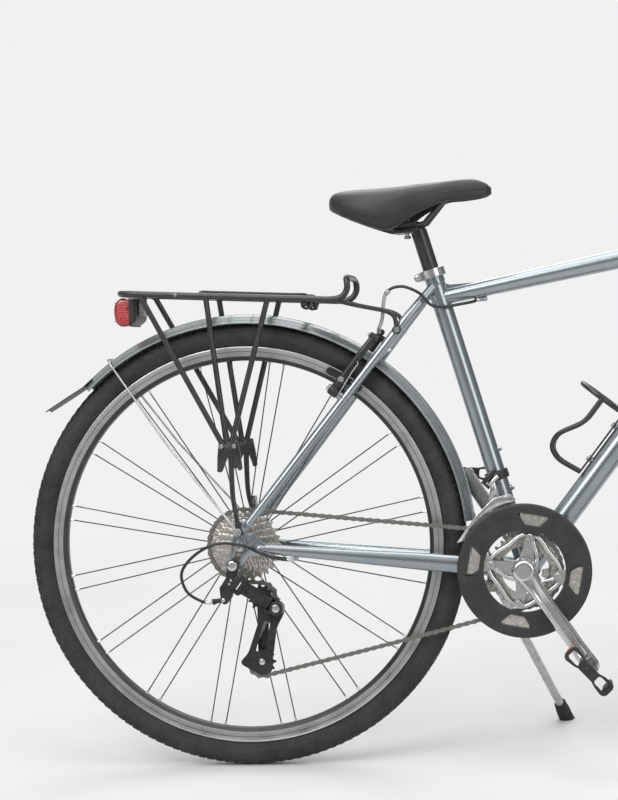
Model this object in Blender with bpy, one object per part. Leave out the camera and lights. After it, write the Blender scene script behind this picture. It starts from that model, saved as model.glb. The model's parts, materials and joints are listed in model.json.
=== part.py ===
"""Trekking bike standing on its kickstand: frame, wheels, drivetrain, brakes, rack and mudguards.

Lengths are in millimetres and turn into metres where meshes are made. The bike is
modelled upright with the rear hub at the origin, +X forward, +Y to the rider's left
and +Z up. One empty called stand then leans it onto its kickstand.
"""
import bpy
import bmesh
from math import acos, atan2, cos, hypot, pi, radians, sin, sqrt
from mathutils import Matrix, Vector

MM = 0.001
GAP = 0.3                      # running gap between touching pieces
DETAIL = 0.5                   # share of the sides asked for on round solids

# Stance and geometry
LEAN = 6.0                     # degrees, onto the kickstand
WHEELBASE = 1061.0
CHAINSTAY = 444.5
BB_DROP = 47.0
SEAT_ANGLE = 74.0
SEAT_TUBE_LENGTH = 487.0
HEAD_ANGLE = 71.0
HEAD_TUBE_LENGTH = 120.0
FORK_RAKE = 47.0
FORK_LENGTH = 430.0            # hub to crown race, along the steerer

# Wheels
TYRE_RADIUS = 350.0
TYRE_WIDTH = 38.0
RIM_RADIUS = 314.5
RIM_DEPTH = 23.0
RIM_WIDTH = 24.0
WHEEL_STEPS = 36
SPOKE_PAIRS = 16
SPOKE_RADIUS = 1.3
FLANGE_RADIUS = 26.0
FLANGE_THICKNESS = 4.0
HUB_SHELL_RADIUS = 16.0
REAR_HUB_WIDTH = 135.0
FRONT_HUB_WIDTH = 100.0
AXLE_RADIUS = 5.0
REAR_FLANGE_RIGHT = 19.0
REAR_FLANGE_LEFT = 34.0
FRONT_FLANGE = 33.0

# Frame tubes
SEAT_TUBE_RADIUS = 15.0
HEAD_TUBE_RADIUS = 19.0
DOWN_TUBE_RADIUS = 19.0
DOWN_TUBE_ANGLE = 51.8
DOWN_TUBE_STRAIGHT = 500.0
TOP_TUBE_RADIUS_REAR = 12.0
TOP_TUBE_RADIUS_FRONT = 18.0
TOP_TUBE_BELOW_SEAT = 43.0     # joint below the top of the seat tube
TOP_TUBE_BELOW_HEAD = 40.0
STAY_RADIUS = 7.5
BB_SHELL_RADIUS = 21.0
BB_SHELL_WIDTH = 68.0
BB_BORE = 8.8                  # clears the spindle
DROPOUT_THICKNESS = 5.0
STEERER_RADIUS = 14.3
BOSS_ORBIT = 282.0             # brake boss from the hub, on both wheels
BOSS_LENGTH = 30.0
BOSS_RADIUS = 4.5

CAGE_BOLTS = (196.0, 260.0)    # bottle cage bolts up the down tube
SEAT_BOSSES = (127.0, 191.0)

# Seat
POST_RADIUS = 12.7
POST_SHOWN = 62.0
POST_INSIDE = 110.0
RAIL_WIRE = 3.5
RAIL_SPREAD = 22.0

# Drivetrain
PITCH = 12.7
COG_TEETH = (11, 13, 15, 17, 19, 21, 24, 28)
COG_STEP = 4.8
COG_THICKNESS = 1.8
BIG_COG_Y = -27.5
RING_TEETH = (28, 38, 48)
RING_THICKNESS = 2.0
RING_LINE = 47.5               # middle ring from the mid plane
RING_STEP = 7.0
PULLEY_TEETH = 11
CHAIN_HEIGHT = 3.9             # half the plate height
CHAIN_WIDTH = 3.3              # half the width over the pins
CRANK_LENGTH = 175.0
CRANK_ANGLE = -56.0
BOLT_CIRCLE = 52.0
GUARD_RADIUS = 104.0
PEDAL_LENGTH = 88.0
PEDAL_WIDTH = 86.0
PEDAL_HEIGHT = 26.0
PEDAL_TILT = -47.0
SPINDLE_RADIUS = 8.5
FD_ABOVE_GUARD = 2.5           # outer cage plate over the guard's edge

# Rear derailleur
GUIDE_PULLEY = Vector((24.0, 0.0, -83.0))
TENSION_PULLEY = Vector((23.0, 0.0, -184.5))
HANGER = Vector((-10.0, 0.0, -28.0))
LINK_PIN = Vector((2.0, -84.0, -62.0))
LINK_RUN = 46.65
LINK_SIDE = 30.0
LINK_HEIGHT = 20.0

# Mudguards, rack and lights
GUARD_CROWN = 366.0
MUDGUARD_WIDTH = 50.0
MUDGUARD_DROP = 15.0
MUDGUARD_SHEET = 1.8
RACK_TUBE = 5.0
RACK_HALF_WIDTH = 58
LIGHT_PLATE_X = -158
LIGHT_PLATE = 3.0
RACK_FRONT = Vector((163.0, 0.0, 381.5))
RACK_REAR = Vector((-186.0, 0.0, 403.7))
EYELET = Vector((-1.3, 0.0, 23.4))
FRONT_EYELET = Vector((-17.0, 0.0, -3.0))   # from the front hub
FLAP_WIRE = 2.2

# Handlebar
BAR_RADIUS = 11.1
BAR_HALF_WIDTH = 298.0
STEM_REACH = 100.0
STEM_RISE = 35.0               # degrees
STEM_STACK = 45.0              # stem centre above the head tube
GRIP_RADIUS = 16.5
GRIP_LENGTH = 95.0
SHIFTER_LENGTH = 50.0
PERCH_WIDTH = 16.0
LEVER_LENGTH = 92.0

# Kickstand
STAND_BEHIND_BB = 54.0
FOOT_FORWARD = 484.0
FOOT_ASIDE = 265.0             # foot beside the mid plane
LEG_RADIUS = 8.0

# Places worked out from the values above
lean = Matrix.Rotation(-radians(LEAN), 3, 'X')
rearHub = Vector((0, 0, 0))
frontHub = Vector((WHEELBASE, 0, 0))
bottomBracket = Vector((sqrt(CHAINSTAY ** 2 - BB_DROP ** 2), 0, -BB_DROP))
seatDir = Vector((-cos(radians(SEAT_ANGLE)), 0, sin(radians(SEAT_ANGLE))))
seatTop = bottomBracket + seatDir * SEAT_TUBE_LENGTH
headDir = Vector((-cos(radians(HEAD_ANGLE)), 0, sin(radians(HEAD_ANGLE))))
headAhead = Vector((headDir.z, 0, -headDir.x))
steerFoot = frontHub - headAhead * FORK_RAKE
headBottom = steerFoot + headDir * (FORK_LENGTH + 8.0)
headTop = headBottom + headDir * HEAD_TUBE_LENGTH
downDir = Vector((cos(radians(DOWN_TUBE_ANGLE)), 0, sin(radians(DOWN_TUBE_ANGLE))))
downUp = Vector((-downDir.z, 0, downDir.x))
axisY = Vector((0, 1, 0))
ringFactor = 1.0 / cos(pi / WHEEL_STEPS)


def pitchRadius(teeth):
    return PITCH / (2 * sin(pi / teeth))


# Scene set-up
for thing in list(bpy.data.objects):
    bpy.data.objects.remove(thing)

finishes = {
    "paint": ((0.45, 0.53, 0.58), 0.25, 0.7),
    "alloy": ((0.72, 0.72, 0.73), 0.3, 1.0),
    "steel": ((0.55, 0.53, 0.5), 0.35, 1.0),
    "black": ((0.025, 0.025, 0.027), 0.4, 0.0),
    "rubber": ((0.02, 0.02, 0.02), 0.75, 0.0),
    "leather": ((0.03, 0.03, 0.03), 0.5, 0.0),
    "grey": ((0.3, 0.33, 0.34), 0.3, 0.3),
    "lens": ((0.6, 0.02, 0.02), 0.15, 0.0),
}


def material(finish):
    found = bpy.data.materials.get(finish)
    if found:
        return found
    colour, roughness, metallic = finishes[finish]
    made = bpy.data.materials.new(finish)
    made.use_nodes = True
    shader = made.node_tree.nodes["Principled BSDF"]
    shader.inputs["Base Color"].default_value = (*colour, 1)
    shader.inputs["Roughness"].default_value = roughness
    shader.inputs["Metallic"].default_value = metallic
    return made


# Solids
def facets(sides):
    return sides if sides <= 6 else max(6, 2 * round(sides * DETAIL / 2))


def clear(radius, sides):
    """Radius of a hole whose flats still clear a round piece of the given radius."""
    return (radius + GAP) / cos(pi / facets(sides))


def solid(verts, faces):
    """A scratch object from points in millimetres, its faces turned outward."""
    mesh = bpy.data.meshes.new("solid")
    mesh.from_pydata([Vector(v) * MM for v in verts], [], faces)
    work = bmesh.new()
    work.from_mesh(mesh)
    bmesh.ops.recalc_face_normals(work, faces=work.faces)
    work.to_mesh(mesh)
    work.free()
    return bpy.data.objects.new("solid", mesh)


def loft(rings, closed=False):
    """Skin through rings of equal size, capped at both ends unless it closes on itself."""
    count = len(rings[0])
    verts = [p for ring in rings for p in ring]
    faces = []
    last = len(rings) if closed else len(rings) - 1
    for i in range(last):
        a = i * count
        b = ((i + 1) % len(rings)) * count
        for j in range(count):
            k = (j + 1) % count
            faces.append((a + j, a + k, b + k, b + j))
    if not closed:
        faces.append(tuple(range(count)))
        faces.append(tuple(range(len(verts) - count, len(verts))))
    return solid(verts, faces)


def tube(path, radius, sides=10, closed=False, side=None, turn=0.0):
    """A tube along a path. A radius is a number, a (width, height) pair or a list of these."""
    path = [Vector(p) for p in path]
    sides = facets(sides)
    count = len(path)
    radii = radius if isinstance(radius, list) else [radius] * count
    rings = []
    across = None
    for i, point in enumerate(path):
        before = path[i - 1] if (i or closed) else point
        after = path[(i + 1) % count] if (i < count - 1 or closed) else point
        one = (point - before).normalized()
        two = (after - point).normalized()
        along = (one + two).normalized()
        if across is None:
            hint = side or (axisY if abs(along.y) < 0.9 else Vector((1, 0, 0)))
            across = hint
        across = (across - along * across.dot(along)).normalized()
        up = along.cross(across)
        wide, high = radii[i] if isinstance(radii[i], tuple) else (radii[i], radii[i])
        ring = []
        for j in range(sides):
            angle = 2 * pi * (j + 0.5) / sides + turn
            ring.append(point + across * wide * cos(angle) + up * high * sin(angle))
        rings.append(ring)
    return loft(rings, closed)


def smooth(points, step):
    """Points along a curve through the given ones, about a step apart."""
    points = [Vector(p) for p in points]
    ends = [points[0] * 2 - points[1]] + points + [points[-1] * 2 - points[-2]]
    found = []
    for i in range(1, len(ends) - 2):
        a, b, c, d = ends[i - 1:i + 3]
        pieces = max(1, round((c - b).length / step))
        for j in range(pieces):
            t = j / pieces
            found.append(0.5 * ((2 * b) + (c - a) * t + (2 * a - 5 * b + 4 * c - d) * t * t
                                + (3 * b - a - 3 * c + d) * t ** 3))
    found.append(points[-1])
    return found


def lathe(profile, centre, axis=axisY, sides=24, ring=False, factor=1.0, exact=False):
    """A turned solid. The profile lists (distance along the axis, radius)."""
    axis = Vector(axis).normalized()
    sides = sides if exact else facets(sides)
    hint = Vector((0, 0, 1)) if abs(axis.z) < 0.9 else Vector((1, 0, 0))
    across = (hint - axis * hint.dot(axis)).normalized()
    up = axis.cross(across)
    centre = Vector(centre)
    rings = []
    for i in range(sides):
        angle = 2 * pi * (i + 0.5) / sides
        out = across * cos(angle) + up * sin(angle)
        rings.append([centre + axis * a + out * r * factor for a, r in profile])
    if ring:
        return loft(rings, closed=True)
    count = len(profile)
    verts = [p for line in rings for p in line]
    faces = []
    for i in range(sides):
        a = i * count
        b = ((i + 1) % sides) * count
        for j in range(count - 1):
            faces.append((a + j, a + j + 1, b + j + 1, b + j))
    faces.append(tuple(i * count for i in range(sides)))
    faces.append(tuple(i * count + count - 1 for i in range(sides)))
    return solid(verts, faces)


def rod(start, end, radius, sides=10):
    start = Vector(start)
    end = Vector(end)
    return lathe([(0, radius), ((end - start).length, radius)], start, end - start, sides)


def plate(outline, low, high):
    """A flat plate in the XZ plane between two heights across the bike."""
    return loft([[Vector((x, y, z)) for x, z in outline] for y in (low, high)])


def block(centre, size, axes=None):
    """A box. Its three axes may be given as directions."""
    centre = Vector(centre)
    axes = axes or (Vector((1, 0, 0)), axisY, Vector((0, 0, 1)))
    half = [Vector(a).normalized() * s / 2 for a, s in zip(axes, size)]
    rings = []
    for end in (-1, 1):
        rings.append([centre + half[0] * end + half[1] * j + half[2] * k
                      for j, k in ((-1, -1), (1, -1), (1, 1), (-1, 1))])
    return loft(rings)


def disc(centre, radius, low, high, sides=24):
    """A round plate across the bike, between two heights measured on Y."""
    centre = Vector((centre[0], 0, centre[2]))
    return lathe([(low, radius), (high, radius)], centre, axisY, sides)


def rodHole(start, end, radius, sides=10):
    return rod(start, end, clear(radius - GAP, sides), sides)


def discHole(centre, radius, low, high, sides=24):
    return disc(centre, clear(radius - GAP, sides), low, high, sides)


def polygon(centre, teeth, tip):
    """Outline of a toothed wheel, one corner to a tooth."""
    outline = []
    for i in range(teeth):
        angle = 2 * pi * i / teeth
        outline.append((centre[0] + tip * cos(angle), centre[2] + tip * sin(angle)))
    return outline


def combine(base, others, how):
    if not others:
        return base
    group = bpy.data.collections.new("group")
    bpy.context.scene.collection.children.link(group)
    for other in others:
        group.objects.link(other)
    bpy.context.scene.collection.objects.link(base)
    step = base.modifiers.new("step", 'BOOLEAN')
    step.operation = how
    step.solver = 'EXACT'
    step.operand_type = 'COLLECTION'
    step.collection = group
    graph = bpy.context.evaluated_depsgraph_get()
    mesh = bpy.data.meshes.new_from_object(base.evaluated_get(graph))
    for other in others + [base]:
        bpy.data.objects.remove(other)
    bpy.data.collections.remove(group)
    return bpy.data.objects.new("solid", mesh)


# Empties that carry the moving groups
placed = {}


def pivot(name, point, axis, parent=None):
    """An empty on a joint's axis, with its own Z along that axis."""
    made = bpy.data.objects.new(name, None)
    bpy.context.scene.collection.objects.link(made)
    turn = Vector(axis).normalized().to_track_quat('Z', 'Y').to_matrix().to_4x4()
    made.matrix_basis = Matrix.Translation(Vector(point) * MM) @ turn
    placed[made] = made.matrix_basis.copy()
    made.parent = parent
    if parent:
        made.matrix_parent_inverse = placed[parent].inverted()
    return made


def piece(name, finish, carrier, solids, cuts=()):
    """Join solids into one named piece, cut it, and hang it on its carrier."""
    made = combine(solids[0], list(solids[1:]), 'UNION')
    made = combine(made, list(cuts), 'DIFFERENCE')
    work = bmesh.new()
    work.from_mesh(made.data)
    bmesh.ops.remove_doubles(work, verts=work.verts, dist=2e-6)
    bmesh.ops.dissolve_degenerate(work, dist=2e-6, edges=work.edges)
    bmesh.ops.dissolve_limit(work, angle_limit=radians(0.3), verts=work.verts, edges=work.edges)
    bmesh.ops.triangulate(work, faces=work.faces)
    work.to_mesh(made.data)
    work.free()
    made.name = name
    made.data.name = name
    made.data.materials.clear()
    made.data.materials.append(material(finish))
    made.data.shade_smooth()
    made.data.set_sharp_from_angle(angle=radians(35))
    bpy.context.scene.collection.objects.link(made)
    made.parent = carrier
    made.matrix_parent_inverse = placed[carrier].inverted()
    return made


stand = pivot("stand", (0, 0, 0), (0, 0, 1))


# Frame
def railHeight(x):
    share = (x - RACK_REAR.x) / (RACK_FRONT.x - RACK_REAR.x)
    return RACK_REAR.z + (RACK_FRONT.z - RACK_REAR.z) * share


dropIn = REAR_HUB_WIDTH / 2
dropOut = dropIn + DROPOUT_THICKNESS
stayFoot = Vector((14, dropIn + 1.5, 36))
stayKnee = Vector((265, 30, 345))
stayHead = seatTop - seatDir * 24 + Vector((-4, 11, 0))
chainFoot = Vector((30, dropIn + 1.5, -3))
chainEnd = bottomBracket + Vector((-6, 24, 0))
stayLine = (stayKnee - stayFoot).normalized()


def onCircle(start, end, centre, radius):
    """Where a straight line, seen from the side, crosses a circle about a hub."""
    run = end - start
    low, high = 0.0, 1.0
    for _ in range(40):
        mid = (low + high) / 2
        spot = start + run * mid - centre
        if hypot(spot.x, spot.z) < radius:
            low = mid
        else:
            high = mid
    return start + run * low


def mirrored(point, side):
    return Vector((point.x, point.y * side, point.z))


def downPath():
    bend = bottomBracket + downDir * DOWN_TUBE_STRAIGHT
    end = headBottom + headDir * 36
    knee = bend + downDir * 62
    points = [bottomBracket, bend]
    for i in range(1, 6):
        t = i / 6
        points.append(bend * (1 - t) ** 2 + knee * 2 * t * (1 - t) + end * t * t)
    points.append(end)
    return points


def frame():
    topRear = seatTop - seatDir * TOP_TUBE_BELOW_SEAT
    topFront = headTop - headDir * TOP_TUBE_BELOW_HEAD
    parts = [tube(downPath(), DOWN_TUBE_RADIUS, 16)]
    parts.append(rod(bottomBracket, seatTop, SEAT_TUBE_RADIUS, 20))
    parts.append(rod(headBottom, headTop, HEAD_TUBE_RADIUS, 20))
    parts.append(tube([topRear, topFront], [TOP_TUBE_RADIUS_REAR, TOP_TUBE_RADIUS_FRONT], 16))
    shell = BB_SHELL_WIDTH / 2
    parts.append(lathe([(-shell, BB_SHELL_RADIUS), (shell, BB_SHELL_RADIUS)], bottomBracket,
                       axisY, 24))
    # Gusset web between the seat tube and the top tube
    corner = topRear + seatDir * 10
    along = (topFront - topRear).normalized()
    web = [corner + seatDir * 17, corner + along * 62 + seatDir * 2, topRear + along * 30,
           topRear - seatDir * 4]
    parts.append(plate([(p.x, p.z) for p in web], -3, 3))
    for side in (-1, 1):
        foot = mirrored(stayFoot, side)
        knee = mirrored(stayKnee, side)
        head = mirrored(stayHead, side)
        parts.append(tube([foot, knee, head], STAY_RADIUS, 12))
        mid = chainFoot.lerp(chainEnd, 0.28)
        wide = chainFoot.lerp(chainEnd, 0.62)
        line = [mirrored(p, side) for p in (chainFoot, mid, wide, chainEnd)]
        parts.append(tube(line, [(6, 7), (7.5, 10), (8, 14), (8, 14.5)], 12))
        # Dropout plate with its hanger, eyelet and axle seat
        low, high = sorted((side * dropIn, side * dropOut))
        out = [(stayFoot.x - 8, stayFoot.z + 8), (stayFoot.x + 9, stayFoot.z + 2), (28, 14),
               (40, 4), (38, -10), (16, -13)]
        tail = [(HANGER.x + 9, HANGER.z - 2), (HANGER.x + 4, HANGER.z - 9),
                (HANGER.x - 6, HANGER.z - 8), (HANGER.x - 9, HANGER.z + 2), (-13, -6)]
        back = [(-12, 6), (EYELET.x - 6, EYELET.z), (EYELET.x - 1, EYELET.z + 6)]
        parts.append(plate(out + tail + back, low, high))
        parts.append(disc(EYELET, 5.5, *sorted((side * (dropIn + 1), side * (dropOut + 1.5))), 12))
        # Brake boss and its reinforcement
        boss = mirrored(onCircle(stayFoot, stayKnee, rearHub, BOSS_ORBIT), side)
        behind = Vector((-stayLine.z, 0, stayLine.x)).normalized()
        parts.append(rod(boss, boss + behind * (STAY_RADIUS + 5), 7.5, 12))
        parts.append(rod(boss, boss + behind * BOSS_LENGTH, BOSS_RADIUS, 10))
    # Bridges that tie the stays together
    high = onCircle(stayFoot, stayKnee, rearHub, GUARD_CROWN + 16)
    parts.append(rod(mirrored(high, -1), high, 6, 10))
    low = chainFoot.lerp(chainEnd, 0.89)
    parts.append(rod(mirrored(low, -1), low, 7, 10))
    # Headset cups
    cup = HEAD_TUBE_RADIUS + 3
    parts.append(lathe([(-7.5, cup - 3), (-4, cup), (4, cup), (6, cup - 4)], headBottom, headDir, 20))
    parts.append(lathe([(-6, cup - 4), (-4, cup), (4, cup), (9, cup - 3)], headTop, headDir, 20))
    # Cable stops and bottle bosses
    for share in (0.13, 0.86):
        stop = topRear.lerp(topFront, share)
        drop = TOP_TUBE_RADIUS_REAR + (TOP_TUBE_RADIUS_FRONT - TOP_TUBE_RADIUS_REAR) * share
        parts.append(block(stop - Vector((0, 0, drop + 3)), (11, 8, 10)))
    for mm in CAGE_BOLTS:
        spot = bottomBracket + downDir * mm
        parts.append(rod(spot, spot + downUp * (DOWN_TUBE_RADIUS + 2), 5, 10))
    for mm in SEAT_BOSSES:
        spot = bottomBracket + seatDir * mm
        parts.append(rod(spot, spot + Vector((seatDir.z, 0, -seatDir.x)) * (SEAT_TUBE_RADIUS + 3), 4.5, 10))
    stop = chainFoot.lerp(chainEnd, 0.14)
    parts.append(block(mirrored(stop, -1) - Vector((0, 0, 11)), (9, 8, 12)))
    cuts = [rodHole(seatTop - seatDir * (POST_INSIDE + 60), seatTop + seatDir * 9,
                POST_RADIUS + GAP, 20)]
    cuts.append(rodHole(headBottom - headDir * 20, headTop + headDir * 20, STEERER_RADIUS + GAP, 20))
    cuts.append(discHole(bottomBracket, BB_BORE, -shell - 9, shell + 9, 20))
    cuts.append(discHole(rearHub, AXLE_RADIUS + GAP, -dropOut - 9, dropOut + 9, 12))
    cuts.append(plate([(-2 * AXLE_RADIUS, -14 - 9), (-1, -14 - 9), (AXLE_RADIUS + GAP, 0),
                       (-AXLE_RADIUS - GAP, 0)], -dropOut - 9, dropOut + 9))
    cuts.append(discHole(EYELET, 2.6, -dropOut - 9, dropOut + 9, 10))
    cuts.append(discHole(HANGER, 3.9, -dropOut - 9, -dropIn + 9, 12))
    cuts.append(discHole((18, 0, 26), 5, -dropOut - 9, -dropIn + 9, 12))
    cuts.append(discHole((18, 0, 26), 5, dropIn - 9, dropOut + 9, 12))
    return piece("frame", "paint", stand, parts, cuts)


def seatClamp():
    inner = SEAT_TUBE_RADIUS + GAP / cos(pi / facets(20))
    outer = inner + 4.5
    ring = lathe([(-10, inner), (-10, outer), (4, outer), (4, inner)], seatTop, seatDir, 20,
                 ring=True)
    back = Vector((-seatDir.z, 0, seatDir.x))
    spot = seatTop - seatDir * 3 + back * (outer + 3.5)
    ears = block(spot, (12, 13, 12), (back, axisY, seatDir))
    slot = block(spot - back * 3, (24, 2, 40), (back, axisY, seatDir))
    ring = combine(combine(ring, [ears], 'UNION'), [slot], 'DIFFERENCE')
    bolt = rod(spot - axisY * 9, spot + axisY * 9, 2.8, 8)
    piece("seat_clamp", "alloy", stand, [ring, bolt])


def railPath(past=0.0):
    half = [(183 - past, 33, 538 + past * 2), (190, 32, 526), (204, 28, 506), (222, 23, 496),
            (249, RAIL_SPREAD, 493),
            (295, RAIL_SPREAD, 496), (306, 21, 504), (330, 14, 531), (341, 10, 544), (348, 5, 547)]
    half = [Vector(p) for p in half]
    return half + [mirrored(p, -1) for p in reversed(half)]


def seat():
    head = seatTop + seatDir * POST_SHOWN
    post = rod(seatTop - seatDir * POST_INSIDE, head + seatDir * 10, POST_RADIUS, 20)
    cradle = block((271, 0, 492.5), (42, 54, 18))
    bolt = rod((271, 0, 478), (271, 0, 506), 3, 8)
    neck = block((282, 0, 480), (20, 20, 14))
    cut = tube(railPath(), RAIL_WIRE + 2 * GAP, 8)
    piece("seatpost", "black", stand, [post, neck, cradle, bolt], [cut])
    piece("saddle_rails", "steel", stand, [tube(railPath(), RAIL_WIRE, 8)])


def saddle():
    stations = [(150, 12, 538, 528), (153, 34, 543, 522), (160, 52, 549, 517), (175, 67, 552.5, 509),
                (200, 78, 554, 499), (228, 82, 554.5, 489), (248, 80, 555.5, 484.5),
                (268, 71, 557, 494), (290, 55, 559.5, 509), (314, 41, 561, 521),
                (336, 31, 562.5, 529), (360, 24.5, 564.5, 530), (382, 20, 563.5, 532),
                (398, 14, 556.5, 535), (405, 6, 550, 539)]
    rings = []
    for x, wide, top, edge in stations:
        tall = top - edge
        under = max(edge + 2, top - 23)
        shares = [(0.9, 0.0), (1.0, 0.28), (0.98, 0.55), (0.86, 0.8), (0.6, 0.95), (0.25, 1.0)]
        ring = [(y * wide, edge + tall * z) for y, z in shares]
        ring += [(-y, z) for y, z in reversed(ring)]
        ring += [(-0.72 * wide, edge + 1), (-0.5 * wide, under), (0.5 * wide, under),
                 (0.72 * wide, edge + 1)]
        rings.append([Vector((x, y, z)) for y, z in ring])
    piece("saddle", "leather", stand, [loft(rings)], [tube(railPath(GAP), RAIL_WIRE + GAP, 8)])


# Rack, light and mudguards
def rackPoint(x, y, drop=0.0):
    return Vector((x, y, railHeight(x) - drop))


flapHinge = rackPoint(112, 0, 8.0)
stayOut = dropOut + 1.5 + GAP


def rack():
    parts = []
    loop = []
    for side in (1, -1):
        y = RACK_HALF_WIDTH * side
        half = [rackPoint(RACK_REAR.x, 0) + Vector((0, side * 36, 0)),
                rackPoint(RACK_REAR.x + 7, side * (RACK_HALF_WIDTH - 6)),
                rackPoint(RACK_REAR.x + 22, y), rackPoint(RACK_FRONT.x - 4, y),
                Vector((174, y, 386)), Vector((181, y, 398)), Vector((180, y, 410)),
                Vector((178, y * 0.8, 416))]
        loop += half if side == 1 else list(reversed(half))
    parts.append(tube(loop, RACK_TUBE, 8, closed=True))
    for x in (LIGHT_PLATE_X, -50, 50):
        y = RACK_HALF_WIDTH
        parts.append(rod(rackPoint(x, -y), rackPoint(x, y), RACK_TUBE - 1, 8))
    y = RACK_HALF_WIDTH + 1
    parts.append(rod(flapHinge - axisY * y, flapHinge + axisY * y, RACK_TUBE - 1, 10))
    parts.append(block((LIGHT_PLATE_X, 0, 385), (LIGHT_PLATE, 60, 34)))
    for side in (1, -1):
        y = RACK_HALF_WIDTH * side
        low = side * 70
        for top, foot in ((-150.5, (-22, 160)), (-44.2, (-16, 162)), (54.7, (-8, 164))):
            parts.append(rod(rackPoint(top, y), (foot[0], low, foot[1]), RACK_TUBE - 0.5, 8))
        # Bracket where the struts meet, with hook tips
        ends = sorted((low - 3 * side, low + 3 * side))
        outline = [(-32, 119), (-24, 119), (-14, 142), (-6, 142), (1, 121), (8, 123), (2, 166), (-28, 166)]
        parts.append(plate(outline, *ends))
        foot = Vector((EYELET.x, side * (stayOut + 1.75), EYELET.z + 4))
        parts.append(tube([(-10, low, 150), (-9, low, 84), (-4, foot.y - side * 1.5, 52),
                           (EYELET.x - 0.5, foot.y, 40), foot],
                          [4.5, 4, (2.6, 3.6), (1.9, 4), (1.9, 4)], 8))
        parts.append(disc(EYELET, 6.5, *sorted((side * stayOut, side * (stayOut + 3.5))), 12))
        # Front stay down to the seat stay
        bolt = seatStayBolt(side)
        path = [rackPoint(155, y), Vector((196, 54 * side, 371)), Vector((238, side * 45, 362)),
                bolt + Vector((-2, 0, 22)), bolt + Vector((0, 0, 2))]
        parts.append(tube(path, 3.5, 6))
        ends = sorted((bolt.y - 2.5 * side, bolt.y + 2.5 * side))
        parts.append(disc(bolt, 7, *ends, 12))
    cuts = [discHole(EYELET, 2.6, -99, 99, 10)]
    piece("rear_rack", "black", stand, parts, cuts)


def seatStayBolt(side):
    """Centre of the rack stay's eye, just outside the seat stay."""
    share = (254 - stayFoot.x) / (stayKnee.x - stayFoot.x)
    spot = stayFoot.lerp(stayKnee, share)
    return Vector((spot.x, side * (spot.y + STAY_RADIUS + 3.2), spot.z))


def rackClamp():
    wire = FLAP_WIRE - 0.3
    over = RACK_TUBE + wire + GAP
    coil = RACK_TUBE - 1 + wire + 0.9
    half = [flapHinge + Vector((coil, 26.5, -8))]
    turns = 3
    steps = 8
    for i in range(turns * steps + 1):
        angle = 2 * pi * i / steps
        half.append(flapHinge + Vector((coil * cos(angle), 27 + 14 * i / (turns * steps),
                                        coil * sin(angle))))
    lift = coil + 6
    half += [flapHinge + Vector((lift - 3, 42, 6)), flapHinge + Vector((2, 42, lift + 3)),
             rackPoint(88, 42) + Vector((0, 0, over)), rackPoint(-40, 42) + Vector((0, 0, over)),
             rackPoint(-54, 36) + Vector((0, 0, over)), rackPoint(-58, 24) + Vector((0, 0, over))]
    path = half + [mirrored(p, -1) for p in reversed(half)]
    axle = pivot("flap_axis", flapHinge, axisY, stand)
    arm = [tube(path, wire, 4)]
    for x in (-23, 17, 57):
        cross = rackPoint(x, 42) + Vector((0, 0, over))
        arm.append(block(cross - axisY * 42, (wire * 1.2, 84, wire * 1.1)))
    piece("rack_clamp", "black", axle, arm)


def rearLight():
    seat = LIGHT_PLATE_X - LIGHT_PLATE / 2 - GAP
    edge = [(seat, 396), (seat, 361), (-172, 352), (-186, 351), (-194, 359), (-196, 374),
            (-194, 388), (-186, 397)]
    mid = Vector((-178, 0, 375))
    rings = []
    for y, share in ((-44, 0.72), (-40, 1), (40, 1), (44, 0.72)):
        rings.append([Vector((mid.x + (x - mid.x) * share, y, mid.z + (z - mid.z) * share))
                      for x, z in edge])
    piece("rear_light", "lens", stand, [loft(rings)])


def arch(centre, start, end, steps):
    """A mudguard: an arched strip swept about a hub between two angles in degrees."""
    half = MUDGUARD_WIDTH / 2
    outer = [(-half, -MUDGUARD_DROP), (-half * 0.62, -1.5)]
    outer += [(-y, r) for y, r in reversed(outer)]
    inner = [((half - MUDGUARD_SHEET) / half * y, r - MUDGUARD_SHEET * (0 if abs(y) == half else 1))
             for y, r in reversed(outer)]
    section = outer + inner
    rings = []
    for i in range(steps + 1):
        angle = radians(start + (end - start) * i / steps)
        out = Vector((cos(angle), 0, sin(angle)))
        rings.append([centre + out * (GUARD_CROWN + r) + axisY * y for y, r in section])
    return loft(rings)


def radial(centre, degrees, radius, y=0.0):
    angle = radians(degrees)
    return centre + Vector((radius * cos(angle), y, radius * sin(angle)))


def stayWire(centre, angle, eye, out, wireRadius):
    """A wire stay that wraps over the mudguard, with an eye and bolt at each end."""
    crown = GUARD_CROWN + wireRadius - 1.9
    half = MUDGUARD_WIDTH / 2 + wireRadius - 1.5
    start = eye + axisY * (out + 2)
    path = [start, start + radial(Vector((0, 0, 0)), angle, 13, 0), radial(centre, angle, 200, half + 22),
            radial(centre, angle, crown - 18, half), radial(centre, angle, crown - 6, half * 0.96),
            radial(centre, angle, crown - 0.5, half * 0.62), radial(centre, angle, crown, 0)]
    path = path + [mirrored(p, -1) for p in reversed(path[:-1])]
    parts = [tube(path, wireRadius, 4)]
    for side in (1, -1):
        parts.append(disc(eye, 6, *sorted((side * out, side * (out + 3))), 12))
        parts.append(disc(eye, 2.2, *sorted((side * (out - 7.5), side * (out + 1))), 10))
        parts.append(disc(eye, 4.2, *sorted((side * (out + 2), side * (out + 6))), 6))
    return parts


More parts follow.
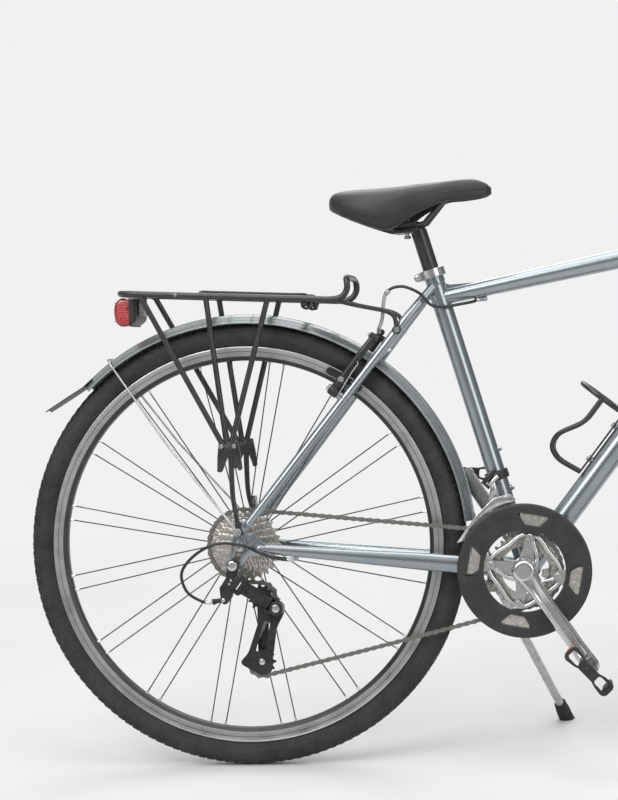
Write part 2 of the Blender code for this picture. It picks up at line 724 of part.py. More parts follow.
def rearMudguard():
    guard = arch(rearHub, 4.75, 134.4, 22)
    tail = radial(rearHub, 134.4, GUARD_CROWN - 3)
    tip = Vector((-315, 0, 223))
    root = radial(rearHub, 132.5, GUARD_CROWN - 3.4)
    rings = []
    flap = ((root, 20, 1.1), (tail, 22, 1.1), (tail.lerp(tip, 0.5), 24, 1.1), (tip, 19, 0.9))
    for spot, wide, thick in flap:
        rings.append([spot + Vector((0, y, z)) for y, z in
                      ((-wide, -thick), (wide, -thick), (wide, thick), (-wide, thick))])
    bridge = onCircle(stayFoot, stayKnee, rearHub, GUARD_CROWN + 16)
    bridge = Vector((bridge.x, 0, bridge.z))
    out = bridge.normalized()
    stud = rod(out * (GUARD_CROWN - 2.6), bridge - out * (6 + GAP), 4, 10)
    low = chainFoot.lerp(chainEnd, 0.89)
    low = Vector((low.x, 0, low.z))
    start = radial(rearHub, 6.5, GUARD_CROWN - 2.4)
    down = (low - start).normalized()
    end = low - down * (7 + GAP)
    side = Vector((-down.z, 0, down.x)) * 1.2
    tab = loft([[p + axisY * w + side * k for w, k in ((-8, -1), (8, -1), (8, 1), (-8, 1))]
                for p in (start, end)])
    wire = stayWire(rearHub, 125.5, EYELET, stayOut + 3.5 + GAP, 1.8)
    piece("rear_mudguard", "grey", stand, [guard, loft(rings), stud, tab] + wire)


# Wheels
def wheel(prefix, hub, axle, flanges, shell, turnSign):
    bead = RIM_RADIUS + GAP
    mid = TYRE_RADIUS - TYRE_WIDTH / 2
    half = TYRE_WIDTH / 2
    profile = [(-9, bead), (-half, mid - 3), (-half * 0.86, mid + 10), (-half * 0.4, TYRE_RADIUS),
               (half * 0.4, TYRE_RADIUS), (half * 0.86, mid + 10), (half, mid - 3), (9, bead)]
    tyre = lathe(profile, hub, axisY, WHEEL_STEPS, ring=True, factor=ringFactor, exact=True)
    piece(prefix + "_tyre", "rubber", axle, [tyre])
    inner = RIM_RADIUS - RIM_DEPTH
    half = RIM_WIDTH / 2
    profile = [(-half, RIM_RADIUS), (-half, RIM_RADIUS - 16.5), (-half * 0.6, inner),
               (half * 0.6, inner), (half, RIM_RADIUS - 16.5), (half, RIM_RADIUS)]
    rim = lathe(profile, hub, axisY, WHEEL_STEPS, ring=True, factor=ringFactor, exact=True)
    valveAngle = radians(93.5 if prefix == "rear" else 93.5)
    stem = Vector((cos(valveAngle), 0, sin(valveAngle)))
    valve = rod(hub + stem * (inner - 36), hub + stem * (inner + 4), 3, 8)
    piece(prefix + "_rim", "alloy", axle, [rim, valve])
    left, right = flanges
    parts = [lathe(shell, hub, axisY, 16, ring=True)]
    for y in (left, -right):
        parts.append(disc(hub, FLANGE_RADIUS, y - FLANGE_THICKNESS / 2, y + FLANGE_THICKNESS / 2, 26))
    end = inner - GAP
    for i in range(SPOKE_PAIRS):
        for side, flange in ((1, left), (-1, -right)):
            rimAngle = radians(360 / SPOKE_PAIRS * (i + 0.5) + 2.3 * side * turnSign)
            hubAngle = rimAngle + radians(24 * side * turnSign)
            foot = hub + Vector((cos(hubAngle), 0, sin(hubAngle))) * (FLANGE_RADIUS - 4) + axisY * flange
            tip = hub + Vector((cos(rimAngle), 0, sin(rimAngle))) * end + axisY * side * 1.5
            parts.append(tube([foot, tip], SPOKE_RADIUS, 3))
    bore = discHole(hub, AXLE_RADIUS + GAP, -99, 99, 16)
    piece(prefix + "_hub", "alloy", axle, parts, [bore])


def wheels():
    global rearAxle, frontAxle
    rearAxle = pivot("rear_axle_line", rearHub, axisY, stand)
    frontAxle = pivot("front_axle_line", frontHub, axisY, steering)
    inner = AXLE_RADIUS - 1
    r = HUB_SHELL_RADIUS
    rearShell = [(-24, inner), (-24, 22), (-19, r), (34, r), (44, 15), (52, 12), (52, inner)]
    wheel("rear", rearHub, rearAxle, (REAR_FLANGE_LEFT, REAR_FLANGE_RIGHT), rearShell, 1)
    frontShell = [(-40.5, inner), (-40.5, 11), (-33, 12), (33, 12), (40.5, 11), (40.5, inner)]
    wheel("front", frontHub, frontAxle, (FRONT_FLANGE, FRONT_FLANGE), frontShell, -1)


def axleSet(prefix, hub, carrier, half, thick, leverUp):
    """Axle with its skewer nut on the right, and the quick-release lever on the left."""
    inside = half - 0.5
    outside = half + thick + GAP
    axle = disc(hub, AXLE_RADIUS, -inside - thick + 2, inside + thick - 2, 16)
    cones = [disc(hub, 9, inside - 8, inside, 16), disc(hub, 9, -inside, -inside + 8, 16)]
    skewer = disc(hub, 2.5, -outside - 9, outside + 6, 10)
    nut = lathe([(-outside - 9, 7), (-outside - 7, 9), (-outside, 9.5)], hub, axisY, 16)
    cup = disc(hub, 9.5, outside, outside + 8, 16)
    piece(prefix + "_axle", "steel", carrier, [axle, skewer, nut, cup] + cones)
    cam = hub + axisY * (outside + 14)
    swing = leverUp.cross(axisY)
    line = pivot(prefix + "_lever_axis", cam, swing, carrier)
    tip = cam + leverUp * 72
    path = [cam, cam + leverUp * 12 + axisY * 5, cam + leverUp * 40 + axisY * 8,
            tip + axisY * 5]
    arm = tube(path, [(4.5, 5), (3.5, 5), (3, 6), (3, 7)], 8)
    barrel = rod(cam - swing * 7, cam + swing * 7, 5.3, 12)
    piece(prefix + "_qr_lever", "alloy", line, [barrel, arm])


# Drivetrain
def cassette():
    line = pivot("cassette_line", rearHub, axisY, stand)
    parts = [disc(rearHub, 15.5, BIG_COG_Y - 7 * COG_STEP - 3, BIG_COG_Y + 2.5, 20)]
    for i, teeth in enumerate(reversed(COG_TEETH)):
        y = BIG_COG_Y - i * COG_STEP
        radius = pitchRadius(teeth)
        outline = polygon(rearHub, teeth, radius - 4.3 if i == 0 else radius + 3)
        half = COG_THICKNESS / 2
        parts.append(plate(outline, y - half, y + half))
    core = discHole(rearHub, 9.6, -99, 99, 16)
    piece("cassette", "steel", line, parts, [core])


def ringPlate(name, teeth, y, inner, bolts, carried):
    radius = pitchRadius(teeth)
    outline = polygon(bottomBracket, teeth, radius - 4.3 if carried else radius + 3)
    half = RING_THICKNESS / 2
    base = plate(outline, y - half, y + half)
    holes = [disc(bottomBracket, inner, y - 9, y + 9, 32)]
    for i in range(4):
        spot = radial(bottomBracket, CRANK_ANGLE + 45 + 90 * i, bolts)
        holes.append(discHole(spot, 4 + GAP, y - 9, y + 9, 6))
    piece(name, "steel", crankset, [base], holes)


def cranks():
    global crankset
    crankset = pivot("crank_line", bottomBracket, axisY, stand)
    lineMid = -RING_LINE
    big = lineMid - RING_STEP
    small = lineMid + RING_STEP
    half = RING_THICKNESS / 2
    ringPlate("chainring_large", RING_TEETH[2], big, 44, BOLT_CIRCLE, False)
    ringPlate("chainring_middle", RING_TEETH[1], lineMid, 44, BOLT_CIRCLE, False)
    ringPlate("chainring_small", RING_TEETH[0], small, 26, 32, True)
    # Guard ring outside the large ring
    wallLow = big - half - GAP - 3.5
    wallHigh = big - half - GAP
    guard = lathe([(wallLow, 63), (wallLow, GUARD_RADIUS - 2), (wallLow + 1.5, GUARD_RADIUS),
                   (wallHigh, GUARD_RADIUS), (wallHigh, 63)], bottomBracket, axisY, 56, ring=True)
    tabs = []
    holes = []
    windows = []
    for i in range(4):
        angle = CRANK_ANGLE + 45 + 90 * i
        spot = radial(bottomBracket, angle, BOLT_CIRCLE)
        tabs.append(disc(spot, 12.5, wallLow, wallHigh, 16))
        holes.append(discHole(spot, 4 + GAP, wallLow - 9, wallHigh + 9, 6))
        corners = [radial(bottomBracket, angle - 15, 90), radial(bottomBracket, angle + 15, 90),
                   radial(bottomBracket, angle + 9, 72), radial(bottomBracket, angle - 9, 72)]
        windows.append(plate([(p.x, p.z) for p in corners], wallLow - 3, wallHigh + 3))
    piece("chainguard", "black", crankset, [combine(guard, tabs, 'UNION')], holes + windows)
    # Right crank with its four-arm spider
    spiderHigh = lineMid - half - GAP
    spiderLow = big + half + GAP
    parts = [disc(bottomBracket, 19, -64, lineMid + 1, 24)]
    for i in range(4):
        angle = CRANK_ANGLE + 45 + 90 * i
        spot = radial(bottomBracket, angle, BOLT_CIRCLE)
        across = radial(Vector((0, 0, 0)), angle + 90, 1)
        base = radial(bottomBracket, angle, 12)
        corners = [base + across * 13, base - across * 13, spot - across * 6.5, spot + across * 6.5]
        parts.append(plate([(p.x, p.z) for p in corners], spiderLow, spiderHigh))
        parts.append(disc(spot, 8, spiderLow, spiderHigh, 10))
        parts.append(disc(spot, 4, wallLow - 1.5, lineMid + half + 1.5, 6))
        inside = radial(bottomBracket, angle, 32)
        parts.append(disc(inside, 6, small - half - GAP - 5.6, small - half - GAP, 10))
        parts.append(disc(inside, 3.7, spiderLow, small + half + 1.5, 6))
    arm = radial(Vector((0, 0, 0)), CRANK_ANGLE, 1)
    pedalSpot = bottomBracket + arm * CRANK_LENGTH
    path = [bottomBracket - axisY * 71, bottomBracket + arm * 30 - axisY * 72.5,
            bottomBracket + arm * 150 - axisY * 77, pedalSpot - axisY * 77.5]
    parts.append(tube(path, [(9, 18), (7.5, 13.5), (7, 12), (7, 13)], 8))
    parts.append(disc(bottomBracket, 18, -80, -60, 24))
    parts.append(disc(pedalSpot, 13.5, -84, -71, 16))
    parts.append(disc(pedalSpot, 4.5, -84 - PEDAL_WIDTH + 24, -80, 12))
    bore = discHole(bottomBracket, SPINDLE_RADIUS + GAP, -62, -20, 20)
    piece("crank_right", "alloy", crankset, parts, [bore])
    # Left crank with the spindle
    other = bottomBracket - arm * CRANK_LENGTH
    path = [bottomBracket + axisY * 71, bottomBracket - arm * 30 + axisY * 72.5,
            bottomBracket - arm * 150 + axisY * 77, other + axisY * 77.5]
    parts = [tube(path, [(8, 17), (7.5, 13.5), (7, 12), (7, 13)], 8)]
    parts.append(disc(bottomBracket, 17, 42, 79, 24))
    parts.append(disc(bottomBracket, SPINDLE_RADIUS, -62 + GAP, 60, 20))
    parts.append(disc(other, 13.5, 71, 84, 16))
    parts.append(disc(other, 4.5, 80, 84 + PEDAL_WIDTH - 24, 12))
    piece("crank_left", "alloy", crankset, parts)
    pedal("pedal_right", pedalSpot, -1, PEDAL_TILT)
    pedal("pedal_left", other, 1, -6)


def pedal(name, spot, side, tilt):
    line = pivot(name + "_line", spot, axisY, crankset)
    fore = radial(Vector((0, 0, 0)), tilt, 1)
    up = radial(Vector((0, 0, 0)), tilt + 90, 1)
    near = 84 + GAP + 3
    far = near + PEDAL_WIDTH - 18
    parts = [disc(spot, 10.5, *sorted((side * near, side * far)), 16)]
    half = PEDAL_LENGTH / 2
    tall = PEDAL_HEIGHT / 2
    for a in (near + 2, far - 3):
        corners = [spot + fore * x + up * z for x, z in
                   ((-half, -tall * 0.6), (-half + 7, -tall), (-14, -tall * 0.72), (14, -tall * 0.72),
                    (half - 7, -tall), (half, -tall * 0.6), (half, tall * 0.6), (half - 7, tall),
                    (14, tall * 0.72), (-14, tall * 0.72), (-half + 7, tall), (-half, tall * 0.6))]
        parts.append(plate([(p.x, p.z) for p in corners], *sorted((side * a, side * (a + 4)))))
    for x in (-half + 7, half - 7):
        centre = spot + fore * x + axisY * side * (near + far) / 2
        parts.append(block(centre, (9, far - near - 4, tall * 1.3), (fore, axisY, up)))
    bore = discHole(spot, 4.5 + GAP, *sorted((side * (near - 5), side * (far - 5))), 12)
    piece(name, "black", line, parts, [bore])


# Chain
def tangent(c1, r1, c2, r2):
    """Ends of the straight run between two circles that both turn with their given sign."""
    gap = c2 - c1
    span = gap.length
    base = atan2(gap.z, gap.x)
    normal = base + acos((r1 - r2) / span)
    out = Vector((cos(normal), 0, sin(normal)))
    return c1 + out * r1, c2 + out * r2


def chainLine():
    """Pitch-line stations around the sprocket, chainring and two pulleys."""
    cog = rearHub
    ring = bottomBracket
    loops = [(cog, pitchRadius(COG_TEETH[-1]), 1, BIG_COG_Y),
             (ring, pitchRadius(RING_TEETH[0]), 1, -RING_LINE + RING_STEP),
             (TENSION_PULLEY, pitchRadius(PULLEY_TEETH), 1, BIG_COG_Y),
             (GUIDE_PULLEY, -pitchRadius(PULLEY_TEETH), 1, BIG_COG_Y)]
    count = len(loops)
    spans = []
    for i in range(count):
        c1, r1, _, y1 = loops[i]
        c2, r2, _, y2 = loops[(i + 1) % count]
        a, b = tangent(c1, r1, c2, r2)
        spans.append((a + axisY * y1, b + axisY * y2))
    points = []
    for i in range(count):
        centre, radius, _, y = loops[i]
        start = spans[i - 1][1] - centre
        end = spans[i][0] - centre
        a = atan2(start.z, start.x)
        b = atan2(end.z, end.x)
        if radius > 0:
            while b > a:
                b -= 2 * pi
        else:
            while b < a:
                b += 2 * pi
        steps = max(2, round(abs(b - a) * abs(radius) / PITCH))
        for j in range(steps + 1):
            t = a + (b - a) * j / steps
            points.append(centre + Vector((cos(t), 0, sin(t))) * abs(radius) + axisY * y)
        first, last = spans[i]
        steps = max(1, round((last - first).length / (PITCH * 3)))
        for j in range(1, steps):
            points.append(first.lerp(last, j / steps))
    return points


def chain():
    points = chainLine()
    count = len(points)
    rings = []
    for i, point in enumerate(points):
        along = (points[(i + 1) % count] - points[i - 1]).normalized()
        up = along.cross(axisY).normalized()
        rings.append([point + axisY * y * CHAIN_WIDTH + up * z * CHAIN_HEIGHT
                      for y, z in ((-1, -1), (1, -1), (1, 1), (-1, 1))])
    piece("chain", "steel", stand, [loft(rings, closed=True)])


# Rear derailleur
linkRun = Vector((0.804, 0, -0.594))
linkAxis = Vector((0.594, 0, 0.804))
LINK_APART = 15.0
cagePivot = Vector((51.5, 0, -98.5))


def linkEnd(offset=0.0):
    return LINK_PIN + linkRun * LINK_RUN + axisY * (LINK_SIDE + offset)


def derailleur():
    half = LINK_HEIGHT / 2
    pinHalf = half + 3.5
    out = -dropOut - GAP
    # Knuckle on the hanger, with two yokes that hold the pins
    parts = [disc(HANGER, 9.5, -90, out - 0.2, 20), disc(HANGER, 3.6, out - 1, -dropIn + 4, 12)]
    body = [(HANGER.x - 9, HANGER.z), (HANGER.x - 22, -62), (-30, -84), (-22, -88), (-12, -76),
            (-9, -58), (HANGER.x + 9, HANGER.z)]
    parts.append(plate(body, -88, -78))
    for end in (-1, 1):
        mid = LINK_PIN + linkAxis * end * (half + GAP + 1.6)
        for offset in (0, LINK_APART):
            ear = mid + axisY * offset
            parts.append(rod(ear - linkAxis * 1.6, ear + linkAxis * 1.6, 4, 10))
        back = mid - linkRun * 9
        parts.append(block(back.lerp(mid, 0.5) + axisY * (LINK_APART / 2 - 1), (9, LINK_APART + 9, 3.2),
                           (linkRun, axisY, linkAxis)))
    spine = LINK_PIN - linkRun * 9 + axisY * (LINK_APART / 2 - 1)
    parts.append(block(spine, (4, LINK_APART + 9, LINK_HEIGHT + 7), (linkRun, axisY, linkAxis)))
    parts.append(block(spine - linkRun * 3 - axisY * 9, (10, 8, LINK_HEIGHT + 4), (linkRun, axisY, linkAxis)))
    for offset in (0, LINK_APART):
        pin = LINK_PIN + axisY * offset
        parts.append(rod(pin - linkAxis * pinHalf, pin + linkAxis * pinHalf, 1.6, 8))
    barrel = Vector((-44, -83, -84))
    parts.append(rod(barrel, (-24, -83, -80), 3.4, 10))
    piece("rd_b_knuckle", "black", stand, parts)
    # Two links, the outer one carries the knuckle with the cage
    outer = pivot("outer_link_line", LINK_PIN, linkAxis, stand)
    inner = pivot("inner_link_line", LINK_PIN + axisY * LINK_APART, linkAxis, stand)
    links = (("rd_outer_link", outer, 0, 4.2), ("rd_inner_link", inner, LINK_APART, 3.6))
    for name, line, offset, thick in links:
        a = LINK_PIN + axisY * offset
        b = linkEnd(offset)
        run = (b - a).normalized()
        side = run.cross(linkAxis)
        parts = [block(a.lerp(b, 0.5), ((b - a).length, thick, LINK_HEIGHT), (run, side, linkAxis))]
        holes = []
        for spot in (a, b):
            parts.append(rod(spot - linkAxis * half, spot + linkAxis * half, 3.8, 12))
            holes.append(rodHole(spot - linkAxis * 30, spot + linkAxis * 30, 1.6 + GAP, 8))
        piece(name, "black", line, parts, holes)
    # Knuckle at the far end of the links
    far = pivot("far_knuckle_line", linkEnd(), linkAxis, outer)
    parts = []
    for end in (-1, 1):
        for offset in (0, LINK_APART):
            spot = linkEnd(offset) + linkAxis * end * (half + GAP + 1.6)
            parts.append(rod(spot - linkAxis * 1.6, spot + linkAxis * 1.6, 4, 10))
        mid = linkEnd(LINK_APART / 2) + linkAxis * end * (half + GAP + 1.6) + linkRun * 4.5
        parts.append(block(mid, (9, LINK_APART + 6.6, 3.2), (linkRun, axisY, linkAxis)))
    for offset in (0, LINK_APART):
        pin = linkEnd(offset)
        parts.append(rod(pin - linkAxis * pinHalf, pin + linkAxis * pinHalf, 1.6, 8))
    spine = linkEnd(LINK_APART / 2) + linkRun * 9
    parts.append(block(spine, (4, LINK_APART + 6.6, LINK_HEIGHT + 7), (linkRun, axisY, linkAxis)))
    parts.append(disc(cagePivot, 11, -60, -36, 20))
    parts.append(block(spine.lerp(Vector((cagePivot.x, -50, cagePivot.z)), 0.4), (12, 18, 20),
                       (linkRun, axisY, linkAxis)))
    piece("rd_p_knuckle", "black", far, parts)
    # Cage with its two pulley bolts
    cageLine = pivot("cage_line", cagePivot, axisY, far)
    outY = (BIG_COG_Y - 7.0, BIG_COG_Y - 5.0)
    inY = (BIG_COG_Y + 5.0, BIG_COG_Y + 6.6)
    guide = GUIDE_PULLEY
    idle = TENSION_PULLEY
    outline = [(cagePivot.x + 9, cagePivot.z + 6), (cagePivot.x, cagePivot.z + 10),
               (guide.x + 4, guide.z + 9),
               (guide.x - 7, guide.z + 5), (guide.x - 7, guide.z - 8), (guide.x - 2, guide.z - 30),
               (idle.x - 22, idle.z + 14), (idle.x - 34, idle.z + 2), (idle.x - 33, idle.z - 4),
               (idle.x - 14, idle.z - 14), (idle.x, idle.z - 22), (idle.x + 16, idle.z - 16),
               (idle.x + 17, idle.z + 2), (guide.x + 24, guide.z - 48), (cagePivot.x + 10, cagePivot.z - 8)]
    parts = [plate(outline, *outY)]
    inside = [(guide.x + 8, guide.z + 5), (guide.x - 6, guide.z + 7), (guide.x - 8, guide.z - 6),
              (idle.x - 8, idle.z + 8), (idle.x - 10, idle.z - 6), (idle.x, idle.z - 11),
              (idle.x + 9, idle.z - 5), (guide.x + 10, guide.z - 20)]
    parts.append(plate(inside, *inY))
    for spot in (guide, idle):
        parts.append(disc(spot, 2.6, outY[0] - 1.5, inY[1] + 1, 12))
    piece("rd_cage", "black", cageLine, parts)
    for name, spot in (("guide_pulley", guide), ("tension_pulley", idle)):
        line = pivot(name + "_line", spot, axisY, cageLine)
        radius = pitchRadius(PULLEY_TEETH)
        outline = polygon(spot, PULLEY_TEETH, radius - 5.6)
        parts = [plate(outline, BIG_COG_Y - 1.2, BIG_COG_Y + 1.2)]
        parts.append(disc(spot, 7, BIG_COG_Y - 4, BIG_COG_Y + 4, 16))
        piece(name, "black", line, parts, [discHole(spot, 2.6 + GAP, BIG_COG_Y - 9, BIG_COG_Y + 9, 12)])


def frontDerailleur():
    spot = bottomBracket + seatDir * 152
    inner = clear(SEAT_TUBE_RADIUS, 20)
    ring = lathe([(-7, inner), (-7, inner + 3), (7, inner + 3), (7, inner)], spot, seatDir, 20,
                 ring=True)
    ahead = Vector((seatDir.z, 0, -seatDir.x))
    hinge = fdHinge
    rise = fdAxis.cross(axisY)
    along = (fdAxis, axisY, rise)
    parts = [block(spot - axisY * 19.5 - seatDir * 1, (16, 7, 14), (ahead, axisY, seatDir))]
    for end in (-1, 1):
        mid = hinge + fdAxis * end * 13
        parts.append(rod(mid - fdAxis * 2, mid + fdAxis * 2, 4, 10))
    parts.append(block(hinge + rise * 8.5, (30, 6, 7), along))
    for end in (-1, 1):
        parts.append(block(hinge + fdAxis * end * 13 + rise * 4, (4, 6, 8), along))
    parts.append(rod(hinge - fdAxis * 14, hinge + fdAxis * 14, 1.6, 8))
    parts.append(block(hinge + rise * 9.5 + axisY * 6, (18, 16, 7), along))
    piece("front_derailleur_body", "black", stand, [ring] + parts)
    line = pivot("front_cage_line", hinge, fdAxis, stand)
    y = fdChainY
    inner = [(431, 63), (421, 71), (397, 65), (369, 36), (345, 0), (352, -2), (378, 22), (402, 46), (426, 54)]
    # The outer plate's lower edge passes over the guard when the cage swings out
    low = GUARD_RADIUS + FD_ABOVE_GUARD
    edge = [radial(bottomBracket, angle, low) for angle in (154, 144, 134, 123, 112, 100)]
    outerPlate = [(431, 62), (424, 71), (397, 66), (367, 37), (337, -3)] + [(p.x, p.z) for p in edge]
    parts = [plate(inner, y + 6.5, y + 7.7), plate(outerPlate, y - 9, y - 7.8)]
    parts.append(block((417, y - 0.5, 67.5), (7, 17.6, 1.6)))
    parts.append(rod((347, y - 8.5, 2), (347, y + 7, 2), 1.7, 8))
    mid = hinge + Vector((0, 0, -1))
    parts.append(rod(hinge - fdAxis * 10.6, hinge + fdAxis * 10.6, 3.4, 10))
    path = [mid, (hinge.x, y + 7.1, hinge.z - 14), (hinge.x - 2, y + 7.1, 60)]
    parts.append(tube(path, [(2.2, 3.4), (2, 5), (0.9, 7)], 6))
    bore = rodHole(hinge - fdAxis * 30, hinge + fdAxis * 30, 1.6 + GAP, 8)
    piece("fd_cage", "steel", line, parts, [bore])


fdHinge = Vector((396, -30, 92))
fdAxis = Vector((0.7, 0, 0.714)).normalized()
fdChainY = -38.5


# Brakes
def brakeArm(name, boss, up, out, side, hub, carrier):
    """One linear-pull arm on its boss, with its shoe. All points start on the given side."""
    centre = boss + out * 22
    flat = Vector((boss.x - hub.x, 0, boss.z - hub.z)) + out * 22
    rise = up.x * flat.x + up.z * flat.z
    reach = sqrt(306.0 ** 2 - (flat.length_squared - rise ** 2)) - rise
    shoe = centre + up * reach
    shoe = Vector((shoe.x, 0, shoe.z))
    outward = Vector((shoe.x - hub.x, 0, shoe.z - hub.z)).normalized()
    along = Vector((-outward.z, 0, outward.x))
    padIn = RIM_WIDTH / 2 + 2.0
    axis = out * (-side if out.cross(up).y > 0 else side)
    line = pivot(name + "_line", boss, axis, carrier)
    parts = [rod(boss + out * 13.2, boss + out * (BOSS_LENGTH - 1), 8.5, 14)]
    path = [centre, centre + up * 18 + axisY * side * 3, centre + up * 62 + axisY * side * 1,
            centre + up * 105 - axisY * side * 3]
    parts.append(tube(path, [(6, 7.5), (5.5, 6.5), (5, 6), (4, 5.5)], 8))
    pad = block(shoe + axisY * side * (padIn + 4.5), (62, 9, 10), (along, axisY, outward))
    parts.append(pad)
    parts.append(rod(shoe + axisY * side * (padIn + 7), shoe + axisY * (centre.y + side * 9), 3.2, 10))
    cuts = [rodHole(boss - out * 3, boss + out * 60, BOSS_RADIUS + GAP, 12)]
    piece(name, "black", line, parts, cuts)


def brakes():
    up = stayLine - axisY * stayLine.y
    up.normalize()
    out = Vector((-stayLine.z, 0, stayLine.x)).normalized()
    for side, word in ((-1, "right"), (1, "left")):
        boss = mirrored(onCircle(stayFoot, stayKnee, rearHub, BOSS_ORBIT), side)
        brakeArm("rear_brake_arm_" + word, boss, up, out, side, rearHub, stand)
        boss = forkBoss(side)
        brakeArm("front_brake_arm_" + word, boss, headDir, headAhead, side, frontHub, steering)


def rearCable():
    up = (stayLine - axisY * stayLine.y).normalized()
    out = Vector((-stayLine.z, 0, stayLine.x)).normalized()
    base = onCircle(stayFoot, stayKnee, rearHub, BOSS_ORBIT)
    top = Vector((base.x, 0, base.z)) + out * 22 + up * 115
    topRear = seatTop - seatDir * TOP_TUBE_BELOW_SEAT
    topFront = headTop - headDir * TOP_TUBE_BELOW_HEAD
    stop = topRear.lerp(topFront, 0.13) - Vector((5.5 + GAP, 0, 17.3))
    points = [stop, stop + Vector((-5, 0, 0)), stop + Vector((-16, -11, -4)), Vector((314, -30, 366)),
              Vector((290, -36, 388)),
              Vector((262, -36, 399)), Vector((238, -34, 389)), top + Vector((7, -34, 20)),
              top + Vector((0, -29, 3)), top + Vector((0, -16, 0)), top + Vector((0, 30, 0))]
    path = smooth(points, 11)
    piece("rear_brake_cable", "black", stand, [tube(path, 2.4, 6)])


def shiftCable():
    points = [(81.6, -62.7, -21.4), (70, -66, -21.6), (52, -74, -17), (30, -80, -8), (8, -93, 4),
              (-30, -97, 8),
              (-66, -95, -8), (-90, -91, -36), (-84, -87, -66), (-62, -84, -82), (-46, -83, -84.4)]
    piece("rear_shift_cable", "black", stand, [tube(smooth(points, 12), 2.4, 6)])


def bottleCage():
    spot = bottomBracket + downDir * (CAGE_BOLTS[0] + CAGE_BOLTS[1]) / 2
    base = spot + downUp * (DOWN_TUBE_RADIUS + 2 + GAP + 1.5)
    span = 92
    parts = [block(base + downDir * 5, (span + 40, 15, 3), (downDir, axisY, downUp))]
    centre = base + downUp * 39.5
    wire = 3.0
    low = []
    high = []
    for i in range(13):
        angle = radians(-90 + 360 * i / 12)
        around = axisY * cos(angle) * 38.5 + downUp * sin(angle) * 38.5
        high.append(centre + around + downDir * 56)
    upper = high[1:12]
    front = [base + downDir * 56 + downUp * 0.4] + upper + [base + downDir * 56 + downUp * 0.4]
    parts.append(tube(front[:-1], wire, 6))
    parts.append(rod(front[-2], base + downDir * 56 + downUp * 0.4, wire, 6))
    for side in (1, -1):
        hold = centre + axisY * side * 38.5
        path = [hold + downDir * 56, hold + downDir * 10,
                centre + axisY * side * 30 + downUp * 24 - downDir * 30,
                centre + axisY * side * 18 + downUp * 20 - downDir * 52,
                centre + axisY * side * 9 - downDir * 62,
                base + axisY * side * 5 - downDir * 57]
        parts.append(tube(path, wire, 6))
    holes = []
    for mm in CAGE_BOLTS:
        at = bottomBracket + downDir * mm
        holes.append(rodHole(at, at + downUp * 60, 2.6, 8))
    piece("bottle_cage", "black", stand, parts, holes)


# Kickstand
def kickstand():
    hinge = standHinge
    mount = [block((hinge.x - 2, 0, hinge.z + 6), (34, 42, 7))]
    mount.append(block((hinge.x - 2, 0, hinge.z + 17), (12, 16, 21)))
    mount.append(block((hinge.x - 2, 21, hinge.z - 2), (30, 7, 16)))
    down = (standFoot - hinge).normalized()
    axis = down.cross(standStow).normalized()
    pin = rod(hinge - axis * 2, hinge + axis * 18.5, 4, 12)
    mount.append(pin)
    piece("kickstand_mount", "steel", stand, mount)
    line = pivot("stand_line", hinge, axis, stand)
    knuckle = rod(hinge + axis * 5, hinge + axis * 17.5, 10.5, 16)
    start = hinge + axis * 11.2
    path = [start, start + down * 26, standFoot - down * 26 + axis * 6, standFoot - down * 4]
    leg = tube(path, [LEG_RADIUS, LEG_RADIUS, LEG_RADIUS, LEG_RADIUS], 10)
    foot = tube([standFoot - down * 34 + axis * 5, standFoot - down * 22 + axis * 4, standFoot + down * 12],
                [10, 11.5, 12], 12)
    level = radialFloor()
    tilt = lean.inverted()
    floor = block(level, (90, 90, 30), (Vector((1, 0, 0)), tilt @ axisY, tilt @ Vector((0, 0, 1))))
    bore = rodHole(hinge - axis * 9, hinge + axis * 40, 4 + GAP, 12)
    piece("kickstand_leg", "alloy", line, [knuckle, leg, foot], [bore, floor])


standHinge = Vector((bottomBracket.x - STAND_BEHIND_BB, 26, -76))
standFoot = Vector((FOOT_FORWARD, FOOT_ASIDE, -322))
standStow = Vector((-0.985, 0.11, -0.13)).normalized()   # along the leg when folded


def radialFloor():
    """Middle of a cutting box whose top face is the ground under the leaning tyre."""
    down = lean.inverted() @ Vector((0, 0, -1))
    tyre = bpy.data.objects["rear_tyre"]
    depth = max((v.co / MM).dot(down) for v in tyre.data.vertices)
    spot = standFoot + down * (depth - standFoot.dot(down))
    return spot + down * 15


# Steering
def forkBoss(side):
    line = forkLeg(side)
    for a, b in zip(line, line[1:]):
        if (a - frontHub).length >= BOSS_ORBIT >= (b - frontHub).length:
            low, high = a, b
            for _ in range(30):
                mid = (low + high) / 2
                flat = Vector((mid.x - frontHub.x, 0, mid.z - frontHub.z))
                if flat.length > BOSS_ORBIT:
                    low = mid
                else:
                    high = mid
            return (low + high) / 2
    return None


def forkLeg(side):
    stations = [(404, 2, 40), (330, 4, 41.5), (230, 9, 45.5), (120, 22, 51), (40, 37, 55.5), (12, 44, 56)]
    return [steerFoot + headDir * a + headAhead * b + axisY * side * y for a, b, y in stations]


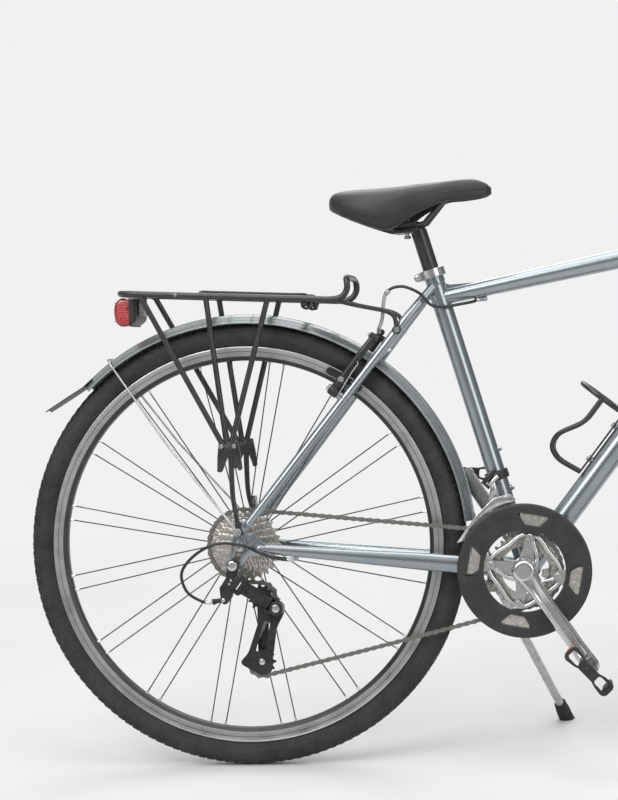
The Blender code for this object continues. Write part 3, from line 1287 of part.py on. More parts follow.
def fork():
    top = headTop + headDir * (STEM_STACK + 22)
    crown = steerFoot + headDir * 412
    parts = [rod(crown, top, STEERER_RADIUS, 20)]
    race = [(FORK_LENGTH - 8, 17), (FORK_LENGTH - 2, 20), (FORK_LENGTH, 20)]
    parts.append(lathe(race, steerFoot, headDir, 20))
    shoulder = crown + headAhead * 2 - headDir * 6
    across = [shoulder - axisY * 46, crown - axisY * 20, crown + axisY * 20, shoulder + axisY * 46]
    parts.append(tube(across, [(13, 14), (15, 15), (15, 15), (13, 14)],
                      12, side=headDir))
    for side in (1, -1):
        parts.append(tube(forkLeg(side), [12.5, 12.5, 11.5, 9.5, 7.5, 6.5], 12))
        inner = FRONT_HUB_WIDTH / 2
        ends = sorted((side * inner, side * (inner + 6)))
        ahead = frontHub
        outline = [(ahead.x - 22, ahead.z - 8), (ahead.x - 6, ahead.z - 13), (ahead.x + 8, ahead.z - 10),
                   (ahead.x + 9, ahead.z + 8), (ahead.x - 4, ahead.z + 26), (ahead.x - 20, ahead.z + 20),
                   (ahead.x - 24, ahead.z + 2)]
        parts.append(plate(outline, *ends))
        boss = forkBoss(side)
        parts.append(rod(boss, boss + headAhead * BOSS_LENGTH, BOSS_RADIUS, 10))
        parts.append(rod(boss, boss + headAhead * 13, 8, 12))
    cuts = [discHole(frontHub, AXLE_RADIUS + GAP, -99, 99, 12)]
    cuts.append(discHole(frontHub + FRONT_EYELET, 2.6, -99, 99, 10))
    r = AXLE_RADIUS + GAP
    slot = [(frontHub.x - r, -30), (frontHub.x + r, -30), (frontHub.x + r, 0), (frontHub.x - r, 0)]
    cuts.append(plate(slot, -99, 99))
    piece("fork", "paint", steering, parts, cuts)


def steeringAxis():
    global steering
    steering = pivot("steering_line", headBottom, headDir, stand)


stemDir = Vector((cos(radians(STEM_RISE)), 0, sin(radians(STEM_RISE))))
barCentre = headTop + headDir * STEM_STACK + stemDir * STEM_REACH


def barPath():
    half = [(0, 0, 0), (0, 34, 0), (3, 62, 4), (5, 92, 12), (2, 116, 16), (-6, 136, 17)]
    end = Vector((-52, BAR_HALF_WIDTH, 14))
    half = [Vector(p) for p in half] + [end]
    side = half + []
    full = [mirrored(p, -1) for p in reversed(side[1:])] + side
    return [barCentre + p for p in full]


def barLine(side):
    path = barPath()
    inner, end = (path[-2], path[-1]) if side == 1 else (path[1], path[0])
    return inner, end, (end - inner).normalized()


def cockpit():
    up = Vector((cos(radians(STEM_RISE)), 0, sin(radians(STEM_RISE))))
    low = headTop + headDir * 9.4
    high = headTop + headDir * (STEM_STACK + 21)
    mid = headTop + headDir * STEM_STACK
    parts = [rod(low, high, STEERER_RADIUS + 5, 20)]
    parts.append(tube([mid + up * 4, barCentre - up * 6], [(15, 16), (13, 14)], 12))
    parts.append(disc(barCentre, BAR_RADIUS + 5.5, -21, 21, 20))
    pinch = mid - headAhead * 20 - headDir * 6
    parts.append(rod(pinch - axisY * 10, pinch + axisY * 10, 4, 8))
    cuts = [rodHole(low - headDir * 30, high + headDir * 30, STEERER_RADIUS + GAP, 20),
            discHole(barCentre, BAR_RADIUS + GAP, -60, 60, 20)]
    piece("stem", "alloy", steering, parts, cuts)
    piece("handlebar", "black", steering, [tube(barPath(), BAR_RADIUS, 12)])
    for side, word in ((1, "left"), (-1, "right")):
        inner, end, along = barLine(side)
        bore = clear(BAR_RADIUS, 16)
        grip = lathe([(2, bore), (2, GRIP_RADIUS), (-4, GRIP_RADIUS - 1), (-GRIP_LENGTH / 2, GRIP_RADIUS + 1),
                      (-GRIP_LENGTH, GRIP_RADIUS), (-GRIP_LENGTH, bore)], end, along, 16, ring=True)
        piece("grip_" + word, "rubber", steering, [grip])
        start = -GRIP_LENGTH - GAP
        twist = pivot("shifter_" + word + "_line", end, along, steering)
        stop = start - SHIFTER_LENGTH
        sleeve = lathe([(start, bore), (start, 18), (start - 8, 19), (stop + 14, 19.5), (stop, 20),
                        (stop, bore)], end, along, 16, ring=True)
        piece("shifter_" + word, "rubber", twist, [sleeve])
        # Lever bracket and lever
        at = end + along * (stop - GAP - PERCH_WIDTH / 2)
        half = PERCH_WIDTH / 2
        ring = lathe([(-half, bore), (-half, 16), (half, 16), (half, bore)],
                     at, along, 16, ring=True)
        ahead = Vector((0.86, 0, -0.5))
        ahead = (ahead - along * ahead.dot(along)).normalized()
        top = along.cross(ahead) * side
        hinge = at + ahead * 37 + along * 1
        perch = [ring, block(at + ahead * 20 - along * 2, (14, 14, 12), (along, ahead, top))]
        for prong in (-1, 1):
            perch.append(block(at + ahead * 30 + top * prong * 6.4, (12, 24, 3), (along, ahead, top)))
        perch.append(rod(hinge - top * 7, hinge + top * 7, 2.4, 8))
        perch.append(rod(at + ahead * 23 - along * 8, at + ahead * 23 - along * 22, 4, 8))
        piece("brake_perch_" + word, "black", steering, perch)
        swing = pivot("lever_" + word + "_line", hinge, top * -side, steering)
        blade = [hinge, hinge + along * 16 + ahead * 4, hinge + along * 34 + ahead * 20,
                 hinge + along * 60 + ahead * 26, hinge + along * LEVER_LENGTH * 1.25 + ahead * 27,
                 hinge + along * LEVER_LENGTH * 1.4 + ahead * 31]
        arm = tube(blade, [(4, 6), (4, 6), (4, 4.5), (4.5, 4), (5, 4), (4.5, 4.5)], 8, side=top)
        boreCut = rodHole(hinge - top * 20, hinge + top * 20, 2.4 + GAP, 8)
        knob = rod(hinge - top * 4.4, hinge + top * 4.4, 6, 12)
        piece("brake_lever_" + word, "alloy", swing, [arm, knob], [boreCut])


def frontGuard():
    guard = arch(frontHub, 28, 165, 22)
    crown = steerFoot + headDir * 412
    low = radial(frontHub, bearing(crown - frontHub), GUARD_CROWN - 2.6)
    up = (crown - low).normalized()
    tab = loft([[p + axisY * w + headAhead * k for w, k in ((-9, -1.1), (9, -1.1), (9, 1.1), (-9, 1.1))]
                for p in (low, crown - up * 16.2)])
    wire = stayWire(frontHub, 150, frontHub + FRONT_EYELET, FRONT_HUB_WIDTH / 2 + 6 + GAP, 1.8)
    piece("front_mudguard", "grey", steering, [guard, tab] + wire)


def bearing(v):
    return atan2(v.z, v.x) * 180 / pi


def frontLight():
    base = steerFoot + headDir * 412 + headAhead * 19
    lamp = base + headAhead * 34 + headDir * 14
    ahead = Vector((1, 0, -0.08)).normalized()
    body = lathe([(-20, 10), (-14, 21), (8, 27), (22, 29), (25, 26)], lamp, ahead, 20)
    bracket = tube([base - headAhead * 3.7, base + headAhead * 14 - headDir * 2,
                    lamp - ahead * 4 - Vector((0, 0, 16))],
                   [(3, 7), (3, 7), (3, 8)], 8, side=headDir)
    piece("front_light", "black", steering, [body, bracket])


def build():
    steeringAxis()
    frame()
    seatClamp()
    seat()
    saddle()
    rack()
    rackClamp()
    rearLight()
    rearMudguard()
    wheels()
    axleSet("rear", rearHub, stand, REAR_HUB_WIDTH / 2, DROPOUT_THICKNESS, Vector((-0.07, 0, 1)).normalized())
    axleSet("front", frontHub, steering, FRONT_HUB_WIDTH / 2, 6, Vector((-0.5, 0, 0.86)).normalized())
    cassette()
    cranks()
    chain()
    derailleur()
    frontDerailleur()
    fork()
    brakes()
    rearCable()
    shiftCable()
    bottleCage()
    kickstand()
    cockpit()
    frontGuard()
    frontLight()


build()


def settle():
    """Lean the bike and set it down with the middle of its box over the origin."""
    upright = placed[stand]
    stand.matrix_basis = lean.to_4x4() @ upright
    bpy.context.view_layer.update()
    points = []
    for thing in bpy.context.scene.objects:
        if thing.type == 'MESH':
            points += [thing.matrix_world @ v.co for v in thing.data.vertices]
    low = [min(p[i] for p in points) for i in range(3)]
    high = [max(p[i] for p in points) for i in range(3)]
    shift = Vector((-(low[0] + high[0]) / 2, -(low[1] + high[1]) / 2, -low[2]))
    stand.matrix_basis = Matrix.Translation(shift) @ lean.to_4x4() @ upright
    bpy.context.view_layer.update()
    print("origin moved by", [round(v, 5) for v in shift])


settle()
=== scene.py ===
import json
from math import acos, atan2, cos, hypot, pi, radians, sin, sqrt

import bmesh
import bpy
from mathutils import Matrix, Vector


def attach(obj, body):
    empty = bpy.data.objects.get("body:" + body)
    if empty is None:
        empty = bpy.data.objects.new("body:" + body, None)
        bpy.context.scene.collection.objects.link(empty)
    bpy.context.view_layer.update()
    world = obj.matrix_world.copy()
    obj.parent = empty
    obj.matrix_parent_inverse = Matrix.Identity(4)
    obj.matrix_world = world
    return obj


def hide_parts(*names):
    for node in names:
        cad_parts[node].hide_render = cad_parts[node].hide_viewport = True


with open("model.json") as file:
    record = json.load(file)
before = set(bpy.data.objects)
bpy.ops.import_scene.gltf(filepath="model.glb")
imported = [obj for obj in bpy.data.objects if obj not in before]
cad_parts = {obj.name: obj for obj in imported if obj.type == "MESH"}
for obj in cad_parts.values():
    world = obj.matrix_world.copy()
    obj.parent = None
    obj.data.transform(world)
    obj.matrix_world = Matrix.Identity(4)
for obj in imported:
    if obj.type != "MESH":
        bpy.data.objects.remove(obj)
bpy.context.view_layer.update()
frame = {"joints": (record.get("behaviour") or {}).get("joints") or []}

# The bike is made upright in millimetres, rear hub at the origin, +X forward, +Y to the rider's left.
# atBike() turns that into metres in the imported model's frame, where the bike leans on its kickstand.
joints = {joint["name"]: joint for joint in frame["joints"]}
hubPlace = Vector(joints["rear_wheel_spin"]["pos_m"])
acrossBike = Vector(joints["rear_wheel_spin"]["axis"])
leanAngle = atan2(acrossBike.z, acrossBike.y)
lean = Matrix.Rotation(leanAngle, 3, 'X')
mm = 0.001
gap = 0.3
axisX = Vector((1, 0, 0))
axisY = Vector((0, 1, 0))
up = Vector((0, 0, 1))


def atBike(point):
    return hubPlace + lean @ (Vector(point) * mm)


def note(stage):
    print("scene:", stage)


# Driving sizes of this bike
geometry = {"wheelbase": 1061.0, "chainstay": 444.5, "bracketDrop": 47.0, "seatAngle": 74.0,
    "seatTube": 487.0, "headAngle": 71.0, "headTube": 120.0, "forkRake": 47.0, "forkLength": 430.0,
    "forkCrown": 412.0, "downAngle": 51.8, "downStraight": 500.0}
wheelSize = {"tyre": 350.0, "tyreWidth": 38.0, "rim": 314.5, "rimDepth": 23.0, "rimWidth": 24.0,
    "pairs": 16, "flange": 26.0, "boss": 282.0, "spokeTwist": 2.3, "spokeLean": 24, "spokeOut": 1.5}
rearHub = Vector((0, 0, 0))
frontHub = Vector((geometry["wheelbase"], 0, 0))


def angled(degrees):
    return Vector((cos(radians(degrees)), 0, sin(radians(degrees))))


bracket = Vector((sqrt(geometry["chainstay"] ** 2 - geometry["bracketDrop"] ** 2), 0,
    -geometry["bracketDrop"]))
seatDir = angled(180 - geometry["seatAngle"])
seatAhead = Vector((seatDir.z, 0, -seatDir.x))
seatTop = bracket + seatDir * geometry["seatTube"]
headDir = angled(180 - geometry["headAngle"])
headAhead = Vector((headDir.z, 0, -headDir.x))
steerFoot = frontHub - headAhead * geometry["forkRake"]
headBottom = steerFoot + headDir * (geometry["forkLength"] + 8)
headTop = headBottom + headDir * geometry["headTube"]
downDir = angled(geometry["downAngle"])
downUp = Vector((-downDir.z, 0, downDir.x))
topRear = seatTop - seatDir * 43
topFront = headTop - headDir * 40
topDir = (topFront - topRear).normalized()
dropIn = 67.5
dropOut = 72.5
forkIn = 50.0
forkThick = 6.0
stayFoot = Vector((14, dropIn + 1.5, 36))
stayKnee = Vector((265, 30, 345))
stayHead = seatTop - seatDir * 24 + Vector((-4, 11, 0))
chainFoot = Vector((30, dropIn + 1.5, -3))
chainEnd = bracket + Vector((-6, 24, 0))
chainBridge = chainFoot.lerp(chainEnd, 0.89)
stayLine = (stayKnee - stayFoot).normalized()
stayRise = (stayLine - axisY * stayLine.y).normalized()
stayBack = Vector((-stayLine.z, 0, stayLine.x)).normalized()
eyelet = Vector((-1.3, 0, 23.4))
hanger = Vector((-10, 0, -28))
guideAt = Vector((24, 0, -83))
tensionAt = Vector((23, 0, -184.5))
rackRear = Vector((-186, 0, 403.7))
rackFront = Vector((163, 0, 381.5))
crankAngle = -56.0
toothPitch = 12.7
cogY = -27.5
cogTeeth = (28, 24, 21, 19, 17, 15, 13, 11)


# Degrees from straight ahead, upward
def bearing(way):
    return atan2(way.z, way.x) * 180 / pi


def mirrored(point, side):
    return Vector((point.x, point.y * side, point.z))


def polar(centre, degrees, radius, y=0.0):
    return centre + angled(degrees) * radius + axisY * y


def pitchRadius(teeth):
    return toothPitch / (2 * sin(pi / teeth))


# From b to c along a curve that also knows the values before and after them
def onCurve(a, b, c, d, t):
    return 0.5 * (2 * b + (c - a) * t + (2 * a - 5 * b + 4 * c - d) * t * t
        + (3 * b - a - 3 * c + d) * t ** 3)


def oval(centre, wide, tall, sides):
    return [centre + wide * cos(2 * pi * i / sides) + tall * sin(2 * pi * i / sides) for i in range(sides)]


# Outline points given from a place, forward and up
def around(place, *steps):
    return [(place.x + x, place.z + z) for x, z in steps]


# A profile and its mirror image, back to front
def both(half):
    return half + [(-a, b) for a, b in reversed(half)]


def onCircle(start, end, centre, radius):
    low, high = 0.0, 1.0
    for _ in range(40):
        mid = (low + high) / 2
        spot = start + (end - start) * mid - centre
        if hypot(spot.x, spot.z) < radius:
            low = mid
        else:
            high = mid
    return start + (end - start) * low


# Curve through the points, sampled about a step apart
def flowing(points, step):
    points = [Vector(p) for p in points]
    ends = [points[0] * 2 - points[1]] + points + [points[-1] * 2 - points[-2]]
    found = []
    for i in range(1, len(ends) - 2):
        a, b, c, d = ends[i - 1:i + 3]
        pieces = max(1, round((c - b).length / step))
        for j in range(pieces):
            t = j / pieces
            found.append(onCurve(a, b, c, d, t))
    found.append(points[-1])
    return found


def addObject(name, data):
    made = bpy.data.objects.new(name, data)
    bpy.context.scene.collection.objects.link(made)
    return made


# Where the brake's boss sits on the left seat stay
stayBoss = onCircle(stayFoot, stayKnee, rearHub, wheelSize["boss"])


# A mesh under construction, in bike millimetres
class Shape:
    def __init__(self):
        self.verts = []
        self.faces = []

    def add(self, verts, faces):
        base = len(self.verts)
        self.verts += [Vector(v) for v in verts]
        self.faces += [tuple(base + i for i in face) for face in faces]
        return self

    def loft(self, rings, closed=False):
        count = len(rings[0])
        verts = [p for ring in rings for p in ring]
        faces = []
        for i in range(len(rings) if closed else len(rings) - 1):
            a = i * count
            b = ((i + 1) % len(rings)) * count
            faces += [(a + j, a + (j + 1) % count, b + (j + 1) % count, b + j) for j in range(count)]
        if not closed:
            faces.append(tuple(range(count)))
            faces.append(tuple(range(len(verts) - count, len(verts))))
        return self.add(verts, faces)

    def tube(self, path, radius, sides=16, closed=False, side=None):
        path = [Vector(p) for p in path]
        count = len(path)
        radii = radius if isinstance(radius, list) else [radius] * count
        rings = []
        across = None
        for i, point in enumerate(path):
            before = path[i - 1] if (i or closed) else point
            after = path[(i + 1) % count] if (i < count - 1 or closed) else point
            along = ((point - before).normalized() + (after - point).normalized()).normalized()
            if across is None:
                across = side or (axisY if abs(along.y) < 0.9 else axisX)
            across = (across - along * across.dot(along)).normalized()
            high = along.cross(across)
            a, b = radii[i] if isinstance(radii[i], tuple) else (radii[i], radii[i])
            rings.append(oval(point, across * a, high * b, sides))
        return self.loft(rings, closed)

    # Tube along a flowing curve. A list of radii is spread along it.
    def bent(self, points, radius, step=6, sides=12, side=None):
        points = [Vector(p) for p in points]
        path = flowing(points, step)
        if isinstance(radius, list):
            lengths = [0.0]
            for a, b in zip(points, points[1:]):
                lengths.append(lengths[-1] + (b - a).length)
            walked = [0.0]
            for a, b in zip(path, path[1:]):
                walked.append(walked[-1] + (b - a).length)
            spread = []
            for w in walked:
                w = w * lengths[-1] / walked[-1]
                i = max(k for k in range(len(lengths)) if lengths[k] <= w + 1e-9)
                i = min(i, len(lengths) - 2)
                t = (w - lengths[i]) / (lengths[i + 1] - lengths[i])
                one = radius[i] if isinstance(radius[i], tuple) else (radius[i], radius[i])
                two = radius[i + 1] if isinstance(radius[i + 1], tuple) else (radius[i + 1], radius[i + 1])
                spread.append(tuple(p + (q - p) * t for p, q in zip(one, two)))
            radius = spread
        return self.tube(path, radius, sides, False, side)

    # Lathe work. The profile lists (distance along the axis, radius).
    def turned(self, profile, centre, axis=axisY, sides=48, ring=False):
        axis = Vector(axis).normalized()
        hint = up if abs(axis.z) < 0.9 else axisX
        across = (hint - axis * hint.dot(axis)).normalized()
        high = axis.cross(across)
        centre = Vector(centre)
        count = len(profile)
        verts = []
        for i in range(sides):
            angle = 2 * pi * i / sides
            out = across * cos(angle) + high * sin(angle)
            verts += [centre + axis * a + out * r for a, r in profile]
        faces = []
        for i in range(sides):
            a = i * count
            b = ((i + 1) % sides) * count
            for j in range(count if ring else count - 1):
                k = (j + 1) % count
                faces.append((a + j, a + k, b + k, b + j))
        if not ring:
            faces.append(tuple(i * count for i in range(sides)))
            faces.append(tuple(i * count + count - 1 for i in range(sides)))
        return self.add(verts, faces)

    def rod(self, start, end, radius, sides=16, soft=0.6):
        start = Vector(start)
        end = Vector(end)
        length = (end - start).length
        soft = min(soft, radius * 0.4, length * 0.3)
        profile = [(0, radius - soft), (soft, radius), (length - soft, radius), (length, radius - soft)]
        return self.turned(profile, start, end - start, sides)

    def disc(self, centre, radius, low, high, sides=32, soft=0.5):
        low, high = min(low, high), max(low, high)
        spot = Vector((centre[0], 0, centre[2]))
        return self.rod(spot + axisY * low, spot + axisY * high, radius, sides, soft)

    def washer(self, centre, inner, outer, low, high, axis=axisY, sides=48, soft=0.4):
        low, high = sorted((low, high))
        profile = [(low, inner), (low, outer - soft), (low + soft, outer), (high - soft, outer),
            (high, outer - soft), (high, inner)]
        return self.turned(profile, centre, axis, sides, ring=True)

    def plate(self, outline, low, high):
        flat = [(p.x, p.z) if isinstance(p, Vector) else p for p in outline]
        return self.loft([[Vector((x, y, z)) for x, z in flat] for y in sorted((low, high))])

    def block(self, centre, size, axes=None):
        centre = Vector(centre)
        axes = axes or (axisX, axisY, up)
        half = [Vector(a).normalized() * s / 2 for a, s in zip(axes, size)]
        return self.loft([[centre + half[0] * end + half[1] * j + half[2] * k for j, k in ((-1, -1),
            (1, -1), (1, 1), (-1, 1))] for end in (-1, 1)])

    def ball(self, centre, radius, axis=axisY, sides=16, flat=1.0):
        steps = sides // 2
        profile = [(-radius * flat * cos(pi * i / steps), max(radius * sin(pi * i / steps), 0.02))
            for i in range(steps + 1)]
        return self.turned(profile, centre, axis, sides)

    def finish(self, name, look, body, slot, *nodes, sharp=32):
        return finished(self, name, look, body, slot, *nodes, sharp=sharp)

    def eased(self, width, segments=2, angle=40):
        return eased(self, width, segments, angle)

    # An object in metres. Bike millimetres go to the leaning bike, local ones stay as they are.
    def object(self, local=False):
        mesh = bpy.data.meshes.new("shape")
        mesh.from_pydata([v * mm if local else atBike(v) for v in self.verts], [], self.faces)
        work = bmesh.new()
        work.from_mesh(mesh)
        bmesh.ops.recalc_face_normals(work, faces=work.faces)
        work.to_mesh(mesh)
        work.free()
        return addObject("shape", mesh)


def real(thing):
    return thing.object() if isinstance(thing, Shape) else thing


# Turn live modifiers into a plain mesh
def flatten(thing):
    graph = bpy.context.evaluated_depsgraph_get()
    mesh = bpy.data.meshes.new_from_object(thing.evaluated_get(graph))
    for step in list(thing.modifiers):
        thing.modifiers.remove(step)
    thing.data = mesh
    return thing


# Round the sharp edges by a width in millimetres
def eased(thing, width, segments=2, angle=40):
    thing = real(thing)
    step = thing.modifiers.new("eased", 'BEVEL')
    step.width = width * mm
    step.segments = segments
    step.limit_method = 'ANGLE'
    step.angle_limit = radians(angle)
    step.harden_normals = False
    return flatten(thing)


def cutAway(thing, *shapes):
    thing = real(thing)
    for shape in shapes:
        cutter = real(shape)
        step = thing.modifiers.new("cut", 'BOOLEAN')
        step.operation = 'DIFFERENCE'
        step.solver = 'EXACT'
        step.object = cutter
        flatten(thing)
        bpy.data.objects.remove(cutter)
    return thing


# One object from several
def joined(things):
    things = [real(thing) for thing in things]
    mesh = bpy.data.meshes.new("joined")
    work = bmesh.new()
    for thing in things:
        work.from_mesh(thing.data)
    work.to_mesh(mesh)
    work.free()
    for thing in things:
        bpy.data.objects.remove(thing)
    return addObject("shape", mesh)


# Name a piece, give it its material, hang it on its body and say which CAD nodes it stands for
def finished(thing, name, finish, body, slot, *nodes, sharp=32):
    thing = joined(thing) if isinstance(thing, list) else real(thing)
    thing.name = name
    thing.data.name = name
    thing.data.materials.clear()
    thing.data.materials.append(finish)
    for poly in thing.data.polygons:
        poly.material_index = 0
    thing.data.shade_smooth()
    thing.data.set_sharp_from_angle(angle=radians(sharp))
    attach(thing, body)
    if nodes:
        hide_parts(*nodes)
    return thing


# Node trees from plain expressions. This makes one operator of theirs.
def sums(operation):
    def run(self, other):
        return self.maths(operation, other)
    return run


# A socket that takes part in sums
class Wire:
    def __init__(self, tree, socket):
        self.tree = tree
        self.socket = socket

    def maths(self, operation, *others, clamp=False):
        node = self.tree.nodes.new("ShaderNodeMath")
        node.operation = operation
        node.use_clamp = clamp
        for slot, value in zip(node.inputs, (self,) + others):
            put(self.tree, slot, value)
        return Wire(self.tree, node.outputs[0])

    def flipped(self, operation, other):
        node = self.tree.nodes.new("ShaderNodeMath")
        node.operation = operation
        put(self.tree, node.inputs[0], other)
        put(self.tree, node.inputs[1], self)
        return Wire(self.tree, node.outputs[0])

    __add__ = __radd__ = sums("ADD")
    __mul__ = __rmul__ = sums("MULTIPLY")
    __sub__ = sums("SUBTRACT")
    __truediv__ = sums("DIVIDE")
    __pow__ = sums("POWER")
    __mod__ = sums("MODULO")
    __gt__ = sums("GREATER_THAN")
    __lt__ = sums("LESS_THAN")

    def __rsub__(self, other):
        return self.flipped("SUBTRACT", other)

    # 1 from low to high, with soft edges
    def between(self, low, high, soft=0.0):
        if not soft:
            return (self > low) * (self < high)
        rise = ((self - (low - soft)) / (2 * soft)).maths("MULTIPLY", 1.0, clamp=True)
        fall = (((high + soft) - self) / (2 * soft)).maths("MULTIPLY", 1.0, clamp=True)
        return rise * fall


def put(tree, socket, value):
    if isinstance(value, Wire):
        tree.links.new(value.socket, socket)
    elif isinstance(value, bpy.types.NodeSocket):
        tree.links.new(value, socket)
    elif value is not None:
        if isinstance(value, (tuple, list, Vector)) and len(value) == 3 and socket.type == 'RGBA':
            value = (*value, 1)
        socket.default_value = value


# Any node: its settings first, then the values or links of its sockets
def addNode(tree, kind, settings=(), sockets=(), output=0):
    node = tree.nodes.new(kind)
    stops = None
    for key, value in dict(settings).items():
        if key == "stops":
            stops = value
        else:
            setattr(node, key, value)
    if stops:
        ramp = node.color_ramp
        while len(ramp.elements) > 1:
            ramp.elements.remove(ramp.elements[-1])
        ramp.elements[0].position = stops[0][0]
        ramp.elements[0].color = (*stops[0][1], 1)
        for place, colour in stops[1:]:
            ramp.elements.new(place).color = (*colour, 1)
    for key, value in dict(sockets).items():
        put(tree, node.inputs[key], value)
    return Wire(tree, node.outputs[output])


# A material in the making. Its patterns read the bike's own upright coordinates, in metres.
class Finish:
    def __init__(self, name):
        self.material = bpy.data.materials.new(name)
        self.material.use_nodes = True
        self.tree = self.material.node_tree
        self.shader = self.tree.nodes["Principled BSDF"]
        place = self.node("ShaderNodeTexCoord", output=3)
        self.place = self.node("ShaderNodeMapping", {"vector_type": 'TEXTURE'},
            {0: place, 1: tuple(hubPlace), 2: (leanAngle, 0, 0)})
        split = self.tree.nodes.new("ShaderNodeSeparateXYZ")
        put(self.tree, split.inputs[0], self.place)
        self.x, self.y, self.z = (Wire(self.tree, s) for s in split.outputs)

    def node(self, kind, settings=(), sockets=(), output=0):
        return addNode(self.tree, kind, settings, sockets, output)

    def noise(self, scale, detail=3.0, rough=0.5, stretch=None, place=None):
        spot = place or self.place
        if stretch:
            spot = self.node("ShaderNodeVectorMath", {"operation": 'MULTIPLY'}, {0: spot, 1: stretch})
        return self.node("ShaderNodeTexNoise", {}, {"Vector": spot, "Scale": scale, "Detail": detail,
            "Roughness": rough})

    def levels(self, value, low, high, start=0.0, end=1.0):
        return self.node("ShaderNodeMapRange", {"clamp": True}, {0: value, 1: low, 2: high, 3: start,
            4: end})

    def blend(self, share, one, two):
        return self.node("ShaderNodeMix", {"data_type": 'RGBA', "blend_type": 'MIX'},
            {0: share, 6: one, 7: two}, output=2)

    # Distance from an axle across the bike, in metres
    def fromHub(self, centre=rearHub):
        x = self.x - centre.x * mm
        z = self.z - centre.z * mm
        return (x * x + z * z) ** 0.5

    def bump(self, height, strength, distance):
        sockets = {"Height": height, "Strength": strength, "Distance": distance}
        return self.node("ShaderNodeBump", {}, sockets)

    def done(self, **sockets):
        names = {"colour": "Base Color", "rough": "Roughness", "metal": "Metallic", "coat": "Coat Weight",
            "coatRough": "Coat Roughness", "glow": "Emission Color", "glowStrength": "Emission Strength",
            "normal": "Normal", "specular": "Specular IOR Level"}
        for key, value in sockets.items():
            put(self.tree, self.shader.inputs[names[key]], value)
        return self.material


# Finishes

# A finish with cloudy colour, fine grain, wear and a film of dust
def coated(name, look):
    f = Finish(name)
    cloud = f.noise(look.get("cloud", 35), 4, 0.6)
    grain = f.noise(look.get("grain", 900), 3, 0.6, look.get("stretch"))
    colour = f.blend(f.levels(cloud, 0.35, 0.7), look["colour"], look.get("second", look["colour"]))
    if "dust" in look:
        film = f.levels(f.noise(look.get("dustScale", 90), 6, 0.7), 0.5, 0.8) * look.get("dustShare", 0.3)
        colour = f.blend(film, colour, look["dust"])
    rough = f.levels(f.noise(look.get("smear", 60), 5, 0.7), 0.3, 0.7, look["rough"] * 0.8,
        look["rough"] * 1.25)
    rough = f.levels(grain, 0.2, 0.8, -0.04, 0.04) + rough
    normal = f.bump(grain, look.get("relief", 0.25), look.get("depth", 0.0002))
    return f.done(colour=colour, rough=rough, metal=look.get("metal", 0.0), coat=look.get("coat", 0.0),
        coatRough=look.get("coatRough", 0.08), normal=normal, specular=look.get("specular", 0.5))


def paintFinish():
    look = {"deep": (0.20, 0.23, 0.25), "bright": (0.36, 0.4, 0.42), "spark": (0.62, 0.68, 0.72),
        "dust": (0.22, 0.2, 0.17), "flakes": 5200, "rough": 0.25}
    f = Finish("silverBluePaint")
    flakes = f.node("ShaderNodeTexVoronoi", {}, {"Vector": f.place, "Scale": look["flakes"]}, output=1)
    spark = f.node("ShaderNodeSeparateColor", {}, {0: flakes})
    cloud = f.noise(9, 3)
    colour = f.blend(f.levels(cloud, 0.3, 0.7, 0.3, 0.65), look["deep"], look["bright"])
    colour = f.blend(f.levels(spark, 0.75, 1.0) * 0.1, colour, look["spark"])
    film = f.levels(f.noise(70, 6, 0.7), 0.55, 0.85) * f.levels(f.z, 0.12, -0.06) * 0.4
    colour = f.blend(film, colour, look["dust"])
    rough = f.levels(f.noise(8, 2), 0.3, 0.75, look["rough"] * 0.95, look["rough"] * 1.1) + film * 0.4
    return f.done(colour=colour, rough=rough, metal=0.85, coat=0.9, coatRough=0.08)


def rubberFinish():
    look = {"black": (0.018, 0.018, 0.019), "grey": (0.052, 0.051, 0.05), "dust": (0.16, 0.15, 0.135)}
    f = Finish("tyreRubber")
    cloud = f.noise(25, 5, 0.65)
    colour = f.blend(f.levels(cloud, 0.35, 0.75), look["black"], look["grey"])
    film = f.levels(f.noise(160, 6, 0.7), 0.52, 0.8) * 0.28
    colour = f.blend(film, colour, look["dust"])
    skin = f.noise(1500, 4, 0.6)
    fine = f.levels((f.fromHub() * 2600.0).maths("SINE"), -1, 1)
    normal = f.bump(skin * 0.7 + fine * 0.2, 0.3, 0.00025)
    return f.done(colour=colour, rough=f.levels(cloud, 0.3, 0.7, 0.62, 0.85) + film * 0.2, normal=normal,
        specular=0.35)


# Machined brake track outside, black inner wall, fine turning lines, and a dark ring of painted shade where
# a groove in the track would be
def rimFinish(name, centre):
    look = {"track": 0.2985, "silver": (0.52, 0.52, 0.52), "worn": (0.36, 0.36, 0.355),
        "wall": (0.03, 0.031, 0.032), "dust": (0.1, 0.1, 0.098), "groove": (0.3055, 0.3068),
        "paintedGrooveShade": (0.12, 0.12, 0.12)}
    f = Finish(name)
    r = f.fromHub(centre)
    lines = f.levels(f.noise(1.0, 2, 0.5, None, f.node("ShaderNodeCombineXYZ", {},
        {0: r * 5200.0, 1: 0.0, 2: 0.0})), 0.3, 0.7)
    streak = f.noise(30, 6, 0.7)
    silver = f.blend(f.levels(lines * 0.6 + streak * 0.4, 0.3, 0.75), look["worn"], look["silver"])
    # Painted shade: the groove is not modelled, so its shade is painted as a dark ring on the track
    silver = f.blend(r.between(*look["groove"], 0.0002) * 0.75, silver, look["paintedGrooveShade"])
    onTrack = f.levels(r, look["track"] - 0.0006, look["track"] + 0.0006)
    wall = f.blend(f.levels(streak, 0.5, 0.85) * 0.4, look["wall"], look["dust"])
    colour = f.blend(onTrack, wall, silver)
    normal = f.bump(lines, 0.25, 0.00012)
    return f.done(colour=colour, rough=f.levels(streak, 0.3, 0.7, 0.26, 0.42), metal=onTrack * 0.75 + 0.2,
        normal=normal)


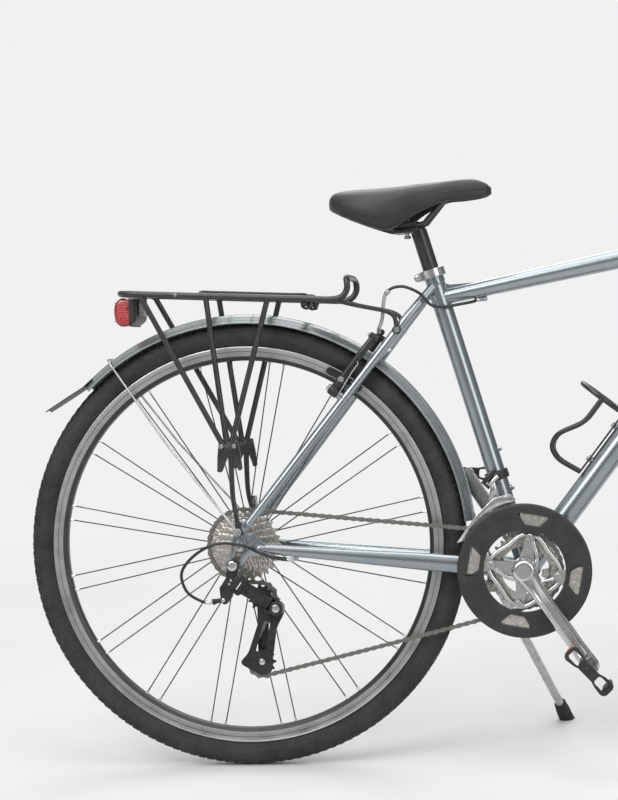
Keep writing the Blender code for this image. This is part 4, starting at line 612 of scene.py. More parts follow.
# Bright steel with grime that gathers in the cloudy places
def turnedSteel(name, look):
    f = Finish(name)
    cloud = f.noise(look.get("cloud", 90), 6, 0.7)
    fine = f.noise(1800, 3, 0.6, look.get("stretch"))
    colour = f.blend(f.levels(cloud, 0.42, 0.7), look["clean"], look["worn"])
    grime = f.levels(f.noise(look.get("grimeScale", 150), 6, 0.75), 0.48, 0.74) * look.get("grimeShare",
        0.5)
    colour = f.blend(grime, colour, look["grime"])
    rough = f.levels(cloud, 0.3, 0.75, look["rough"], look["rough"] + 0.16) + grime * 0.35
    normal = f.bump(fine * 0.5 + grime * 0.5, look.get("relief", 0.25), 0.00015)
    metal = 1.0 - grime * 0.75
    return f.done(colour=colour, rough=rough, metal=metal, normal=normal)


def saddleFinish():
    look = {"black": (0.013, 0.013, 0.014), "worn": (0.034, 0.033, 0.033), "pores": 1900}
    f = Finish("saddleCover")
    pores = f.node("ShaderNodeTexVoronoi", {"feature": 'DISTANCE_TO_EDGE'},
        {"Vector": f.place, "Scale": look["pores"]})
    creases = f.noise(420, 5, 0.7)
    rub = f.levels(f.noise(18, 3), 0.42, 0.7) * f.levels(f.z, 0.52, 0.56)
    colour = f.blend(rub, look["black"], look["worn"])
    grain = f.levels(pores, 0.0, 0.12) * 0.6 + creases * 0.5
    rough = f.levels(creases, 0.3, 0.7, 0.4, 0.56) - rub * 0.12
    return f.done(colour=colour, rough=rough, normal=f.bump(grain, 0.35, 0.00022), coat=0.12,
        coatRough=0.35, specular=0.5)


# Silver-grey mudguard with a thin dark line along each edge
def guardFinish():
    look = {"grey": (0.20, 0.225, 0.23), "light": (0.30, 0.33, 0.335), "line": (0.03, 0.034, 0.038),
        "dust": (0.24, 0.22, 0.19), "wideLine": (0.0212, 0.0222), "thinLine": (0.0192, 0.0197)}
    f = Finish("mudguardGrey")
    cloud = f.noise(12, 4, 0.6)
    colour = f.blend(f.levels(cloud, 0.3, 0.7), look["grey"], look["light"])
    side = f.y.maths("ABSOLUTE")
    line = side.between(*look["wideLine"], 0.0002) + side.between(*look["thinLine"], 0.0002)
    colour = f.blend(line * 0.8, colour, look["line"])
    film = f.levels(f.noise(80, 6, 0.7), 0.5, 0.85) * 0.3
    colour = f.blend(film, colour, look["dust"])
    return f.done(colour=colour, rough=f.levels(cloud, 0.3, 0.7, 0.24, 0.3) + film * 0.3, metal=0.45,
        coat=0.5, coatRough=0.1)


# Moulded lens with small prisms behind a clear face. The prisms are a real relief in the bump. Their light
# and shade is painted into the colour as a grid of lighter and darker cells, and the lens is given a faint
# painted glow.
def lensFinish(name, colour, deep, pitch):
    f = Finish(name)
    rows = f.levels((f.z * pitch).maths("SINE"), -1, 1)
    columns = f.levels((f.y * pitch).maths("SINE"), -1, 1)
    prisms = rows * columns
    # Painted light and shade: the lens colour is made lighter and darker cell by cell over the prism grid
    tintAndPaintedSheen = f.blend(f.levels(prisms, 0.1, 0.8), deep, colour)
    # The faint emission is a painted glow, not a lit lamp
    return f.done(colour=tintAndPaintedSheen, rough=0.14, coat=1.0, coatRough=0.03, normal=f.bump(prisms, 0.35, 0.0006),
        glow=tintAndPaintedSheen, glowStrength=0.05)


paint = paintFinish()
rubber = rubberFinish()
rearRimFinish = rimFinish("rearRimMetal", rearHub)
frontRimFinish = rimFinish("frontRimMetal", frontHub)
leather = saddleFinish()
guardGrey = guardFinish()
redLens = lensFinish("redLens", (0.55, 0.012, 0.014), (0.16, 0.004, 0.006), 2400)
amberLens = lensFinish("amberLens", (0.9, 0.26, 0.02), (0.5, 0.09, 0.0), 3800)
clearLens = lensFinish("clearLens", (0.78, 0.8, 0.82), (0.45, 0.47, 0.5), 1500)
satinBlack = coated("satinBlack", {"colour": (0.014, 0.014, 0.015), "second": (0.026, 0.026, 0.027),
    "rough": 0.34, "grain": 1300, "relief": 0.35, "dust": (0.12, 0.115, 0.105), "dustShare": 0.14,
    "coat": 0.25, "coatRough": 0.2})
blackParts = coated("blackParts", {"colour": (0.016, 0.016, 0.018), "second": (0.04, 0.041, 0.044),
    "rough": 0.36, "metal": 0.35, "grain": 1500, "dust": (0.13, 0.12, 0.1), "dustShare": 0.22,
    "dustScale": 140})
blackPlastic = coated("blackPlastic", {"colour": (0.017, 0.017, 0.018), "second": (0.03, 0.03, 0.031),
    "rough": 0.45, "grain": 1100, "relief": 0.4, "dust": (0.11, 0.105, 0.095), "dustShare": 0.22,
    "dustScale": 150})
cableBlack = coated("cableBlack", {"colour": (0.013, 0.013, 0.014), "second": (0.024, 0.024, 0.025),
    "rough": 0.32, "grain": 700, "relief": 0.15, "dust": (0.1, 0.1, 0.09), "dustShare": 0.12})
gripRubber = coated("gripRubber", {"colour": (0.016, 0.016, 0.016), "second": (0.034, 0.034, 0.034),
    "rough": 0.72, "grain": 1700, "relief": 0.5, "dust": (0.1, 0.1, 0.09), "dustShare": 0.15,
    "specular": 0.35})
polished = turnedSteel("polishedAlloy", {"clean": (0.68, 0.68, 0.68), "worn": (0.5, 0.5, 0.495),
    "grime": (0.1, 0.09, 0.075), "grimeShare": 0.3, "rough": 0.15, "cloud": 45, "grimeScale": 110,
    "stretch": (1, 1, 6), "relief": 0.1})
dullAlloy = turnedSteel("dullAlloy", {"clean": (0.55, 0.55, 0.55), "worn": (0.4, 0.4, 0.395),
    "grime": (0.09, 0.08, 0.065), "grimeShare": 0.5, "rough": 0.28, "cloud": 70, "relief": 0.2})
cogSteel = turnedSteel("cogSteel", {"clean": (0.6, 0.58, 0.54), "worn": (0.4, 0.375, 0.33),
    "grime": (0.06, 0.048, 0.034), "grimeShare": 0.75, "rough": 0.24, "cloud": 160, "grimeScale": 260})
chainSteel = turnedSteel("chainSteel", {"clean": (0.27, 0.255, 0.235), "worn": (0.16, 0.148, 0.13),
    "grime": (0.04, 0.033, 0.026), "grimeShare": 0.8, "rough": 0.34, "cloud": 420, "grimeScale": 520})
chrome = turnedSteel("boltChrome", {"clean": (0.66, 0.66, 0.66), "worn": (0.5, 0.5, 0.49),
    "grime": (0.08, 0.065, 0.05), "grimeShare": 0.35, "rough": 0.16, "cloud": 300, "grimeScale": 400})
spokeBlack = coated("spokeBlack", {"colour": (0.018, 0.018, 0.019), "second": (0.05, 0.05, 0.052),
    "rough": 0.3, "metal": 0.6, "grain": 900})
note("finishes ready")


# Camera, light and floor
def setStage():
    stage = {"cameraAt": Vector((0.6879, -3.8327, 1.0288)), "yaw": 8.504, "pitch": -6.601, "roll": -2.756,
        "focal": 2500.0, "frame": (618, 800), "sensor": 36.0, "floor": 40.0, "pale": (0.875, 0.877, 0.88)}
    contact = Vector((hubPlace.x, hubPlace.y, 0)) - Vector((0, 0.0346, 0))   # under the rear wheel
    camera = addObject("camera", bpy.data.cameras.new("camera"))
    camera.data.sensor_width = stage["sensor"]
    camera.data.lens = stage["focal"] * stage["sensor"] / stage["frame"][1]
    camera.data.clip_end = 100
    base = Matrix.Rotation(radians(stage["yaw"]), 3, 'Z') @ Matrix.Rotation(radians(stage["pitch"]), 3, 'X')
    right, ahead, above = (base @ Vector(v) for v in ((1, 0, 0), (0, 1, 0), (0, 0, 1)))
    roll = radians(stage["roll"])
    pictureRight = right * cos(roll) + above * sin(roll)
    pictureUp = above * cos(roll) - right * sin(roll)
    turn = Matrix((pictureRight, pictureUp, -ahead)).transposed()
    camera.matrix_world = Matrix.Translation(contact + stage["cameraAt"]) @ turn.to_4x4()
    bpy.context.scene.camera = camera

    mesh = bpy.data.meshes.new("floor")
    half = stage["floor"] / 2
    mesh.from_pydata([(-half, -half, 0), (half, -half, 0), (half, half, 0), (-half, half, 0)], [],
        [(0, 1, 2, 3)])
    floor = addObject("floor", mesh)
    pale = bpy.data.materials.new("paleFloor")
    pale.use_nodes = True
    ground = pale.node_tree
    shader = ground.nodes["Principled BSDF"]
    place = addNode(ground, "ShaderNodeTexCoord", output=3)
    cloud = addNode(ground, "ShaderNodeTexNoise", {}, {"Vector": place, "Scale": 1.6, "Detail": 4.0})
    colour = addNode(ground, "ShaderNodeValToRGB",
        {"stops": ((0.35, (0.8, 0.8, 0.805)), (0.65, (0.845, 0.845, 0.845)))}, {0: cloud})
    put(ground, shader.inputs["Base Color"], colour)
    shader.inputs["Roughness"].default_value = 0.75
    shader.inputs["Specular IOR Level"].default_value = 0.2
    # Far from the bike the floor runs into the backdrop, for the eye and for reflections
    away = addNode(ground, "ShaderNodeVectorMath", {"operation": 'DISTANCE'},
        {0: place, 1: tuple(contact + Vector((0.45, 0, 0)))}, output=1)
    fade = addNode(ground, "ShaderNodeMapRange", {"interpolation_type": 'SMOOTHSTEP'},
        {0: away, 1: 0.9, 2: 2.6, 3: 0.0, 4: 1.0})
    seenFrom = ground.nodes.new("ShaderNodeLightPath")
    direct = Wire(ground, seenFrom.outputs["Is Camera Ray"])
    for label in ("Is Glossy Ray", "Is Transmission Ray"):
        direct = direct.maths("MAXIMUM", seenFrom.outputs[label])
    glow = addNode(ground, "ShaderNodeEmission", {}, {0: stage["pale"], 1: 1.0})
    mixed = addNode(ground, "ShaderNodeMixShader", {}, {0: fade * direct, 1: shader.outputs[0], 2: glow})
    put(ground, ground.nodes["Material Output"].inputs[0], mixed)
    mesh.materials.append(pale)

    world = bpy.data.worlds.new("studio")
    bpy.context.scene.world = world
    world.use_nodes = True
    tree = world.node_tree
    tree.nodes.clear()
    seen = tree.nodes.new("ShaderNodeLightPath")
    ray = addNode(tree, "ShaderNodeTexCoord", output=0)
    high = addNode(tree, "ShaderNodeSeparateXYZ", {}, {0: ray}, output=2)
    soft = addNode(tree, "ShaderNodeValToRGB",
        {"stops": ((0.0, (0.62, 0.62, 0.625)), (0.47, (0.55, 0.55, 0.56)), (0.53, (0.2, 0.2, 0.21)),
        (0.6, (0.16, 0.165, 0.17)), (0.72, (0.55, 0.56, 0.57)), (0.82, (1.0, 1.0, 1.0)),
        (1.0, (1.0, 1.0, 1.0)))}, {0: high * 0.5 + 0.5})
    shown = addNode(tree, "ShaderNodeBackground", {}, {0: stage["pale"], 1: 1.0})
    mirroredLook = addNode(tree, "ShaderNodeBackground", {}, {0: soft, 1: 1.0})
    ambient = addNode(tree, "ShaderNodeBackground", {}, {0: (1.0, 1.0, 1.0), 1: 0.42})
    first = addNode(tree, "ShaderNodeMixShader", {}, {0: seen.outputs["Is Glossy Ray"], 1: ambient,
        2: mirroredLook})
    second = addNode(tree, "ShaderNodeMixShader", {}, {0: seen.outputs["Is Transmission Ray"], 1: first,
        2: shown})
    third = addNode(tree, "ShaderNodeMixShader", {}, {0: seen.outputs["Is Camera Ray"], 1: second,
        2: shown})
    out = tree.nodes.new("ShaderNodeOutputWorld")
    put(tree, out.inputs[0], third)

    aim = Vector((contact.x + 0.45, contact.y, 0.5))
    lamps = {"key": ((-1.3, -2.6, 2.9), 2.2, 66.0), "fill": ((2.6, -2.4, 1.7), 1.8, 24.0),
        "back": ((0.3, 2.6, 2.6), 2.2, 34.0), "above": ((0.4, -0.3, 3.6), 2.6, 42.0)}
    for name, (spot, size, power) in lamps.items():
        lamp = addObject(name, bpy.data.lights.new(name, 'AREA'))
        lamp.data.size = size
        lamp.data.energy = power
        lamp.location = contact + Vector(spot)
        lamp.rotation_euler = (aim - lamp.location).to_track_quat('-Z', 'Y').to_euler()
    bpy.context.scene.view_settings.view_transform = 'Standard'


setStage()
note("camera, lamps and floor ready")


# Geometry Nodes trees for what repeats

# A node group with named inputs, ready to fill
def newTree(name, *wanted):
    tree = bpy.data.node_groups.new(name, 'GeometryNodeTree')
    for label, kind, value in wanted:
        socket = tree.interface.new_socket(label, in_out='INPUT', socket_type=kind)
        if value is not None:
            socket.default_value = value
    tree.interface.new_socket("Geometry", in_out='OUTPUT', socket_type='NodeSocketGeometry')
    given = tree.nodes.new("NodeGroupInput")
    return tree, {label: Wire(tree, given.outputs[label]) for label, _, _ in wanted}


# Every tree ends in real meshes with their material
def closeTree(tree, geometry, finish):
    real = addNode(tree, "GeometryNodeRealizeInstances", {}, {0: geometry})
    dressed = addNode(tree, "GeometryNodeSetMaterial", {}, {0: real, 2: finish})
    put(tree, tree.nodes.new("NodeGroupOutput").inputs[0], dressed)


# Copies of a unit about a cross-axle. The unit's X is outward, its Y across the bike.
def aroundAxleTree():
    tree, given = newTree("aroundAxle", ("Unit", 'NodeSocketObject', None), ("Copies", 'NodeSocketInt', 12),
        ("Radius", 'NodeSocketFloat', 0.1), ("Start", 'NodeSocketFloat', 0.0),
        ("Step", 'NodeSocketFloat', 0.5), ("Across", 'NodeSocketFloat', 0.0), ("Axle", 'NodeSocketVector',
        (0, 0, 0)), ("Lean", 'NodeSocketVector', (0, 0, 0)), ("Finish", 'NodeSocketMaterial', None))
    index = addNode(tree, "GeometryNodeInputIndex")
    angle = index * given["Step"] + given["Start"]
    spot = addNode(tree, "ShaderNodeCombineXYZ", {}, {0: angle.maths("COSINE") * given["Radius"],
        1: given["Across"], 2: angle.maths("SINE") * given["Radius"]})
    points = addNode(tree, "GeometryNodePoints", {}, {"Count": given["Copies"], "Position": spot})
    turn = addNode(tree, "ShaderNodeCombineXYZ", {}, {0: 0.0, 1: angle * -1.0, 2: 0.0})
    unit = tree.nodes.new("GeometryNodeObjectInfo")
    put(tree, unit.inputs["Object"], given["Unit"])
    copies = addNode(tree, "GeometryNodeInstanceOnPoints", {},
        {"Points": points, "Instance": unit.outputs["Geometry"], "Rotation": turn})
    placed = addNode(tree, "GeometryNodeTransform", {}, {"Geometry": copies, "Translation": given["Axle"],
        "Rotation": given["Lean"]})
    closeTree(tree, placed, given["Finish"])
    return tree


# Two units in turn along a closed or open path, their X on the path and their Y across the bike
def alongPathTree():
    tree, given = newTree("alongPath", ("Path", 'NodeSocketObject', None), ("First", 'NodeSocketObject',
        None), ("Second", 'NodeSocketObject', None), ("Copies", 'NodeSocketInt', 10),
        ("Across", 'NodeSocketVector', (0, 1, 0)), ("Finish", 'NodeSocketMaterial', None))
    path = tree.nodes.new("GeometryNodeObjectInfo")
    put(tree, path.inputs["Object"], given["Path"])
    spaced = addNode(tree, "GeometryNodeResampleCurve", {}, {"Curve": path.outputs["Geometry"],
        "Count": given["Copies"]})
    points = tree.nodes.new("GeometryNodeCurveToPoints")
    points.mode = 'EVALUATED'
    put(tree, points.inputs[0], spaced)
    first = addNode(tree, "FunctionNodeAlignRotationToVector", {"axis": 'X'},
        {"Vector": points.outputs["Tangent"]})
    turn = addNode(tree, "FunctionNodeAlignRotationToVector", {"axis": 'Y', "pivot_axis": 'X'},
        {"Rotation": first, "Vector": given["Across"]})
    odd = addNode(tree, "GeometryNodeInputIndex") % 2.0
    shown = []
    for label, chosen in (("First", odd < 0.5), ("Second", odd > 0.5)):
        unit = tree.nodes.new("GeometryNodeObjectInfo")
        put(tree, unit.inputs["Object"], given[label])
        shown.append(addNode(tree, "GeometryNodeInstanceOnPoints", {}, {"Points": points.outputs["Points"],
            "Selection": chosen, "Instance": unit.outputs["Geometry"], "Rotation": turn}))
    both = tree.nodes.new("GeometryNodeJoinGeometry")
    for geometry in shown:
        put(tree, both.inputs[0], geometry)
    closeTree(tree, Wire(tree, both.outputs[0]), given["Finish"])
    return tree


# Run a tree with these inputs and return the plain mesh it makes
def grown(tree, **values):
    host = addObject("grown", bpy.data.meshes.new("grown"))
    step = host.modifiers.new("grown", 'NODES')
    step.node_group = tree
    for item in tree.interface.items_tree:
        if item.item_type == 'SOCKET' and item.in_out == 'INPUT' and item.name in values:
            step[item.identifier] = values[item.name]
    return flatten(host)


aroundAxle = aroundAxleTree()
alongPath = alongPathTree()


# Copies of a unit about an axle, sizes in millimetres and degrees
def ringOf(unit, copies, radius, across, hub=rearHub, start=0.0, finish=None):
    return grown(aroundAxle, Unit=unit, Copies=copies, Radius=radius * mm, Start=radians(start),
        Step=radians(360 / copies), Across=across * mm, Axle=tuple(atBike(hub)), Lean=(leanAngle, 0, 0),
        Finish=finish)


def dropUnits(*things):
    for thing in things:
        bpy.data.objects.remove(thing)


# Wheels

# One tread block and one shoulder bar of the tyre
def tyreUnits(wheel):
    block = Shape().block((0, 0, 0), (wheel["blockDeep"], 6.5, 7.2), (axisX, Vector((0, 0.94, 0.34)),
        Vector((0, -0.34, 0.94))))
    bar = Shape().loft([[Vector((x, y, z)) for y, z in ((0, -w), (6.0, -w * 0.7), (6.0, w * 0.7), (0, w))]
        for x, w in ((-1.2, 2.6), (0.75, 2.0))])
    return block, bar


# Tilt a unit about its own Z and mirror it across the bike
def turnUnit(shape, angle, flip=1):
    c, s = cos(radians(angle)), sin(radians(angle))
    turned = Shape()
    verts = [Vector((v.x * c - v.y * s, (v.x * s + v.y * c) * flip, v.z)) for v in shape.verts]
    return turned.add(verts, shape.faces)


def makeTyre(prefix, hub):
    look = {"sides": 200, "blocks": 150, "blockDeep": 1.4, "shoulder": 118}
    outer = wheelSize["tyre"] - 1.0
    wide = wheelSize["tyreWidth"] / 2
    bead = wheelSize["rim"] + gap
    middle = outer - wide + 0.6
    profile = [(-8.6, bead - 1.2), (-10.4, bead + 0.6), (-12.5, bead + 2.6), (-14.6, bead + 5.2)]
    for i in range(19):
        angle = radians(-18 + 216 * i / 18)
        profile.append((-wide * cos(angle), middle + (wide - 0.6) * sin(angle)))
    profile += [(-y, r) for y, r in reversed(profile[:4])]
    inner = [(y * 0.84, bead + 1.5 + (r - bead - 1.5) * 0.86) for y, r in reversed(profile[4:-4])]
    things = [Shape().turned(profile + inner, hub, axisY, look["sides"], ring=True)]
    block, bar = tyreUnits(look)
    for across, tilt, radius, copies, start in ((3.6, -8, outer - 0.1, look["blocks"], 0.0),
            (-3.6, 8, outer - 0.1, look["blocks"], 1.2), (10.6, -34, outer - 3.0, look["blocks"], 0.9),
            (-10.6, 34, outer - 3.0, look["blocks"], 2.1)):
        unit = turnUnit(block, tilt, 1 if across > 0 else -1).object(local=True)
        things.append(ringOf(unit, copies, radius, across, hub, start, finish=rubber))
        dropUnits(unit)
    for across, flip in ((14.3, 1), (-14.3, -1)):
        unit = turnUnit(bar, 62, flip).object(local=True)
        things.append(ringOf(unit, look["shoulder"] * 2, outer - 6.4, across, hub, 0.4, finish=rubber))
        dropUnits(unit)
    for y in (-15.9, 15.9):
        rib = Shape().turned([(y - 0.5, outer - 27.2), (y, outer - 26.4), (y + 0.5, outer - 27.2),
            (y, outer - 28.0)], hub, axisY, look["sides"], ring=True)
        things.append(rib)
    finished(things, prefix + "Tyre", rubber, prefix + "_wheel", "tyre", prefix + "_tyre", sharp=40)


def makeRim(prefix, hub, finish):
    look = {"sides": 192, "valveAt": 93.5}
    top = wheelSize["rim"]
    half = wheelSize["rimWidth"] / 2
    low = top - wheelSize["rimDepth"]
    profile = [(-half + 1.2, top), (-half, top - 0.6), (-half - 0.3, top - 1.6), (-half, top - 2.4),
        (-half, top - 15.6), (-half + 0.7, top - 16.4), (-half + 2.6, top - 19.5),
        (-half * 0.62, low + 0.9), (-half * 0.42, low)]
    profile = both(profile)
    profile += [(half - 2.4, top - 6), (half - 3.4, top - 9), (-half + 3.4, top - 9),
        (-half + 2.4, top - 6)]
    rim = Shape().turned(profile, hub, axisY, look["sides"], ring=True)
    rim.finish(prefix + "Rim", finish, prefix + "_wheel", "alloy", prefix + "_rim", sharp=24)
    # Nipples and the valve
    nipple = Shape().turned([(-6.4, 1.2), (-6.0, 1.9), (-1.0, 2.0), (0.2, 3.2), (0.9, 3.2)], (0, 0, 0),
        axisX, 8)
    unit = nipple.object(local=True)
    things = []
    for side in (1, -1):
        things.append(ringOf(unit, wheelSize["pairs"], low + 0.4, wheelSize["spokeOut"] * side, hub,
            spokeStart(prefix, side), finish=chrome))
    dropUnits(unit)
    finished(things, prefix + "Nipples", chrome, prefix + "_wheel", "alloy")
    out = angled(look["valveAt"])
    valve = Shape().turned([(low - 34.5, 1.9), (low - 33.5, 2.9), (low - 20, 3.1), (low - 18.8, 2.6),
        (low + 3, 2.6)], hub, out, 16)
    valve.finish(prefix + "Valve", blackPlastic, prefix + "_wheel", "black_plastic")


wheelTurn = {"rear": 1, "front": -1}
hubLook = {"rear": {"left": 34, "right": -19, "shell": [(-23.7, 5.4), (-23.7, 21), (-20.8, 22),
    (-19.5, 15.5), (-12, 13), (22, 13), (30, 16.5), (36.3, 17), (44, 14.4), (51.7, 12), (51.7, 5.4)]},
    "front": {"left": 33, "right": -33, "shell": both([(-40.2, 5.4), (-40.2, 10.6), (-36, 12), (-28, 11.6),
    (-18, 9.6)])}}


# Degrees from straight ahead to the first spoke of a side
def spokeStart(prefix, side):
    return 360 / wheelSize["pairs"] * 0.5 + wheelSize["spokeTwist"] * side * wheelTurn[prefix]


def makeHub(prefix, hub):
    look = hubLook[prefix]
    holes = wheelSize["flange"] - 4
    low = wheelSize["rim"] - wheelSize["rimDepth"]
    shell = Shape().turned(look["shell"], hub, axisY, 48, ring=True)
    for y in (look["left"], look["right"]):
        shell.washer(hub, 11, wheelSize["flange"], y - 1.9, y + 1.9, sides=64, soft=0.8)
    finished(shell.eased(0.3), prefix + "Hub", dullAlloy, prefix + "_wheel", "alloy", prefix + "_hub")
    heads = []
    spokes = []
    for side, flange in ((1, look["left"]), (-1, look["right"])):
        start = spokeStart(prefix, side)
        leaning = wheelSize["spokeLean"] * side * wheelTurn[prefix]
        inward = angled(leaning) * holes
        foot = Vector((inward.x, flange, inward.z))
        tip = Vector((low, wheelSize["spokeOut"] * side, 0))
        spoke = Shape().tube([foot, foot.lerp(tip, 0.06), foot.lerp(tip, 0.9), tip],
            [1.05, 1.0, 0.95, 1.05], 8)
        unit = spoke.object(local=True)
        spokes.append(ringOf(unit, wheelSize["pairs"], 0.0, 0.0, hub, start, finish=spokeBlack))
        dropUnits(unit)
        head = Shape().ball((0, 0, 0), 1.9, axisY, 10, 0.7).object(local=True)
        heads.append(ringOf(head, wheelSize["pairs"], holes, flange + 2.3 * side, hub, start + leaning,
            finish=chrome))
        dropUnits(head)
    finished(spokes, prefix + "Spokes", spokeBlack, prefix + "_wheel", "black_metal")
    finished(heads, prefix + "SpokeHeads", chrome, prefix + "_wheel", "alloy")


for prefix, hub, finish in (("rear", rearHub, rearRimFinish), ("front", frontHub, frontRimFinish)):
    makeTyre(prefix, hub)
    makeRim(prefix, hub, finish)
    makeHub(prefix, hub)
note("wheels ready")


# Axle ends, skewer nut, cup and the quick-release lever
def makeAxle(prefix, hub, half, thick, leverUp, body):
    inside = half - 0.5
    outside = half + thick + gap
    s = Shape().disc(hub, 5, -inside - thick + 2, inside + thick - 2, 24)
    for side in (1, -1):
        s.turned([(inside - 8, 8.8), (inside - 6, 8.8), (inside - 5.6, 7.4), (inside - 4.8, 7.4),
            (inside - 4.6, 8.6), (inside - 0.3, 8.6), (inside, 8.2)], hub, axisY * side, 32)
    s.disc(hub, 2.5, -outside - 9, outside + 8, 16)
    s.turned([(outside, 8.6), (outside + 0.7, 9.4), (outside + 2.6, 9.4), (outside + 5.5, 7.6),
        (outside + 8.6, 6.4), (outside + 9, 5.6)], hub, -axisY, 32)
    s.turned([(outside, 8.4), (outside + 0.8, 9.4), (outside + 6.5, 9.4), (outside + 8, 8.2)], hub, axisY,
        32)
    s.finish(prefix + "Axle", dullAlloy, body, "steel", prefix + "_axle")
    cam = hub + axisY * (outside + 14)
    swing = leverUp.cross(axisY)
    s = Shape().rod(cam - swing * 7, cam + swing * 7, 5.3, 24)
    s.bent([cam, cam + leverUp * 12 + axisY * 5, cam + leverUp * 40 + axisY * 8, cam + leverUp * 72
        + axisY * 5], [(4.3, 4.8), (3.2, 4.8), (2.4, 6), (2.2, 6.8)], 4, 16)
    s.rod(cam - swing * 7.4, cam + swing * 7.4, 2.6, 16)
    s.finish(prefix + "ReleaseLever", polished, prefix + "_qr_lever", "alloy", prefix + "_qr_lever",
        sharp=45)


makeAxle("rear", rearHub, dropIn, dropOut - dropIn, Vector((-0.07, 0, 1)).normalized(), "frame")
makeAxle("front", frontHub, forkIn, forkThick, Vector((-0.5, 0, 0.86)).normalized(), "steering")
note("axles ready")


# Frame
frameLook = {"seat": 15.0, "head": 19.0, "down": 19.0, "topRear": 12.0, "topFront": 18.0, "stay": 7.5,
    "shell": 21.0, "sides": 40, "bead": 1.1, "bottleHoles": (196.0, 260.0), "seatHoles": (127.0, 191.0)}


# A rippled weld where a round tube meets a larger one
def weldBead(shape, tubePoint, tubeDir, tubeRadius, ontoPoint, ontoDir, ontoRadius, bead=None):
    bead = bead or frameLook["bead"]
    tubeDir = tubeDir.normalized()
    ontoDir = ontoDir.normalized()
    hint = axisY if abs(tubeDir.y) < 0.9 else up
    across = (hint - tubeDir * hint.dot(tubeDir)).normalized()
    high = tubeDir.cross(across)
    path = []
    for i in range(72):
        angle = 2 * pi * i / 72
        start = tubePoint + (across * cos(angle) + high * sin(angle)) * tubeRadius
        # Where the line along the tube leaves the larger round
        offset = start - ontoPoint
        run = tubeDir - ontoDir * tubeDir.dot(ontoDir)
        flat = offset - ontoDir * offset.dot(ontoDir)
        a = run.length_squared
        b = 2 * flat.dot(run)
        c = flat.length_squared - ontoRadius ** 2
        root = b * b - 4 * a * c
        if root < 0 or a < 1e-6:
            reach = -b / (2 * a) if a > 1e-6 else 0.0
        else:
            reach = (-b + sqrt(root)) / (2 * a)
        path.append(start + tubeDir * reach)
    radii = [bead * (1 + 0.22 * sin(2 * pi * i / 4)) for i in range(72)]
    shape.tube(path, radii, 8, closed=True)


